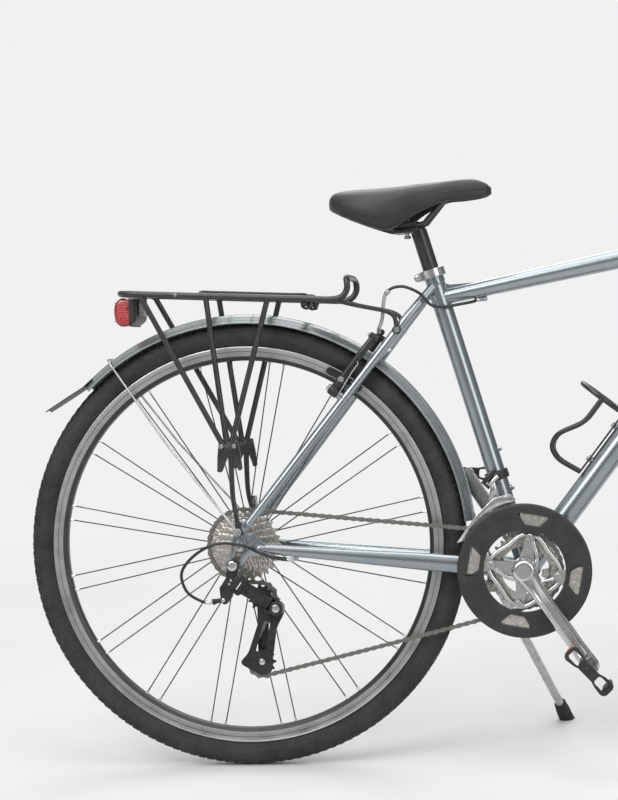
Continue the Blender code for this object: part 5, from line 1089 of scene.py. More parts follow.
def makeFrame():
    look = frameLook
    s = Shape()
    bend = bracket + downDir * geometry["downStraight"]
    end = headBottom + headDir * 36
    knee = bend + downDir * 62
    down = [bracket + downDir * 4, bend]
    down += [bend * (1 - t) ** 2 + knee * 2 * t * (1 - t) + end * t * t
        for t in [i / 14 for i in range(1, 15)]]
    s.tube(down, look["down"], look["sides"])
    long = geometry["seatTube"]
    s.turned([(0, look["seat"] - 0.4), (long - 0.4, look["seat"]), (long, look["seat"] - 0.4), (long, 13.1),
        (long - 60, 13.1), (long - 60, 6)], bracket, seatDir, look["sides"])
    s.rod(headBottom, headTop, look["head"], look["sides"], 0.8)
    for spot, sign in ((headBottom, 1), (headTop, -1)):
        ringAt = spot + headDir * sign * 6
        s.turned([(-6, look["head"] - 1), (-6, look["head"] + 1.3), (4, look["head"] + 1.3),
            (6, look["head"] - 1)], ringAt, headDir * sign, look["sides"])
    s.tube([topRear, topRear.lerp(topFront, 0.3), topRear.lerp(topFront, 0.7), topFront],
        [look["topRear"], 13.8, 16.2, look["topFront"]], look["sides"])
    s.turned([(-34, 20.2), (-33.4, look["shell"]), (33.4, look["shell"]), (34, 20.2)], bracket, axisY, 56)
    # Gusset web in the corner of the seat tube and the top tube
    corner = topRear + seatDir * 10
    web = [corner + seatDir * 17, corner + seatDir * 7 + topDir * 22, corner + topDir * 62 + seatDir * 2,
        topRear + topDir * 30, topRear - seatDir * 4]
    s.plate(web, -3, 3)
    for side in (-1, 1):
        foot, knee2, head = (mirrored(p, side) for p in (stayFoot, stayKnee, stayHead))
        stay = [foot, foot.lerp(knee2, 0.3), foot.lerp(knee2, 0.7), foot.lerp(knee2, 0.95),
            knee2.lerp(head, 0.08), knee2.lerp(head, 0.5), head]
        s.tube(stay, [6.4, look["stay"], look["stay"], look["stay"], look["stay"], look["stay"], 6.8], 28)
        s.ball(foot, 6.4, stayLine, 20)
        line = [mirrored(p, side) for p in (chainFoot, chainFoot.lerp(chainEnd, 0.1),
            chainFoot.lerp(chainEnd, 0.28), chainFoot.lerp(chainEnd, 0.62), chainEnd)]
        s.tube(line, [(5.4, 6.6), (6.6, 8.2), (7.5, 10), (8, 14), (8, 14.5)], 32)
        s.ball(line[0], 6.0, line[1] - line[0], 20)
        weldBead(s, mirrored(chainEnd, side) - (line[-1] - line[-2]).normalized() * 30, line[-1] - line[-2],
            9.0, bracket, axisY, look["shell"], 0.9)
        boss = mirrored(stayBoss, side)
        s.rod(boss, boss + stayBack * (look["stay"] + 5), 7.2, 28, 1.0)
        s.rod(boss, boss + stayBack * 30, 4.5, 24, 0.8)
    high = onCircle(stayFoot, stayKnee, rearHub, 382)
    s.rod(mirrored(high, -1), high, 6, 28)
    s.rod(mirrored(chainBridge, -1), chainBridge, 7, 28)
    # Headset seats, stops and bosses
    for share in (0.13, 0.86):
        stop = topRear.lerp(topFront, share)
        drop = look["topRear"] + (look["topFront"] - look["topRear"]) * share
        spot = stop - up * (drop + 3.4)
        s.turned([(-5.5, 3.0), (-5.2, 3.8), (3.6, 3.8), (5.5, 2.4)], spot, axisX, 20)
        s.block(spot + up * 3.2, (10, 4, 5))
    for along in look["bottleHoles"]:
        spot = bracket + downDir * along
        s.rod(spot + downUp * 12, spot + downUp * (look["down"] + 2), 5, 24, 0.6)
    for along in look["seatHoles"]:
        spot = bracket + seatDir * along
        s.rod(spot + seatAhead * 10, spot + seatAhead * (look["seat"] + 3), 4.5, 24, 0.6)
    stop = mirrored(chainFoot.lerp(chainEnd, 0.14), -1) - up * 11
    s.turned([(-4.5, 2.8), (-4.2, 3.7), (3.2, 3.7), (4.5, 2.6)], stop, axisX, 20)
    s.block(stop + up * 4.4, (8, 3.6, 6))
    # Welds
    weldBead(s, topRear + topDir * 40, -topDir, 12.6, topRear, seatDir, look["seat"])
    weldBead(s, topFront - topDir * 60, topDir, 17.4, topFront, headDir, look["head"])
    weldBead(s, end - (end - knee).normalized() * 60, end - knee, look["down"] - 0.2, end, headDir,
        look["head"])
    weldBead(s, bracket + downDir * 60, -downDir, look["down"], bracket, axisY, look["shell"])
    weldBead(s, bracket + seatDir * 60, -seatDir, look["seat"], bracket, axisY, look["shell"])
    for side in (1, -1):
        head = mirrored(stayHead, side)
        knee2 = mirrored(stayKnee, side)
        run = (head - knee2).normalized()
        weldBead(s, head - run * 40, run, 7.0, seatTop, seatDir, look["seat"], 0.9)
    s.finish("frameTubes", paint, "frame", "paint", "frame", sharp=42)


# Rear dropout plates with hanger, eyelets and lightening hole
def makeDropouts():
    s = []
    through = 99
    for side in (-1, 1):
        outline = around(stayFoot, (-8, 8), (9, 2))
        outline += [(24, 22), (28, 14), (40, 4), (38, -10), (27, -14), (16, -13)]
        outline += around(hanger, (9, -2), (7, -6), (4, -9), (-2, -10), (-6, -8), (-9, 2))
        outline += [(-13, -6), (-13, 2), (-12, 6)] + around(eyelet, (-6, 0), (-5, 4), (-1, 6))
        made = Shape().plate(outline, side * dropIn, side * dropOut)
        made = cutAway(made, Shape().disc(rearHub, 5.3, -through, through, 32, 0.1),
            Shape().plate([(-9.8, -22), (-1.2, -22), (5.2, 0), (-5.2, 0)], -through, through),
            Shape().disc((18, 0, 26), 5, -through, through, 32, 0.1),
            Shape().disc(hanger, 3.9, -through, -50, 24, 0.1),
            Shape().disc(eyelet, 2.6, -through, through, 24, 0.1))
        s.append(eased(made, 0.7))
        boss = Shape().washer(eyelet, 2.6, 5.5, side * (dropIn + 0.8), side * (dropOut + 1.5), sides=32,
            soft=0.6)
        s.append(boss)
    finished(s, "rearDropouts", paint, "frame", "paint", sharp=42)


def makeHeadset():
    s = Shape().turned([(-7.5, 15), (-7.5, 19.2), (-6.4, 20.6), (-4, 22), (2.4, 22), (4.4, 21), (5.6, 19.4),
        (5.6, 15)], headBottom, headDir, 56, ring=True)
    s.turned([(-5.6, 15), (-5.6, 19.2), (-4.4, 21), (-2.4, 22), (3.4, 22), (5, 20.6), (6.2, 20.4),
        (8.8, 19.2), (8.8, 15)], headTop, headDir, 56, ring=True)
    s.finish("headsetCups", polished, "frame", "alloy")
    # Bracket cups seen either side of the shell
    s = Shape().turned([(33.8, 9.2), (33.8, 18.4), (35.4, 18.6), (36.2, 17.4), (36.2, 9.2)], bracket, axisY,
        48, ring=True)
    s.turned([(-36.2, 9.2), (-36.2, 17.4), (-35.4, 18.6), (-33.8, 18.4), (-33.8, 9.2)], bracket, axisY, 48,
        ring=True)
    s.finish("bracketCups", dullAlloy, "frame", "steel")


makeFrame()
makeDropouts()
makeHeadset()
note("frame ready")


# Seat
def railLine(past=0.0):
    half = [(183 - past, 33, 538 + past * 2), (190, 32, 526), (204, 28, 506), (222, 23, 496),
        (249, 22, 493), (295, 22, 496), (306, 21, 504), (330, 14, 531), (341, 10, 544), (348, 5, 547)]
    half = [Vector(p) for p in half]
    return half + [mirrored(p, -1) for p in reversed(half)]


saddleLook = {
    # x, half width, top, edge
    "stations": [(150, 12, 538, 528), (153, 34, 543, 522), (160, 52, 549, 517), (175, 67, 552.5, 509),
                 (200, 78, 554, 499), (228, 82, 554.5, 489), (248, 80, 555.5, 484.5), (268, 71, 557, 494),
                 (290, 55, 559.5, 509), (314, 41, 561, 521), (336, 31, 562.5, 529), (360, 24.5, 564.5, 530),
                 (382, 20, 563.5, 532), (398, 14, 556.5, 535), (405, 6, 550, 539)],
}


# Half width, top and lower edge of the saddle at a place along it
def saddleAt(x):
    rows = saddleLook["stations"]
    if x <= rows[0][0]:
        return rows[0][1:]
    if x >= rows[-1][0]:
        return rows[-1][1:]
    i = max(k for k in range(len(rows) - 1) if rows[k][0] <= x)
    t = (x - rows[i][0]) / (rows[i + 1][0] - rows[i][0])
    before = rows[max(i - 1, 0)]
    after = rows[min(i + 2, len(rows) - 1)]
    found = []
    for k in (1, 2, 3):
        a, b, c, d = before[k], rows[i][k], rows[i + 1][k], after[k]
        found.append(onCurve(a, b, c, d, t))
    return found


def makeSaddle():
    rows = saddleLook["stations"]
    count = 64
    xs = [rows[0][0] + (rows[-1][0] - rows[0][0]) * (1 - cos(pi * i / count)) / 2 for i in range(count + 1)]
    rings = []
    for x in xs:
        wide, top, edge = saddleAt(x)
        tall = top - edge
        under = max(edge + 2.2, top - 23)
        shares = [(0.9, 0.02), (0.965, 0.1), (1.0, 0.24), (1.0, 0.38), (0.985, 0.52), (0.95, 0.66),
            (0.88, 0.78), (0.76, 0.88), (0.6, 0.945), (0.42, 0.98), (0.22, 0.997), (0.08, 1.0)]
        dip = 1.3 if 200 < x < 385 else 0.0
        ring = []
        for y, z in shares:
            height = edge + tall * z
            if y <= 0.22:
                height -= dip * (1 - y / 0.3)
            ring.append((y * wide, height))
        ring = both(ring)
        ring += [(-0.84 * wide, edge + 0.3), (-0.7 * wide, edge + 1.6), (-0.5 * wide, under), (0, under),
            (0.5 * wide, under), (0.7 * wide, edge + 1.6), (0.84 * wide, edge + 0.3)]
        rings.append([Vector((x, y, z)) for y, z in ring])
    body = Shape().loft(rings).object()
    work = bmesh.new()
    work.from_mesh(body.data)
    for _ in range(2):
        bmesh.ops.smooth_vert(work, verts=work.verts, factor=0.35, use_axis_x=True, use_axis_y=True,
            use_axis_z=True)
    work.to_mesh(body.data)
    work.free()
    body = cutAway(body, Shape().bent(railLine(gap), 3.9, 8, 12))
    finished(body, "saddleBody", leather, "frame", "saddle_cover", "saddle", sharp=50)
    # Piping that follows the seam between the top and the side panels
    path = []
    for side in (1, -1):
        run = []
        for i in range(60):
            x = 158 + (398 - 158) * i / 59
            wide, top, edge = saddleAt(x)
            share = 0.3 + 0.2 * max(0.0, (x - 250) / 150)
            run.append(Vector((x, side * (wide * 0.997 + 0.1), edge + (top - edge) * share)))
        path += run if side == 1 else list(reversed(run))
    seam = Shape().tube(path, 0.9, 8, closed=True)
    seam.finish("saddleSeam", leather, "frame", "saddle_cover")
    base = Shape()
    rings = []
    for i in range(25):
        x = 172 + (392 - 172) * i / 24
        wide, top, edge = saddleAt(x)
        under = max(edge + 2.2, top - 23)
        rings.append([Vector((x, y * wide, z)) for y, z in ((-0.68, edge + 0.8), (-0.47, under - 1.4),
            (0.47, under - 1.4), (0.68, edge + 0.8), (0.66, edge + 2.4), (0.46, under + 0.6),
            (-0.46, under + 0.6), (-0.66, edge + 2.4))])
    base.loft(rings)
    for side in (1, -1):
        base.bent([(176, 33 * side, 530), (183, 33 * side, 531), (190, 32 * side, 526)], [6, 6.4, 5], 2, 16)
    base.bent([(334, 0, 536), (346, 0, 545), (360, 0, 544)], [(14, 5), (13, 6), (9, 5)], 3, 16)
    base.finish("saddleBase", blackPlastic, "frame", "black_plastic", sharp=40)
    rails = Shape().bent(railLine(), 3.5, 4, 16)
    rails.finish("saddleRails", satinBlack, "frame", "steel", "saddle_rails")


def makePost():
    head = seatTop + seatDir * 62
    s = Shape().rod(seatTop - seatDir * 110, head + seatDir * 4, 12.7, 48, 0.3)
    s.bent([head + seatDir * 2, head + seatDir * 9 + Vector((-2, 0, 0)), Vector((279, 0, 486))],
        [(12.7, 12.7), (13, 12), (15, 10)], 2, 32, side=axisY)
    s.finish("seatpostTube", satinBlack, "frame", "black_paint", "seatpost", sharp=40)
    s = Shape()
    tiltAxes = (Vector((1, 0, 0.06)), axisY, Vector((-0.06, 0, 1)))
    s.block((271, 0, 487.2), (38, 54, 8.5), tiltAxes)
    s.block((271, 0, 497.6), (34, 52, 7.5), tiltAxes)
    clamp = cutAway(s.eased(2.2, 3), Shape().bent(railLine(), 3.55, 4, 16))
    finished(clamp, "seatCradle", blackParts, "frame", "black_metal", sharp=40)
    s = Shape().rod((271, 0, 474.5), (271, 0, 505), 3, 20)
    s.turned([(0, 5), (0.5, 5.6), (4.4, 5.6), (4.9, 5)], (271, 0, 474), up, 6)
    s.turned([(0, 6.5), (0.4, 7), (1.4, 7)], (271, 0, 501), up, 32)
    s.finish("seatBolt", chrome, "frame", "steel")


def makeCollar():
    inner = 15.3
    outer = 20.2
    back = Vector((-seatDir.z, 0, seatDir.x))
    ring = Shape().turned([(-10, inner), (-10, outer - 0.8), (-9.2, outer), (3.2, outer), (4, outer - 0.8),
        (4, inner)], seatTop, seatDir, 64, ring=True)
    spot = seatTop - seatDir * 3 + back * (outer + 3.0)
    ears = Shape().rod(spot - axisY * 6.5, spot + axisY * 6.5, 6.2, 32, 0.8)
    finished([ring, ears], "seatCollar", polished, "frame", "alloy", "seat_clamp", sharp=38)
    s = Shape().rod(spot - axisY * 8.6, spot + axisY * 7.5, 2.6, 20)
    s.turned([(-8.8, 3.4), (-8.4, 4.4), (-6.6, 4.4)], spot, axisY, 24)
    s.finish("collarBolt", chrome, "frame", "steel")


makeSaddle()
makePost()
makeCollar()
note("seat ready")


# Drivetrain

# A toothed plate with a hole, teeth worked out from the chain's pitch
def toothedRing(centre, teeth, y, thick, inner, trim=0.0, lean=0.0):
    pitch = pitchRadius(teeth)
    root = pitch - 4.0
    tip = pitch + 3.0 - trim
    outline = []
    for i in range(teeth):
        base = 360 * i / teeth
        part = 360 / teeth
        for share, radius in ((-0.32, root + 0.6), (-0.2, pitch - 1.2), (-0.09 + lean, tip - 0.7),
                (0.0 + lean, tip), (0.09 + lean, tip - 0.7), (0.2, pitch - 1.2), (0.32, root + 0.6),
                (0.5, root)):
            outline.append(polar(centre, base + part * share, radius))
    count = len(outline)
    hole = [polar(centre, 360 * i / count, inner) for i in range(count)]
    low, high = y - thick / 2, y + thick / 2
    rings = [[p + axisY * (low + 0.35) for p in outline],
        [centre + (p - centre) * (1 - 1.1 / pitch) + axisY * low for p in outline],
        [p + axisY * low for p in hole], [p + axisY * high for p in hole],
        [centre + (p - centre) * (1 - 1.1 / pitch) + axisY * high for p in outline],
        [p + axisY * (high - 0.35) for p in outline]]
    return Shape().loft(rings, closed=True)


cassetteLook = {"step": 4.8, "thick": 1.8, "spiderArms": 6}


def makeCassette():
    look = cassetteLook
    things = []
    for i, teeth in enumerate(cogTeeth):
        y = cogY - i * look["step"]
        inner = 14.5 if teeth <= 17 else pitchRadius(teeth) - 12.5
        cog = toothedRing(rearHub, teeth, y, look["thick"], inner, trim=0.6, lean=0.02 * (i % 3 - 1))
        if teeth > 17:
            arms = Shape()
            for k in range(look["spiderArms"]):
                angle = 360 * k / look["spiderArms"] + i * 9
                away = angled(angle)
                side = angled(angle + 90)
                corners = [away * 14 + side * 3.6, away * 14 - side * 3.6, away * (inner + 1.5)
                    - side * 2.4, away * (inner + 1.5) + side * 2.4]
                arms.plate(corners, y - 0.8, y + 0.8)
            things.append(arms)
        things.append(cog)
    core = Shape().washer(rearHub, 9.8, 15.4, cogY - 7 * look["step"] - 1.2, cogY + 2.3, sides=48)
    core.turned([(0, 9.8), (0, 14.6), (1.2, 15.6), (2.4, 15.6), (2.9, 14.8), (2.9, 9.8)],
        Vector((0, cogY - 7 * look["step"] - 4.1, 0)), axisY, 48, ring=True)
    things.append(core)
    finished(things, "cassetteStack", cogSteel, "cassette", "steel", "cassette", sharp=28)


# Pitch line of the chain round the big sprocket, the small ring and both pulleys
def chainRun():
    pulley = pitchRadius(11)
    loops = [(rearHub, pitchRadius(28), cogY), (bracket, pitchRadius(28), -40.5), (tensionAt, pulley, cogY),
        (guideAt, -pulley, cogY)]
    spans = []
    for i, (c1, r1, y1) in enumerate(loops):
        c2, r2, y2 = loops[(i + 1) % 4]
        span = c2 - c1
        normal = atan2(span.z, span.x) + acos((r1 - r2) / span.length)
        out = Vector((cos(normal), 0, sin(normal)))
        spans.append((c1 + out * r1 + axisY * y1, c2 + out * r2 + axisY * y2))
    points = []
    for i, (centre, radius, y) in enumerate(loops):
        start = spans[i - 1][1] - centre
        end = spans[i][0] - centre
        a = atan2(start.z, start.x)
        b = atan2(end.z, end.x)
        if radius > 0:
            while b > a:
                b -= 2 * pi
        else:
            while b < a:
                b += 2 * pi
        steps = max(3, round(abs(b - a) * abs(radius) / 3))
        for j in range(steps + 1):
            t = a + (b - a) * j / steps
            points.append(centre + Vector((cos(t), 0, sin(t))) * abs(radius) + axisY * y)
        first, last = spans[i]
        sag = 5.0 if i == 1 else (1.6 if i == 0 else 0.0)
        steps = max(2, round((last - first).length / 9))
        for j in range(1, steps):
            t = j / steps
            points.append(first.lerp(last, t) - up * sag * 4 * t * (1 - t) * 0.25)
    return points


# Two side plates of one chain link, with its rollers and pins
def linkUnit(wide, plateThick, rollers):
    s = Shape()
    half = toothPitch / 2
    outline = []
    for i in range(8):
        angle = radians(-90 + 180 * i / 7)
        outline.append((half + 3.7 * cos(angle), 3.7 * sin(angle)))
    outline.append((0, 2.4))
    outline += [(-x, z) for x, z in reversed(outline[:8])]
    outline.append((0, -2.4))
    for side in (1, -1):
        s.plate(outline, side * wide, side * (wide - plateThick))
    if rollers:
        for x in (-half, half):
            s.turned([(-1.25, 3.4), (-1.25, 3.75), (1.25, 3.75), (1.25, 3.4)], (x, 0, 0), axisY, 10)
    else:
        for x in (-half, half):
            s.turned([(-3.25, 1.2), (-3.1, 1.7), (3.1, 1.7), (3.25, 1.2)], (x, 0, 0), axisY, 8)
    return s.object(local=True)


def makeChain():
    points = chainRun()
    length = sum((points[i] - points[i - 1]).length for i in range(len(points)))
    copies = 2 * round(length / toothPitch / 2)
    curve = bpy.data.curves.new("chainPath", 'CURVE')
    curve.dimensions = '3D'
    spline = curve.splines.new('POLY')
    spline.points.add(len(points) - 1)
    for spot, place in zip(spline.points, points):
        spot.co = (*atBike(place), 1)
    spline.use_cyclic_u = True
    path = addObject("chainPath", curve)
    outer = linkUnit(3.05, 0.9, False)
    inner = linkUnit(2.1, 0.85, True)
    made = grown(alongPath, Path=path, First=outer, Second=inner, Copies=copies, Across=tuple(lean @ axisY),
        Finish=chainSteel)
    dropUnits(path, outer, inner)
    finished(made, "driveChain", chainSteel, "frame", "steel", "chain", sharp=30)


ringLook = {"boltCircle": 52.0, "phase": crankAngle + 45, "large": -54.5, "middle": -47.5, "small": -40.5,
    "guard": 104.0}


# The ways out and across at each of the four bolts, and its place
def boltSpots(circle=ringLook["boltCircle"]):
    found = []
    for i in range(4):
        angle = ringLook["phase"] + 90 * i
        found.append((angled(angle), angled(angle + 90), polar(bracket, angle, circle)))
    return found


def makeRings():
    look = ringLook
    for name, teeth, y, inner, bolts, trim in (("large", 48, look["large"], 66, 52, 0.0),
            ("middle", 38, look["middle"], 50, 52, 0.0), ("small", 28, look["small"], 37, 32, 0.9)):
        things = [toothedRing(bracket, teeth, y, 2.0, inner, trim)]
        outer = inner + 3
        for away, side, hub in boltSpots(bolts):
            corners = [bracket + away * outer + side * 17, bracket + away * outer - side * 17,
                hub - side * 8.5 + away * 2, hub - side * 5.5 - away * 5.8, hub + side * 5.5 - away * 5.8,
                hub + side * 8.5 + away * 2]
            things.append(Shape().plate(corners, y - 1, y + 1))
        made = cutAway(joined(things), *(Shape().disc(spot, 4.2, y - 9, y + 9, 24, 0.1)
            for _, _, spot in boltSpots(bolts)))
        finished(made, name + "Chainring", cogSteel, "crankset", "steel", "chainring_" + name, sharp=28)


# Black ring outside the chain, with its four windows and a raised lip
def makeGuard():
    look = ringLook
    low = look["large"] - 1 - gap - 3.5
    high = look["large"] - 1 - gap
    s = Shape().turned([(low + 0.6, 63.4), (low + 0.3, 66), (low, 67.5), (low, 97.5), (low, 101),
        (low + 0.8, 103.2), (low + 1.9, 104), (high, 104), (high, 63.4)], bracket, axisY, 160, ring=True)
    tabs = []
    for away, side, spot in boltSpots():
        corners = [bracket + away * 66 + side * 20, bracket + away * 66 - side * 20,
            spot - side * 11 + away * 4, spot + side * 11 + away * 4]
        tab = Shape().plate(corners, low + 0.5, high)
        tab.washer(spot, 4.3, 12.2, low + 0.2, high, sides=40, soft=0.6)
        tabs.append(tab)
    guard = joined([s] + tabs)
    for i in range(4):
        angle = look["phase"] + 90 * i
        corners = [(-15.5, 88), (-13.5, 90.5), (13.5, 90.5), (15.5, 88), (9.5, 72.5), (8, 71), (-8, 71),
            (-9.5, 72.5)]
        ring = [polar(bracket, angle + a, r) for a, r in corners]
        guard = cutAway(guard, Shape().plate(ring, low - 3, high + 3))
        spot = polar(bracket, angle, look["boltCircle"])
        guard = cutAway(guard, Shape().disc(spot, 4.3, low - 9, high + 9, 24, 0.1))
    finished(eased(guard, 0.5, 2, 50), "chainGuard", blackPlastic, "crankset", "black_plastic",
        "chainguard", sharp=34)


crankLook = {"length": 175.0, "spiderHigh": -48.8, "spiderLow": -53.2}


# The tapered arm with a hollow along its outer face
def crankArm(s, sign, side):
    arm = angled(crankAngle) * sign
    cross = angled(crankAngle + 90)
    stations = [(-14, 14, 7.0, 71), (0, 18, 8.6, 71), (16, 15.2, 8.2, 71.6), (34, 12.6, 7.4, 72.6),
        (60, 12, 7.2, 73.6), (100, 12, 7.0, 75), (140, 11.8, 6.9, 76.6), (160, 12.6, 6.9, 77.4),
        (175, 13.4, 6.9, 77.6), (183, 11.4, 6.6, 77.6), (187.6, 6, 5.6, 77.6)]
    rings = []
    for along, half, thick, y in stations:
        spot = bracket + arm * along + axisY * side * y
        hollow = 1.5 if 26 < along < 166 else 0.0
        half *= 0.9 if sign < 0 and 0 < along < 80 else 1.0   # clears the lowered stand
        ring = []
        for a, b in ((-1, -0.55), (-0.86, -0.92), (-0.6, -1), (0.6, -1), (0.86, -0.92), (1, -0.55),
                (1, 0.55), (0.86, 0.92), (0.62, 1), (0.5, 1), (0.36, 1), (-0.36, 1), (-0.5, 1), (-0.62, 1),
                (-0.86, 0.92), (-1, 0.55)):
            depth = thick * b - (hollow if abs(a) < 0.4 and b > 0.9 else 0.0)
            ring.append(spot + cross * half * a + axisY * side * depth)
        rings.append(ring)
    s.loft(rings)


def makeCranks():
    look = crankLook
    s = Shape().turned([(-63, 17.5), (-60, 19), (-48, 19), (-46.6, 18.4)], bracket, axisY, 56)
    for away, side, spot in boltSpots():
        for sign in (1, -1):
            # Each pair of neighbours makes one open lobe of the clover
            path = [bracket + side * sign * 16 + away * 10, bracket + away * 24 + side * sign * 15.5,
                bracket + away * 38 + side * sign * 9.5, spot + side * sign * 3.4 - away * 2,
                spot + away * 2]
            s.bent([p + axisY * -51.0 for p in path], [(2.2, 3.4), (2.2, 3.2), (2.2, 3.0), (2.1, 3.2),
                (2.0, 3.0)], 2.5, 12, side=axisY)
        base = bracket + away * 12
        corners = [base + side * 13, base - side * 13, bracket + away * 30 - side * 9, spot - side * 6.5,
            spot + side * 6.5, bracket + away * 30 + side * 9]
        s.plate(corners, look["spiderLow"] + 0.6, look["spiderHigh"])
        s.rod(spot + axisY * look["spiderLow"], spot + axisY * look["spiderHigh"], 8, 32, 0.4)
        inside = bracket + away * 32
        s.rod(inside + axisY * -48.4, inside + axisY * -42.4, 5.6, 24, 0.4)
    # Lobed ring between the bolts
    lobes = []
    count = 144
    for i in range(count):
        angle = 360 * i / count
        phase = radians((angle - ringLook["phase"]) * 4)
        radius = 51.5 + 5.0 * cos(phase)
        lobes.append(polar(bracket, angle, radius, -50.8))
    s.tube(lobes, [(1.9, 3.1)] * count, 12, closed=True, side=axisY)
    crankArm(s, 1, -1)
    s.turned([(-80, 12.5), (-79.6, 15), (-78, 16.8), (-74, 18), (-60, 18.4)], bracket, axisY, 56)
    spot = bracket + angled(crankAngle) * look["length"]
    s.turned([(-84, 12.2), (-83.2, 13.4), (-72, 13.4), (-71, 12.4)], spot, axisY, 40)
    s.rod(spot - axisY * 146, spot - axisY * 80, 4.5, 24, 0.5)
    bore = Shape().disc(bracket, 8.9, -62, -20, 32, 0.1)
    dust = Shape().disc(bracket, 10.4, -90, -77.8, 40, 0.1)
    made = cutAway(s, bore, dust)
    finished(made, "crankRight", polished, "crankset", "alloy", "crank_right", sharp=36)
    s = Shape().turned([(-79.4, 5.2), (-79.2, 9.6), (-78.2, 10.1), (-77, 10.1)], bracket, axisY, 40)
    s.finish("dustCap", blackPlastic, "crankset", "black_plastic")
    s = Shape()
    for away, _, spot in boltSpots():
        s.turned([(-60.8, 3.4), (-60.8, 4.6), (-60.2, 5.4), (-58.8, 5.4)], spot, axisY, 28)
        s.turned([(-59.6, 2.4), (-59.6, 3.5), (-46.2, 3.5), (-45.2, 4.6), (-44.8, 4.6)], spot, axisY, 20)
        inside = bracket + away * 32
        s.turned([(-53.4, 3.0), (-48, 3.0), (-41, 3.0), (-38.2, 3.0)], inside, axisY, 16)
    bolts = cutAway(s, *(Shape().turned([(-64, 2.4), (-59.9, 2.4)], spot, axisY, 6)
        for _, _, spot in boltSpots()))
    finished(bolts, "ringBolts", chrome, "crankset", "steel")
    s = Shape()
    crankArm(s, -1, 1)
    s.turned([(42.4, 15.2), (44, 17), (72, 17), (76, 16.4), (79, 12.5)], bracket, axisY, 56)
    s.rod(bracket + axisY * (-61.6), bracket + axisY * 60, 8.5, 32, 0.4)
    other = bracket - angled(crankAngle) * look["length"]
    s.turned([(71, 12.4), (72, 13.4), (83.2, 13.4), (84, 12.2)], other, axisY, 40)
    s.rod(other + axisY * 80, other + axisY * 146, 4.5, 24, 0.5)
    s.finish("crankLeft", polished, "crankset", "alloy", "crank_left", sharp=36)


pedalLook = {"long": 88.0, "wide": 86.0, "tall": 26.0, "pins": 9}


def makePedal(word, side, spot, tilt):
    look = pedalLook
    fore = angled(tilt)
    high = angled(tilt + 90)
    near = 87.3
    far = near + look["wide"] - 18
    half = look["long"] / 2
    tall = look["tall"] / 2
    made = [Shape().turned([(near, 8.8), (near + 1, 10.3), (near + 14, 9.6), (far - 12, 8.4),
        (far - 1, 8.2), (far, 7.2)], spot, axisY * side, 40)]
    for a in (near + 2, far - 3):
        outline = []
        for x, z in ((-half, -0.5), (-half + 3, -0.86), (-half + 8, -1), (-22, -0.86), (-14, -0.66),
                (14, -0.66), (22, -0.86), (half - 8, -1), (half - 3, -0.86), (half, -0.5), (half, 0.5),
                (half - 3, 0.86), (half - 8, 1), (22, 0.86), (14, 0.66), (-14, 0.66), (-22, 0.86),
                (-half + 8, 1), (-half + 3, 0.86), (-half, 0.5)):
            p = spot + fore * x + high * z * tall
            outline.append((p.x, p.z))
        thing = Shape().plate(outline, side * a, side * (a + 4))
        for x in (-26, 26):
            c = spot + fore * x
            corners = [(-10, -5), (-6, -7), (9, -7), (12, -5), (12, 5), (9, 7), (-6, 7), (-10, 5)]
            ring = [c + fore * (u if x > 0 else -u) + high * v for u, v in corners]
            thing = cutAway(thing, Shape().plate(ring, side * (a - 2), side * (a + 6)))
        made.append(eased(thing, 0.8, 2, 45))
    for x in (-half + 6.5, half - 6.5):
        centre = spot + fore * x + axisY * side * (near + far) / 2
        bar = Shape().block(centre, (7, far - near - 5, tall * 1.25), (fore, axisY, high))
        made.append(eased(bar, 1.2, 2, 45))
    for x in (-16, 16):
        centre = spot + fore * x + axisY * side * (near + far) / 2
        rib = Shape().block(centre, (3.4, far - near - 5, tall * 0.85), (fore, axisY, high))
        made.append(eased(rib, 0.8, 2, 45))
    # Grip teeth along both edges, top and bottom
    tooth = Shape().loft([[Vector((x, y, z)) for x, y in ((-w, -w), (w, -w), (w, w), (-w, w))]
        for z, w in ((0, 1.8), (2.6, 0.7))])
    for x in (-half + 6.5, half - 6.5):
        for flip in (1, -1):
            for i in range(look["pins"]):
                y = side * (near + 7 + (far - near - 14) * i / (look["pins"] - 1))
                base = spot + fore * x + high * flip * (tall * 0.6) + axisY * y
                copy = Shape()
                copy.add([base + fore * v.x + axisY * v.y + high * flip * v.z for v in tooth.verts],
                    tooth.faces)
                made.append(copy)
    bodyName = "pedal_" + word
    bore = Shape().disc(spot, 5.0, side * (near - 5), side * (far - 6), 24, 0.1)
    cage = cutAway(joined(made), bore)
    finished(cage, "pedal" + word.title(), blackPlastic, bodyName, "black_plastic", bodyName, sharp=36)
    # Amber reflectors let into both ends
    s = Shape()
    for x in (-half - 0.1, half + 0.1):
        centre = spot + fore * (x - 1.4 * (1 if x > 0 else -1)) + axisY * side * (near + far) / 2
        s.block(centre, (3.4, 44, 9.5), (fore, axisY, high))
    finished(s.eased(0.7, 2, 45), "pedalReflectors" + word.title(), amberLens, bodyName, "light")
    s = Shape().turned([(far - 0.3, 6.4), (far + 1.4, 6.2), (far + 2, 5)], spot, axisY * side, 32)
    s.finish("pedalCap" + word.title(), blackParts, bodyName, "black_metal")


makeCassette()
makeRings()
makeGuard()
makeCranks()
makeChain()
crankReach = angled(crankAngle) * crankLook["length"]
makePedal("right", -1, bracket + crankReach, -47.0)
makePedal("left", 1, bracket - crankReach, -6.0)
note("drivetrain ready")


# Small helpers for wires and fasteners

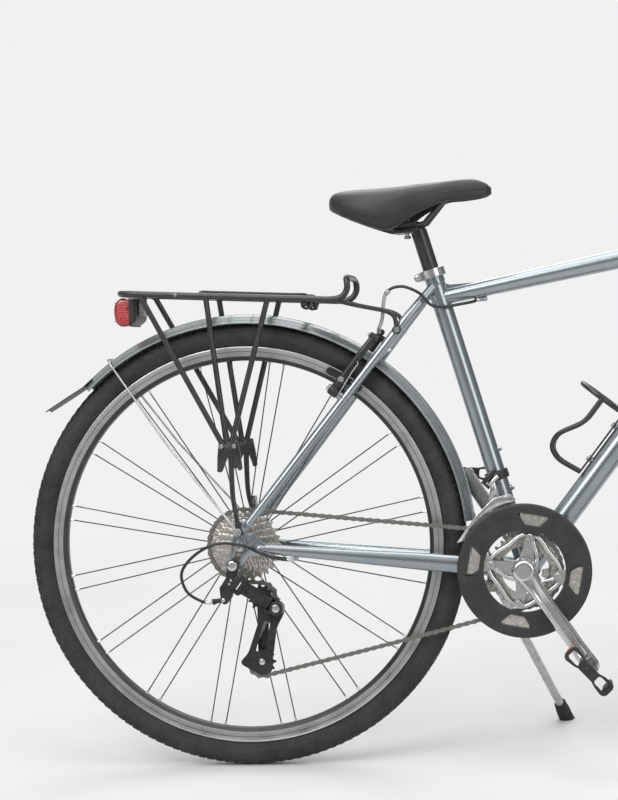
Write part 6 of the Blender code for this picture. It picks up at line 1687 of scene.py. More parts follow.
# A wire's path with each corner bent round
def softCorners(points, reach, steps=6, closed=False):
    points = [Vector(p) for p in points]
    count = len(points)
    found = []
    for i, corner in enumerate(points):
        if not closed and i in (0, count - 1):
            found.append(corner)
            continue
        before = points[i - 1] - corner
        after = points[(i + 1) % count] - corner
        start = corner + before.normalized() * min(reach, before.length * 0.45)
        end = corner + after.normalized() * min(reach, after.length * 0.45)
        for k in range(steps + 1):
            t = k / steps
            found.append(start * (1 - t) ** 2 + corner * 2 * t * (1 - t) + end * t * t)
    return found


# Bolt head with the socket for its key
def capBolt(shape, spot, axis, radius, tall, sides=24):
    return shape.turned([(0, radius), (tall * 0.75, radius), (tall, radius * 0.84), (tall, radius * 0.5),
        (tall * 0.45, radius * 0.46)], spot, axis, sides)


def hexBolt(shape, spot, axis, radius, tall):
    return shape.turned([(0, radius), (tall * 0.8, radius), (tall, radius * 0.86)], spot, axis, 6)


# Luggage rack with its spring flap and the light
rackLook = {"tube": 5.0, "half": 58.0, "strut": 4.4, "crossbars": (-158.0, -50.0, 50.0), "flapAt": 112.0,
    "flapWire": 1.9, "plate": 3.0, "stayWire": 3.5, "strutOut": 70}
stayOut = dropOut + 1.5 + gap


def railHeight(x):
    return rackRear.z + (rackFront.z - rackRear.z) * (x - rackRear.x) / (rackFront.x - rackRear.x)


def rackPoint(x, y, drop=0.0):
    return Vector((x, y, railHeight(x) - drop))


flapHinge = rackPoint(rackLook["flapAt"], 0, 8.0)


def stayBolt(side):
    share = (254 - stayFoot.x) / (stayKnee.x - stayFoot.x)
    spot = stayFoot.lerp(stayKnee, share)
    return Vector((spot.x, side * (spot.y + 10.7), spot.z))


def makeRack():
    look = rackLook
    loop = []
    for side in (1, -1):
        y = look["half"] * side
        half = [rackPoint(rackRear.x, side * 36), rackPoint(rackRear.x + 7, side * (look["half"] - 6)),
            rackPoint(rackRear.x + 22, y), rackPoint(rackFront.x - 4, y), Vector((174, y, 386)),
            Vector((181, y, 398)), Vector((180, y, 410)), Vector((178, y * 0.8, 416))]
        loop += half if side == 1 else list(reversed(half))
    s = Shape().tube(softCorners(loop, 14, 5, closed=True), look["tube"], 20, closed=True)
    for x in look["crossbars"]:
        s.tube([rackPoint(x, -look["half"]), rackPoint(x, look["half"])], look["tube"] - 1, 18)
    s.tube([flapHinge - axisY * 59, flapHinge + axisY * 59], look["tube"] - 1, 18)
    bolts = Shape()
    for side in (1, -1):
        y = look["half"] * side
        low = side * look["strutOut"]
        for top, foot in ((-150.5, (-22, 160)), (-44.2, (-16, 162)), (54.7, (-8, 164))):
            a = rackPoint(top, y)
            b = Vector((foot[0], low, foot[1]))
            s.tube([a, a.lerp(b, 0.03), a.lerp(b, 0.97), b], [4.9, look["strut"], look["strut"], 4.9], 18)
            s.turned([(0, 5.6), (3, 5.9), (5, 4.7)], a, b - a, 18)
        foot = Vector((eyelet.x, side * (stayOut + 1.75), eyelet.z + 4))
        leg = [(-10, low, 150), (-9, low, 84), (-4, foot.y - side * 1.5, 52), (eyelet.x - 0.5, foot.y, 40),
            foot]
        s.bent(leg, [4.5, 4, (2.6, 3.6), (1.9, 4), (1.9, 4)], 5, 18)
        s.washer(eyelet, 2.6, 6.5, side * stayOut, side * (stayOut + 3.5), sides=32)
        bolt = stayBolt(side)
        path = [rackPoint(155, y), Vector((196, 54 * side, 371)), Vector((238, side * 45, 362)),
            bolt + Vector((-2, 0, 22)), bolt + Vector((0, 0, 2))]
        s.tube(softCorners(path, 13), look["stayWire"], 16)
        s.disc(bolt, 7, bolt.y - 2.5, bolt.y + 2.5, 28, 0.6)
        capBolt(bolts, bolt + axisY * side * 2.4, axisY * side, 4.6, 3.4)
        hexBolt(bolts, Vector((eyelet.x, side * (stayOut + 3.4), eyelet.z)) + Vector((0, side * 3, 0)),
            axisY * side, 4.1, 3.2)
        screw = Vector((-91.9, 0, railHeight(-91.9) + 0.2)) + axisY * side * (look["half"] + look["tube"]
            - 0.8)
        capBolt(bolts, screw, axisY * side, 2.6, 1.8)
        for x in (-52.7, 122.9):
            s.turned([(0, 3.6), (2.4, 3.5), (3.6, 2.2)], rackPoint(x, side * 52) + up * 3.8, up, 20)
    plates = []
    for side in (1, -1):
        low = side * look["strutOut"]
        outline = [(-32, 119), (-28, 117.4), (-24, 119), (-19, 131), (-14, 142), (-10, 144), (-6, 142),
            (-1.5, 130), (1, 121), (4.5, 119.6), (8, 123), (6, 143), (2, 166), (-28, 166), (-31, 142)]
        plates.append(Shape().plate(outline, low - 3, low + 3).eased(0.9))
    seat = Shape().block((-158, 0, 385), (look["plate"], 60, 34)).eased(0.8)
    finished([s, seat] + plates, "rackFrame", satinBlack, "frame", "black_paint", "rear_rack", sharp=40)
    for side in (1, -1):
        for spot in ((-24, 158), (-4, 158)):
            capBolt(bolts, Vector((spot[0], side * 72.8, spot[1])), axisY * side, 3.6, 2.6)
    bolts.finish("rackBolts", chrome, "frame", "steel")


def makeFlap():
    look = rackLook
    wire = look["flapWire"]
    over = look["tube"] + wire + gap
    coil = look["tube"] - 1 + wire + 0.9
    turns = 3
    steps = 20
    spring = []
    for i in range(turns * steps + 1):
        angle = 2 * pi * i / steps
        spring.append(flapHinge + Vector((coil * cos(angle), 27 + 14 * i / (turns * steps),
            coil * sin(angle))))
    lift = coil + 6
    lead = [flapHinge + Vector((lift - 3, 42, 6)), flapHinge + Vector((2, 42, lift + 3)),
        rackPoint(88, 42) + up * over, rackPoint(-40, 42) + up * over, rackPoint(-54, 36) + up * over,
        rackPoint(-58, 24) + up * over]
    mouth = lead + [mirrored(p, -1) for p in reversed(lead)]
    inner = softCorners([spring[-1]] + mouth + [mirrored(spring[-1], -1)], 6)
    path = [flapHinge + Vector((coil, 26.5, -8))] + spring[:-1] + inner
    path += [mirrored(p, -1) for p in reversed(spring[:-1])] + [flapHinge + Vector((coil, -26.5, -8))]
    s = Shape().tube(path, wire, 12)
    for x in (-23, 17, 57):
        cross = rackPoint(x, 42) + up * over
        s.tube([cross, cross - axisY * 84], wire * 0.75, 12)
    s.finish("springFlap", satinBlack, "rack_clamp", "black_paint", "rack_clamp", sharp=50)


def makeRearLight():
    seat = -158 - 1.5 - gap
    edge = [(seat, 396), (seat, 361), (-172, 352), (-186, 351), (-194, 359), (-196, 374), (-194, 388),
        (-186, 397)]
    outline = [(p.x, p.z) for p in softCorners([Vector((x, 0, z)) for x, z in edge], 5, 4, closed=True)]
    mid = (-178, 375)
    split = -171
    stations = [(-44, 0.72), (-43.6, 0.82), (-42.4, 0.92), (-40, 0.985), (-37, 1), (0, 1), (37, 1),
        (40, 0.985), (42.4, 0.92), (43.6, 0.82), (44, 0.72)]
    for name, finish, slot, keep, nodes in (("lightCase", blackPlastic, "black_plastic", max, ()),
            ("lightLens", redLens, "light", min, ("rear_light",))):
        rings = []
        for y, share in stations:
            ring = []
            for x, z in outline:
                x = mid[0] + (x - mid[0]) * share
                z = mid[1] + (z - mid[1]) * share
                ring.append(Vector((keep(x, split) + (0.0 if keep is max else -0.2), y, z)))
            rings.append(ring)
        Shape().loft(rings).finish(name, finish, "frame", slot, *nodes, sharp=44)
    s = Shape()
    for z in (360, 389):
        s.tube([(-195.4 if z == 360 else -194.8, -36, z), (-195.4 if z == 360 else -194.8, 36, z)], 0.7, 8)
    for side in (1, -1):
        capBolt(s, (-172.5, side * 43.4, 380), axisY * side, 2.4, 1.2)
    s.finish("lightTrim", blackPlastic, "frame", "black_plastic")


makeRack()
makeFlap()
makeRearLight()
note("rack ready")


# Mudguards
guardLook = {"crown": 366.0, "half": 25.0, "drop": 13.8, "sheet": 1.2, "wire": 1.8, "across": 18,
    "along": 120, "rearEnd": 134.4, "stayAt": 125.5}


def guardSection():
    look = guardLook
    outer = []
    for i in range(look["across"] + 1):
        y = -1 + 2 * i / look["across"]
        outer.append((y * look["half"], -1.2 - look["drop"] * abs(y) ** 2.5))
    inner = [(y * (1 - look["sheet"] / look["half"]),
        r - look["sheet"] * (1 - abs(y / look["half"]) ** 6 * 0.5)) for y, r in reversed(outer)]
    return outer + inner


def guardArch(centre, start, end):
    look = guardLook
    rings = []
    for i in range(look["along"] + 1):
        angle = start + (end - start) * i / look["along"]
        rings.append([polar(centre, angle, look["crown"] + r, y) for y, r in guardSection()])
    s = Shape().loft(rings)
    for side in (1, -1):   # rolled edge
        path = [polar(centre, start + (end - start) * i / look["along"], look["crown"] - 14.9,
            side * (look["half"] - 0.7)) for i in range(look["along"] + 1)]
        s.tube(path, 0.95, 8)
    return s


def guardStay(s, bolts, centre, angle, eye, out):
    wire = guardLook["wire"]
    crown = guardLook["crown"] + wire - 1.9
    half = guardLook["half"] + wire - 1.5
    start = eye + axisY * (out + 2)
    path = [start, start + angled(angle) * 13, polar(centre, angle, 200, half + 22),
        polar(centre, angle, crown - 18, half), polar(centre, angle, crown - 6, half * 0.96),
        polar(centre, angle, crown - 0.5, half * 0.62), polar(centre, angle, crown, 0)]
    path += [mirrored(p, -1) for p in reversed(path[:-1])]
    s.tube(softCorners(path, 9), wire, 12)
    for side in (1, -1):
        s.washer(eye, 2.2, 6, side * out, side * (out + 3), sides=28)
        hexBolt(bolts, Vector((eye.x, side * (out + 2.8), eye.z)), axisY * side, 4.2, 3.2)
        bolts.disc(eye, 2.2, side * (out - 7), side * (out + 3), 16, 0.2)


def makeRearGuard():
    guard = guardArch(rearHub, 4.75, guardLook["rearEnd"])
    guard.finish("rearGuard", guardGrey, "frame", "grey_paint", "rear_mudguard", sharp=50)
    tail = polar(rearHub, guardLook["rearEnd"], 363)
    tip = Vector((-315, 0, 223))
    root = polar(rearHub, 131.5, 362.6)
    rings = []
    for spot, wide, thick in ((root, 20, 1.1), (tail, 22, 1.1), (tail.lerp(tip, 0.5), 24, 1.1),
            (tip, 21, 1.0), (tip.lerp(tail, -0.03), 17, 0.8)):
        outline = []
        for i in range(13):
            y = -1 + 2 * i / 12
            outline.append(spot + Vector((-1.8 * y * y, y * wide, thick - 3.0 * y * y)))
        rings.append(outline + [p - Vector((0, 0, 2 * thick)) for p in reversed(outline)])
    Shape().loft(rings).finish("mudFlap", blackPlastic, "frame", "black_plastic", sharp=50)
    stays = Shape()
    bolts = Shape()
    guardStay(stays, bolts, rearHub, guardLook["stayAt"], eyelet, stayOut + 3.5 + gap)
    bridge = onCircle(stayFoot, stayKnee, rearHub, guardLook["crown"] + 16)
    bridge = Vector((bridge.x, 0, bridge.z))
    out = bridge.normalized()
    stays.rod(out * (guardLook["crown"] - 2), bridge - out * (6 + gap), 4, 20)
    hexBolt(bolts, out * (guardLook["crown"] - 3.4), -out, 4.6, 3)
    low = Vector((chainBridge.x, 0, chainBridge.z))
    start = polar(rearHub, 6.5, guardLook["crown"] - 2.4)
    down = (low - start).normalized()
    side = Vector((-down.z, 0, down.x)) * 1.2
    stays.loft([[p + axisY * w + side * k for w, k in ((-8, -1), (8, -1), (8, 1), (-8, 1))] for p in (start,
        low - down * (7 + gap))])
    # Bolt heads of the clip that carries the stay under the guard
    for y in (-9, 9):
        spot = polar(rearHub, guardLook["stayAt"], guardLook["crown"] + 1.4, y)
        hexBolt(bolts, spot, angled(guardLook["stayAt"]), 3.4, 2.4)
    stays.finish("rearGuardStays", dullAlloy, "frame", "steel", sharp=40)
    bolts.finish("rearGuardBolts", chrome, "frame", "steel")


def makeFrontGuard():
    guard = guardArch(frontHub, 28, 165)
    guard.finish("frontGuard", guardGrey, "steering", "grey_paint", "front_mudguard", sharp=50)
    stays = Shape()
    bolts = Shape()
    guardStay(stays, bolts, frontHub, 150, frontHub + Vector((-17, 0, -3)), forkIn + forkThick + gap)
    crown = steerFoot + headDir * geometry["forkCrown"]
    away = crown - frontHub
    low = polar(frontHub, bearing(away), guardLook["crown"] - 2.6)
    rise = (crown - low).normalized()
    stays.loft([[p + axisY * w + headAhead * k for w, k in ((-9, -1.1), (9, -1.1), (9, 1.1), (-9, 1.1))]
        for p in (low, crown - rise * 16.2)])
    stays.finish("frontGuardStays", dullAlloy, "steering", "steel", sharp=40)
    bolts.finish("frontGuardBolts", chrome, "steering", "steel")


makeRearGuard()
makeFrontGuard()
note("mudguards ready")


# Linear-pull brakes
brakeLook = {"track": 306.0, "armOut": 22.0, "padLong": 62.0, "padGap": 2.0}


def forkLeg(side):
    stations = [(404, 2, 40), (330, 4, 41.5), (230, 9, 45.5), (120, 22, 51), (40, 37, 55.5), (12, 44, 56)]
    return [steerFoot + headDir * a + headAhead * b + axisY * side * y for a, b, y in stations]


def forkBoss(side):
    line = forkLeg(side)
    for a, b in zip(line, line[1:]):
        if (a - frontHub).length >= wheelSize["boss"] >= (b - frontHub).length:
            for _ in range(30):
                mid = (a + b) / 2
                if hypot(mid.x - frontHub.x, mid.z - frontHub.z) > wheelSize["boss"]:
                    a = mid
                else:
                    b = mid
            return (a + b) / 2


def makeBrake(name, node, boss, rise, out, side, hub):
    look = brakeLook
    centre = boss + out * look["armOut"]
    flat = Vector((boss.x - hub.x, 0, boss.z - hub.z)) + out * look["armOut"]
    height = rise.x * flat.x + rise.z * flat.z
    reach = sqrt(look["track"] ** 2 - (flat.length_squared - height ** 2)) - height
    shoe = centre + rise * reach
    shoe = Vector((shoe.x, 0, shoe.z))
    outward = Vector((shoe.x - hub.x, 0, shoe.z - hub.z)).normalized()
    padIn = wheelSize["rimWidth"] / 2 + look["padGap"]
    across = axisY * side
    s = Shape().turned([(13.2, 4.9), (13.2, 7.6), (14, 8.5), (26, 8.5), (28, 7.9), (29, 6.4), (29, 4.9)],
        boss, out, 32, ring=True)
    path = [centre, centre + rise * 18 + across * 3, centre + rise * 62 + across, centre + rise * 105
        - across * 3]
    s.bent(path, [(6, 7.5), (5.5, 6.5), (5, 6), (4, 5.5)], 4, 24)
    s.ball(path[-1], 4.6, out, 20)
    s.rod(path[-1] - out * 7, path[-1] + out * 7, 5.4, 28, 0.8)
    grip = shoe + across * (centre.y * side + 1)
    s.rod(grip - across * 6, grip + across * 6.5, 6.6, 28, 0.9)
    s.finish(name + "Arm", blackParts, node, "black_metal", node, sharp=40)
    # Shoe: a curved rubber block in a holder
    pad = Shape()
    rings = []
    for i in range(13):
        t = -1 + i / 6
        radius = look["track"]
        angle = bearing(outward) + t * degreesOf(look["padLong"] / 2, radius)
        slim = 1 - 0.18 * abs(t) ** 6
        rings.append([polar(hub, angle, radius + r * slim, side * (padIn + y)) for y, r in ((0, -4.4),
            (0, 4.4), (6.8, 5), (9, 3.6), (9, -3.6), (6.8, -5))])
    pad.loft(rings)
    pad.finish(name + "Pad", gripRubber, node, "rubber", sharp=40)
    bolts = Shape().rod(shoe + across * (padIn + 7), grip + across * 11.5, 3.2, 20)
    for depth in (padIn + 9.2, padIn + 12):
        bolts.turned([(0, 3.4), (0, 7), (1.6, 7.4), (2.4, 5.2), (2.4, 3.4)], shoe + across * depth, across,
            28, ring=True)
    hexBolt(bolts, grip + across * 6.6, across, 5.4, 4.4)
    capBolt(bolts, boss + out * 28.4, out, 5.6, 4.6)
    capBolt(bolts, path[-1] + out * 6.6, out, 3.9, 3.2)
    # Return spring from the boss up the back of the arm
    spring = [boss + out * 12.6 + across * 5, boss + out * 11.5 + across * 8 + rise * 8, centre + rise * 40
        + across * 8.6 - out * 7, centre + rise * 58 + across * 7.4 - out * 6.6, centre + rise * 60
        + across * 6.4 - out * 3]
    bolts.bent(spring, 0.9, 5, 10)
    bolts.finish(name + "Bolts", chrome, node, "steel")


def degreesOf(length, radius):
    return length / radius * 180 / pi


def makeBrakes():
    for side, word in ((-1, "right"), (1, "left")):
        title = word.capitalize()
        boss = mirrored(stayBoss, side)
        makeBrake("rear" + title, "rear_brake_arm_" + word, boss, stayRise, stayBack, side, rearHub)
        makeBrake("front" + title, "front_brake_arm_" + word, forkBoss(side), headDir, headAhead, side,
            frontHub)


def makeBrakeCable():
    top = Vector((stayBoss.x, 0, stayBoss.z)) + stayBack * brakeLook["armOut"] + stayRise * 115
    stop = topRear.lerp(topFront, 0.13) - Vector((5.5 + gap, 0, 17.3))
    points = [stop, stop + Vector((-5, 0, 0)), stop + Vector((-16, -11, -4)), Vector((314, -30, 366)),
        Vector((290, -36, 388)), Vector((262, -36, 399)), Vector((238, -34, 389)),
        top + Vector((7, -34, 20)), top + Vector((0, -29, 3)), top + Vector((0, -16, 0)),
        top + Vector((0, 30, 0))]
    path = flowing(points, 6)
    makeCord(path, "rearBrakeCable", "rear_brake_cable")
    noodle = [p for p in path if p.x < 243]
    sleeve = Shape().tube([p for p in noodle if p.y < -12], 2.9, 16)
    sleeve.turned([(0, 2.6), (0, 3.8), (7, 3.8), (8.5, 3.0), (8.5, 2.6)], noodle[0] - Vector((0, 0, 1)),
        noodle[1] - noodle[0], 20, ring=True)
    sleeve.finish("brakeNoodle", dullAlloy, "frame", "steel", sharp=50)
    boot = Shape()
    profile = [(-13, 2.6)]
    for i in range(9):
        profile += [(-12.6 + i * 2.9, 3.6), (-11.2 + i * 2.9, 5.0), (-9.8 + i * 2.9, 3.6)]
    profile.append((14.2, 2.6))
    boot.turned(profile, top, axisY, 24, ring=True)
    boot.finish("cableBoot", blackPlastic, "frame", "black_plastic", sharp=60)


def makeCord(path, name, node):
    cord = Shape().tube(path, 2.4, 14)
    made = cord.finish(name, cableBlack, "frame", "black_plastic", node, sharp=60)
    line = [atBike(p) for p in path]
    long = sum((b - a).length for a, b in zip(line, line[1:]))
    tuple(line[0])
    [tuple(p) for p in line]
    ends = Shape()
    for spot, away in ((path[0], path[1] - path[0]), (path[-1], path[-2] - path[-1])):
        ends.turned([(0, 2.5), (0, 3.3), (8, 3.3), (9, 2.9), (9, 2.5)], spot, away, 20, ring=True)
    ends.finish(name + "Ends", chrome, "frame", "steel")
    print("scene:", name, "is", round(long, 4), "m")


def makeShiftCable():
    points = [(81.6, -62.7, -21.4), (70, -66, -21.6), (52, -74, -17), (30, -80, -8), (8, -93, 4),
        (-30, -97, 8), (-66, -95, -8), (-90, -91, -36), (-84, -87, -66), (-62, -84, -82), (-46, -83, -84.4)]
    makeCord(flowing(points, 6), "rearShiftCable", "rear_shift_cable")


makeBrakes()
makeBrakeCable()
makeShiftCable()
note("brakes ready")


# Rear derailleur
changerLook = {"pin": Vector((2, -84, -62)), "run": Vector((0.804, 0, -0.594)),
    "axis": Vector((0.594, 0, 0.804)), "long": 46.65, "side": 30.0, "apart": 15.0, "height": 20.0,
    "cage": Vector((51.5, 0, -98.5)), "teeth": 11}


def changerEnd(offset=0.0):
    look = changerLook
    return look["pin"] + look["run"] * look["long"] + axisY * (look["side"] + offset)


def makeChanger():
    look = changerLook
    run, axis, pin, apart = look["run"], look["axis"], look["pin"], look["apart"]
    half = look["height"] / 2
    out = -dropOut - gap
    axes = (run, axisY, axis)
    things = []
    s = Shape().rod((hanger.x, -90, hanger.z), (hanger.x, out - 0.2, hanger.z), 9.5, 40, 1.4)
    s.rod((hanger.x, out - 1, hanger.z), (hanger.x, -dropIn + 4, hanger.z), 3.6, 20, 0.4)
    body = [(hanger.x - 9, hanger.z), (-21, -46), (hanger.x - 22, -62), (-31, -74), (-30, -84), (-26, -88),
        (-22, -88), (-16, -82), (-12, -76), (-9, -58), (-3, -42), (hanger.x + 9, hanger.z)]
    arm = Shape().plate(body, -88, -78)
    things.append(eased(arm, 2.2, 3))
    for end in (-1, 1):
        mid = pin + axis * end * (half + gap + 1.6)
        for offset in (0, apart):
            ear = mid + axisY * offset
            s.rod(ear - axis * 1.6, ear + axis * 1.6, 4, 24, 0.5)
        back = mid - run * 9
        things.append(Shape().block(back.lerp(mid, 0.5) + axisY * (apart / 2 - 1), (9, apart + 9, 3.2),
            axes).eased(0.7))
    spine = pin - run * 9 + axisY * (apart / 2 - 1)
    things.append(Shape().block(spine, (4.4, apart + 9, look["height"] + 7), axes).eased(1.2, 3))
    things.append(Shape().block(spine - run * 3 - axisY * 9, (10, 8, look["height"] + 4), axes).eased(2.2,
        3))
    s.turned([(0, 2.6), (0, 4.6), (4, 4.6), (5, 3.9), (17, 3.4), (20, 3.4)], (-44, -83, -84),
        Vector((20, 0, 4)), 24)
    finished(things + [s], "changerKnuckle", blackParts, "frame", "black_metal", "rd_b_knuckle", sharp=40)
    s = Shape()
    capBolt(s, (hanger.x, -89.6, hanger.z), -axisY, 7.6, 2.6, 32)
    for offset in (0, apart):
        spot = pin + axisY * offset
        s.rod(spot - axis * (half + 3.6), spot + axis * (half + 3.6), 1.9, 20, 0.4)
    s.turned([(0, 2.2), (0.4, 2.9), (3, 2.9)], (-26, -89.6, -81), axisY, 20)
    for z in (-50, -56):   # limit screws
        s.turned([(0, 1.2), (0.2, 1.9), (2.4, 1.9)], (-13 + (z + 50) * 0.4, -89.6, z), axisY, 16)
    s.finish("changerBolts", chrome, "frame", "steel")
    for name, body, offset, thick in (("outerLink", "rd_outer_link", 0, 4.2), ("innerLink", "rd_inner_link",
            apart, 3.6)):
        a = pin + axisY * offset
        b = changerEnd(offset)
        direct = (b - a).normalized()
        s = Shape()
        for spot in (a, b):
            s.turned(both([(-half, 1.95), (-half, 3.2), (-half + 0.6, 3.8)]), spot, axis, 28, ring=True)
        flat = direct.cross(axis)
        bar = Shape().block((a + b) / 2, ((b - a).length - 3.4, thick, half * 2 - 1),
            (direct, flat, axis)).eased(1.4, 3)
        raised = Shape().block((a + b) / 2 - axisY * 0.8, ((b - a).length - 16, thick, half * 1.1),
            (direct, flat, axis)).eased(1.2, 3)
        finished([s, bar, raised], name, blackParts, body, "black_metal", body, sharp=40)
    things = []
    s = Shape()
    for end in (-1, 1):
        for offset in (0, apart):
            spot = changerEnd(offset) + axis * end * (half + gap + 1.6)
            s.rod(spot - axis * 1.6, spot + axis * 1.6, 4, 24, 0.5)
        mid = changerEnd(apart / 2) + axis * end * (half + gap + 1.6) + run * 4.5
        things.append(Shape().block(mid, (9, apart + 6.6, 3.2), axes).eased(0.7))
    spine = changerEnd(apart / 2) + run * 9
    things.append(Shape().block(spine, (4.4, apart + 6.6, look["height"] + 7), axes).eased(1.2, 3))
    cage = look["cage"]
    s.turned([(-60.4, 8.4), (-59.6, 11), (-38, 11), (-36, 9.6)], cage, axisY, 48)
    mid = spine.lerp(Vector((cage.x, -50, cage.z)), 0.4)
    things.append(Shape().block(mid, (12, 18, 20), axes).eased(3, 3))
    finished(things + [s], "cageKnuckle", blackParts, "rd_p_knuckle", "black_metal", "rd_p_knuckle",
        sharp=40)
    s = Shape()
    for offset in (0, apart):
        spot = changerEnd(offset)
        s.rod(spot - axis * (half + 3.6), spot + axis * (half + 3.6), 1.9, 20, 0.4)
    capBolt(s, (cage.x, -60, cage.z), -axisY, 6, 1.6, 28)
    s.finish("changerPins", chrome, "rd_p_knuckle", "steel")


# A stamped plate with rounded corners and eased edges
def softPlate(outline, low, high, reach, width=0.5):
    points = softCorners([Vector((x, 0, z)) for x, z in outline], reach, 4, closed=True)
    return Shape().plate(points, low, high).eased(width, 2, 50)


def makeCage():
    look = changerLook
    cage, guide, idle = look["cage"], guideAt, tensionAt
    outY = (cogY - 7.0, cogY - 5.0)
    inY = (cogY + 5.0, cogY + 6.6)
    outline = around(cage, (9, 6), (0, 10)) + around(guide, (4, 9), (-7, 5), (-7, -8), (-2, -30))
    outline += around(idle, (-22, 14), (-34, 2), (-33, -4), (-14, -14), (0, -22), (16, -16), (17, 2))
    outline += around(guide, (24, -48)) + around(cage, (10, -8))
    inside = around(guide, (8, 5), (-6, 7), (-8, -6)) + around(idle, (-8, 8), (-10, -6), (0, -11), (9, -5))
    inside += around(guide, (10, -20))
    outer = softPlate(outline, outY[0], outY[1], 7)
    inner = softPlate(inside, inY[0], inY[1], 4)
    window = around(guide, (3, -34), (14, -40)) + around(idle, (6, 20), (-10, 16))
    points = softCorners([Vector((x, 0, z)) for x, z in window], 4, 4, closed=True)
    outer = cutAway(outer, Shape().plate(points, -60, 0))
    s = Shape()
    for spot in (guide, idle):
        s.rod(spot + axisY * (outY[0] - 0.4), spot + axisY * (inY[1] + 0.6), 2.6, 24, 0.3)
    finished([outer, inner, s], "changerCage", blackParts, "rd_cage", "black_metal", "rd_cage", sharp=40)
    s = Shape()
    for spot in (guide, idle):
        capBolt(s, spot + axisY * (outY[0] + 0.1), -axisY, 4.6, 1.5, 28)
    s.finish("cageBolts", chrome, "rd_cage", "steel")
    for name, body, spot in (("guidePulley", "guide_pulley", guide), ("tensionPulley", "tension_pulley",
            idle)):
        radius = pitchRadius(look["teeth"])
        outline = []
        for i in range(look["teeth"]):
            part = 360 / look["teeth"]
            for share, r in ((-0.3, radius - 5.4), (-0.14, radius - 2.2), (-0.06, radius - 0.6),
                    (0.06, radius - 0.6), (0.14, radius - 2.2), (0.3, radius - 5.4)):
                outline.append(polar(Vector((spot.x, 0, spot.z)), part * (i + share), r))
        count = len(outline)
        low, high = cogY - 1.2, cogY + 1.2
        s = Shape()
        hole = [polar(Vector((spot.x, 0, spot.z)), 360 * i / count, 6.4) for i in range(count)]
        s.loft([[p + axisY * low for p in outline], [p + axisY * low for p in hole],
            [p + axisY * high for p in hole], [p + axisY * high for p in outline]], closed=True)
        s.washer(spot, 2.95, 7, cogY - 4, cogY + 4, sides=32)
        s.finish(name, blackPlastic, body, "black_plastic", body, sharp=40)
        s = Shape().washer(spot, 2.9, 5.6, cogY - 4.4, cogY + 4.4, sides=28)
        s.finish(name + "Bush", dullAlloy, body, "steel")


# Front derailleur
frontChanger = {"hinge": Vector((396, -30, 92)), "axis": Vector((0.7, 0, 0.714)).normalized(),
    "chainY": -38.5, "overGuard": 2.5}


def makeFrontChanger():
    look = frontChanger
    hinge, axis = look["hinge"], look["axis"]
    spot = bracket + seatDir * 152
    rise = axis.cross(axisY)
    along = (axis, axisY, rise)
    s = Shape().turned(both([(-7, 15.35), (-7, 18), (-6.2, 18.7)]), spot, seatDir, 56, ring=True)
    for end in (-1, 1):
        mid = hinge + axis * end * 13
        s.rod(mid - axis * 2, mid + axis * 2, 4, 28, 0.6)
    s.rod(hinge - axis * 14, hinge + axis * 14, 1.6, 20, 0.3)
    blocks = [(spot - axisY * 19.5 - seatDir, (16, 7, 14), (seatAhead, axisY, seatDir)),
        (hinge + rise * 8.5, (30, 6, 7), along), (hinge + rise * 9.5 + axisY * 6, (18, 16, 7), along)]
    for end in (-1, 1):
        blocks.append((hinge + axis * end * 13 + rise * 4, (4, 6, 8), along))
    things = [s]
    for centre, size, axes in blocks:
        things.append(Shape().block(centre, size, axes).eased(1.1))
    finished(things, "frontChangerMount", blackParts, "frame", "black_metal", "front_derailleur_body",
        sharp=40)
    s = Shape()
    capBolt(s, spot - axisY * 22.6 - seatDir, -axisY, 4.6, 3.2)
    for z in (-3.6, 3.6):
        s.turned([(0, 1.1), (0.2, 1.8), (2, 1.8)], hinge + rise * 11.4 + axis * z, rise, 16)
    s.finish("frontChangerBolts", chrome, "frame", "steel")
    y = look["chainY"]
    inner = [(431, 63), (421, 71), (397, 65), (369, 36), (345, 0), (352, -2), (378, 22), (402, 46),
        (426, 54)]
    edge = [polar(bracket, angle, ringLook["guard"] + look["overGuard"]) for angle in (154, 144, 134, 123,
        112, 100)]
    outer = [(431, 62), (424, 71), (397, 66), (367, 37), (337, -3)] + [(p.x, p.z) for p in edge]
    things = [softPlate(inner, y + 6.5, y + 7.7, 4, 0.3), softPlate(outer, y - 9, y - 7.8, 2.5, 0.3)]
    things.append(Shape().block((417, y - 0.5, 67.5), (7, 17.6, 1.6)).eased(0.5))
    s = Shape().rod((347, y - 8.5, 2), (347, y + 7, 2), 1.7, 20, 0.3)
    s.turned(both([(-10.6, 1.95), (-10.6, 3), (-10, 3.4)]), hinge, axis, 28, ring=True)
    s.bent([hinge - up * 3.2, (hinge.x, y + 7.1, hinge.z - 14), (hinge.x - 2, y + 7.1, 60)],
        [(2, 3.4), (2, 5), (0.9, 7)], 3, 20)
    finished(things + [s], "frontChangerCage", polished, "fd_cage", "steel", "fd_cage", sharp=40)


makeChanger()
makeCage()
makeFrontChanger()
note("derailleurs ready")


# Bottle cage and stand
cageLook = {"wire": 3.9, "ring": 38.5, "high": 56.0}


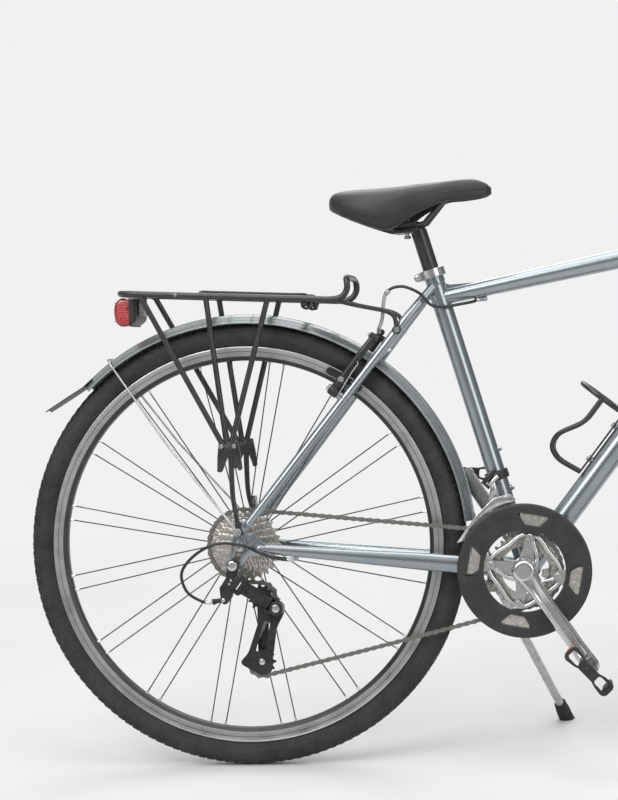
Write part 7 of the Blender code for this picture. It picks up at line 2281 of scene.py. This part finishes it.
def makeBottleCage():
    look = cageLook
    spot = bracket + downDir * sum(frameLook["bottleHoles"]) / 2
    bossTop = frameLook["down"] + 2
    base = spot + downUp * (bossTop + gap + 1.5)
    centre = base + downUp * 39.5
    spine = Shape().block(base + downDir * 5, (132, 15, 3), (downDir, axisY, downUp)).eased(1.3, 3)
    s = Shape()
    turn = []
    for i in range(49):
        angle = radians(-90 + 7.5 * i)
        turn.append(centre + axisY * cos(angle) * look["ring"] + downUp * sin(angle) * look["ring"]
            + downDir * look["high"])
    foot = base + downDir * look["high"] + downUp * 0.4
    s.tube([foot + axisY * 3] + turn[3:46] + [foot - axisY * 3], look["wire"], 16)
    for side in (1, -1):
        hold = centre + axisY * side * look["ring"]
        path = [hold + downDir * 56, hold + downDir * 10, centre + axisY * side * 30 + downUp * 24
            - downDir * 30, centre + axisY * side * 18 + downUp * 20 - downDir * 52,
            centre + axisY * side * 9 - downDir * 62, base + axisY * side * 5 - downDir * 57]
        s.tube(softCorners(path, 14), look["wire"], 16)
    finished([spine, s], "bottleCage", satinBlack, "frame", "black_metal", "bottle_cage", sharp=45)
    bolts = Shape()
    for far in frameLook["bottleHoles"]:
        at = bracket + downDir * far
        capBolt(bolts, at + downUp * (bossTop + gap + 2.9), downUp, 4.4, 3.4)
        bolts.rod(at + downUp * frameLook["down"], at + downUp * 24, 2.5, 16, 0.2)
    for far in frameLook["seatHoles"]:   # spare holes in the seat tube
        at = bracket + seatDir * far + seatAhead * 17.8
        capBolt(bolts, at, seatAhead, 3.7, 2.6)
    bolts.finish("bottleBolts", chrome, "frame", "steel")


standLook = {"hinge": Vector((bracket.x - 54, 26, -76)), "foot": Vector((484, 265, -322)),
    "stow": Vector((-0.985, 0.11, -0.13)).normalized()}


def makeStand():
    look = standLook
    hinge, foot = look["hinge"], look["foot"]
    things = []
    for centre, size in (((hinge.x - 2, 0, hinge.z + 6), (34, 42, 7)), ((hinge.x - 2, 0, hinge.z + 17),
            (12, 16, 21)), ((hinge.x - 2, 21, hinge.z - 2), (30, 7, 16))):
        things.append(Shape().block(centre, size).eased(1.4, 3))
    down = (foot - hinge).normalized()
    axis = down.cross(look["stow"]).normalized()
    s = Shape().rod(hinge - axis * 2, hinge + axis * 18.5, 4, 28, 0.5)
    capBolt(s, (hinge.x - 2, 0, hinge.z + 2.6), -up, 6.4, 4.4)
    capBolt(s, hinge + axis * 17.9, axis, 6.8, 2.4)
    finished(things + [s], "standMount", dullAlloy, "frame", "steel", "kickstand_mount", sharp=40)
    s = Shape().turned([(5, 4.35), (5, 9.4), (6, 10.5), (16.5, 10.5), (17.5, 9.6), (17.5, 4.35)], hinge,
        axis, 40, ring=True)
    start = hinge + axis * 11.2
    path = [start + down * 6, start + down * 26, foot - down * 30 + axis * 6, foot - down * 17 + axis * 3.6]
    s.tube(softCorners(path, 10), 6.8, 28)
    s.finish("standLeg", dullAlloy, "kickstand", "alloy", "kickstand_leg", sharp=50)
    # Rubber foot, cut level where it stands
    rings = []
    for back, radius in ((36, 8.6), (34.5, 10), (26, 10.6), (22, 11.5), (8, 11.8)):
        middle = foot - down * back + axis * (back / 26 * 5)
        across = (axisY - down * axisY.dot(down)).normalized()
        high = down.cross(across)
        rings.append(oval(middle, across * radius, high * radius, 32))
    level = []
    toGround = lean.inverted() @ Vector((0, 0, -1))
    ground = hubPlace.z / mm - 0.15
    for p in rings[-1]:
        far = (ground - p.dot(toGround)) / down.dot(toGround)
        level.append(p + down * min(far, 26.0))
    rings.append([r + (p - r) * 0.92 for r, p in zip(rings[-1], level)])
    rings.append([sum(level, Vector()) / 32 + (p - sum(level, Vector()) / 32) * 0.93 for p in level])
    Shape().loft(rings).finish("standFoot", gripRubber, "kickstand", "rubber", sharp=50)


makeBottleCage()
makeStand()
note("bottle cage and stand ready")


# Fork, stem and handlebar
steerLook = {"steerer": 14.3, "stack": 45.0, "reach": 100.0, "rise": 35.0, "bar": 11.1, "half": 298.0,
    "grip": 16.5, "long": 95.0, "shift": 50.0, "perch": 16.0, "lever": 92.0}
stemDir = Vector((cos(radians(steerLook["rise"])), 0, sin(radians(steerLook["rise"]))))
barCentre = headTop + headDir * steerLook["stack"] + stemDir * steerLook["reach"]


def makeFork():
    look = steerLook
    crown = steerFoot + headDir * geometry["forkCrown"]
    top = headTop + headDir * (look["stack"] + 22)
    s = Shape().rod(crown - headDir * 14, top, look["steerer"], 40)
    s.turned([(404, 14.2), (404, 20), (406, 21), (416, 21), (419, 19), (422, 17), (428, 20), (430, 20),
        (430, 14.2)], steerFoot, headDir, 56, ring=True)
    shoulder = crown + headAhead * 2 - headDir * 8
    across = [shoulder - axisY * 44, crown - axisY * 20, crown, crown + axisY * 20, shoulder + axisY * 44]
    s.bent(across, [(13, 14), (15, 15), (15.4, 15.4), (15, 15), (13, 14)], 4, 36, side=headDir)
    things = []
    for side in (1, -1):
        leg = forkLeg(side)
        s.bent(leg, [12.5, 12.5, 11.5, 9.5, 7.5, 6.5], 8, 36)
        s.ball(leg[0], 12.5, headDir, 32, 0.7)
        edge = around(frontHub, (-22, -8), (-6, -13), (-5.3, -13), (-5.3, 0))
        edge += [polar(frontHub, angle, 5.3) for angle in (150, 120, 90, 60, 30)]
        edge += around(frontHub, (5.3, 0), (5.3, -11), (8, -10), (9, 8), (-4, 26), (-20, 20), (-24, 2))
        things.append(Shape().plate(edge, side * forkIn, side * (forkIn + forkThick)).eased(0.6))
        boss = forkBoss(side)
        s.turned([(-4, 8), (13, 8), (13.6, 7.4), (13.6, 4.5), (29.4, 4.5), (30, 4)], boss, headAhead, 36)
    finished([s] + things, "forkLegs", paint, "steering", "paint", "fork", sharp=44)
    s = Shape()
    for side in (1, -1):
        s.turned([(0, 4.4), (0.8, 5.6), (2.2, 5.6), (2.6, 5)], forkBoss(side) + headAhead * 29.6, headAhead,
            24)
    s.turned([(0, 14.2), (0, 18.6), (5.6, 18.8), (6, 18.2), (6, 14.2)], headTop + headDir * 9.6, headDir,
        48, ring=True)
    s.finish("steererRings", dullAlloy, "steering", "steel")


def barPath():
    half = [(0, 0, 0), (0, 34, 0), (3, 62, 4), (5, 92, 12), (2, 116, 16), (-6, 136, 17),
        (-52, steerLook["half"], 14)]
    full = [Vector((x, -y, z)) for x, y, z in reversed(half[1:])] + [Vector(p) for p in half]
    return [barCentre + p for p in full]


def barLine(side):
    path = barPath()
    inner, end = (path[-2], path[-1]) if side == 1 else (path[1], path[0])
    return end, (end - inner).normalized()


def makeStem():
    look = steerLook
    bore = look["bar"] + gap
    s = Shape()
    hole = look["steerer"] + gap
    s.turned([(16, hole), (16, 18.6), (17, 19.3), (look["stack"] + 20, 19.3), (look["stack"] + 21, 18.6),
        (look["stack"] + 21, hole)], headTop, headDir, 56, ring=True)
    mid = headTop + headDir * look["stack"]
    s.bent([mid + stemDir * 15, mid.lerp(barCentre, 0.55), barCentre - stemDir * 13],
        [(15, 16), (13.4, 15), (13, 14)], 6, 40)
    s.turned(both([(-21, bore), (-21, 15.8), (-20.2, 16.6)]), barCentre, axisY, 56, ring=True)
    pinch = mid - headAhead * 20 - headDir * 6
    s.rod(pinch - axisY * 10, pinch + axisY * 10, 4.4, 28, 0.8)
    s.rod(pinch + headDir * 18 - axisY * 10, pinch + headDir * 18 + axisY * 10, 4.4, 28, 0.8)
    s.finish("stemBody", dullAlloy, "steering", "alloy", "stem", sharp=44)
    s = Shape()
    top = headTop + headDir * (look["stack"] + 21.4)
    s.turned([(-12, 13.8), (0, 13.8), (0, 18.4), (1.6, 18.4), (3.4, 16), (4, 8), (3, 7.6), (3, 4.6)], top,
        headDir, 48)
    capBolt(s, top + headDir * 2.4, headDir, 4.2, 1.8)
    for rise in (0, 18):
        capBolt(s, pinch + headDir * rise - axisY * 9.8, -axisY, 4.2, 2.4)
    for across in (-13, 13):
        for turn in (-1, 1):
            spot = barCentre + axisY * across + stemDir * 14.4 + axisY.cross(stemDir) * turn * 9
            capBolt(s, spot, stemDir, 3.4, 2.6)
    s.finish("stemTrim", blackParts, "steering", "black_metal")
    low = look["stack"] - 26 - 9.6
    s = Shape().turned([(low, hole), (low, 18.6), (low + 0.6, 19), (15.2, 19), (15.8, 18.6), (15.8, hole)],
        headTop, headDir, 48, ring=True)
    s.finish("spacer", blackParts, "steering", "black_metal")


def makeBar():
    look = steerLook
    path = barPath()
    line = flowing(softCorners(path[:-1], 16) + [path[-1]], 7)
    s = Shape().tube([p for i, p in enumerate(line) if i == 0 or (p - line[i - 1]).length > 0.5],
        look["bar"], 36)
    s.finish("barTube", satinBlack, "steering", "black_metal", "handlebar", sharp=50)
    bore = look["bar"] + gap
    for side, word in ((1, "left"), (-1, "right")):
        end, along = barLine(side)
        long = look["long"]
        radius = look["grip"]
        profile = [(2, bore), (2, radius - 1), (1.4, radius), (-3, radius), (-4, radius - 1.4)]
        ribs = 22
        for i in range(ribs):
            at = -6 - i * (long - 12) / ribs
            swell = 1.1 * sin(pi * i / ribs)
            profile += [(at, radius - 1.2 + swell), (at - 0.8, radius - 0.3 + swell),
                (at - 2.4, radius - 0.3 + swell), (at - 3.1, radius - 1.2 + swell)]
        profile += [(-long + 4, radius), (-long + 0.6, radius), (-long, radius - 0.8), (-long, bore)]
        grip = Shape().turned(profile, end, along, 56, ring=True)
        grip.finish("grip" + word.title(), gripRubber, "steering", "rubber", "grip_" + word, sharp=50)
        plug = Shape().turned([(1.4, 10.6), (2.4, 12.4), (3.4, 12.2), (4, 10), (4.2, 0.5)], end, along, 36)
        plug.finish("plug" + word.title(), blackPlastic, "steering", "black_plastic")
        start = -long - gap
        stop = start - look["shift"]
        # Twist sleeve with shallow finger ribs
        rings = []
        for at, r, deep in ((start, 17.4, 0), (start - 0.6, 18, 0), (start - 4, 18.4, 0.9),
                (start - 26, 19, 1.0), (stop + 18, 19.4, 0.9), (stop + 14, 19.5, 0), (stop + 0.6, 20, 0),
                (stop, 19.4, 0)):
            across = headAhead - along * headAhead.dot(along)
            across.normalize()
            high = along.cross(across)
            ring = []
            for i in range(96):
                angle = 2 * pi * i / 96
                far = r - deep * (0.5 - 0.5 * cos(angle * 16))
                ring.append(end + along * at + across * far * cos(angle) + high * far * sin(angle))
            rings.append(ring)
        for at in (stop, start):
            rings.append(oval(end + along * at, across * bore, high * bore, 96))
        name = "shifter" + word.title()
        Shape().loft(rings, closed=True).finish(name, gripRubber, "shifter_" + word, "rubber",
            "shifter_" + word, sharp=50)
        makeLever(side, word, end, along, stop)


def makeLever(side, word, end, along, stop):
    look = steerLook
    half = look["perch"] / 2
    at = end + along * (stop - gap - half)
    bore = look["bar"] + gap
    ahead = Vector((0.86, 0, -0.5))
    ahead = (ahead - along * ahead.dot(along)).normalized()
    top = along.cross(ahead) * side
    axes = (along, ahead, top)
    hinge = at + ahead * 37 + along
    s = Shape().turned(both([(-half, bore), (-half, 15.2), (-half + 0.8, 16)]), at, along, 48, ring=True)
    s.rod(at + ahead * 23 - along * 7, at + ahead * 23 - along * 22, 4, 28, 0.6)
    things = [Shape().block(at + ahead * 20 - along * 2, (14, 14, 12), axes).eased(2, 3)]
    for prong in (-1, 1):
        spot = at + ahead * 30 + top * prong * 6.4
        things.append(Shape().block(spot, (12, 24, 3), axes).eased(1.2, 3))
    finished(things + [s], "perch" + word.title(), blackParts, "steering", "black_metal",
        "brake_perch_" + word, sharp=40)
    s = Shape().rod(hinge - top * 8.4, hinge + top * 8.4, 2.4, 24, 0.4)
    s.turned([(0, 4), (0.6, 4.6), (6, 4.6), (6.6, 4)], at + ahead * 23 - along * 20, -along, 24)
    capBolt(s, at - ahead * 15.4, -ahead, 3.6, 2.4)
    s.finish("perchPins" + word.title(), chrome, "steering", "steel")
    long = look["lever"]
    blade = [hinge + along * 3.4 + ahead * 0.8, hinge + along * 16 + ahead * 4, hinge + along * 34
        + ahead * 20, hinge + along * 60 + ahead * 26, hinge + along * long * 1.25 + ahead * 27,
        hinge + along * long * 1.4 + ahead * 31]
    s = Shape().bent(blade, [(4, 5.6), (4, 6), (4, 4.6), (4.6, 4), (5.2, 4), (4.6, 4.5)], 5, 28, side=top)
    s.ball(blade[-1], 5.4, top, 24, 0.9)
    s.turned(both([(-4.4, 2.7), (-4.4, 5.4), (-3.8, 6)]), hinge, top, 36, ring=True)
    s.finish("lever" + word.title(), dullAlloy, "brake_lever_" + word, "alloy", "brake_lever_" + word,
        sharp=44)


def makeFrontLight():
    base = steerFoot + headDir * geometry["forkCrown"] + headAhead * 19
    lamp = base + headAhead * 34 + headDir * 14
    ahead = Vector((1, 0, -0.08)).normalized()
    s = Shape().turned([(-20, 1), (-20, 8), (-18.6, 11.4), (-14, 21), (-10, 23.6), (8, 27), (20, 28.8),
        (24.4, 28.8), (25.2, 28), (25.2, 25.6), (23, 25), (20, 24), (12, 8), (12, 0.5)], lamp, ahead, 64)
    arm = [base - headAhead * 3.7, base + headAhead * 14 - headDir * 2,
        lamp - ahead * 4 - Vector((0, 0, 16))]
    s.bent(arm, [(3, 7), (3, 7), (3, 8)], 4, 24, side=headDir)
    s.finish("frontLight", blackPlastic, "steering", "black_plastic", "front_light", sharp=40)
    s = Shape().turned([(23.2, 25.2), (24.4, 25), (26.2, 22), (27.4, 14), (27.8, 0.5)], lamp, ahead, 64)
    s.finish("frontLens", clearLens, "steering", "light")
    s = Shape()
    capBolt(s, base + headAhead * 2, headAhead, 4.6, 3)
    s.finish("frontLightBolt", chrome, "steering", "steel")


makeFork()
makeStem()
makeBar()
makeFrontLight()
note("cockpit ready")
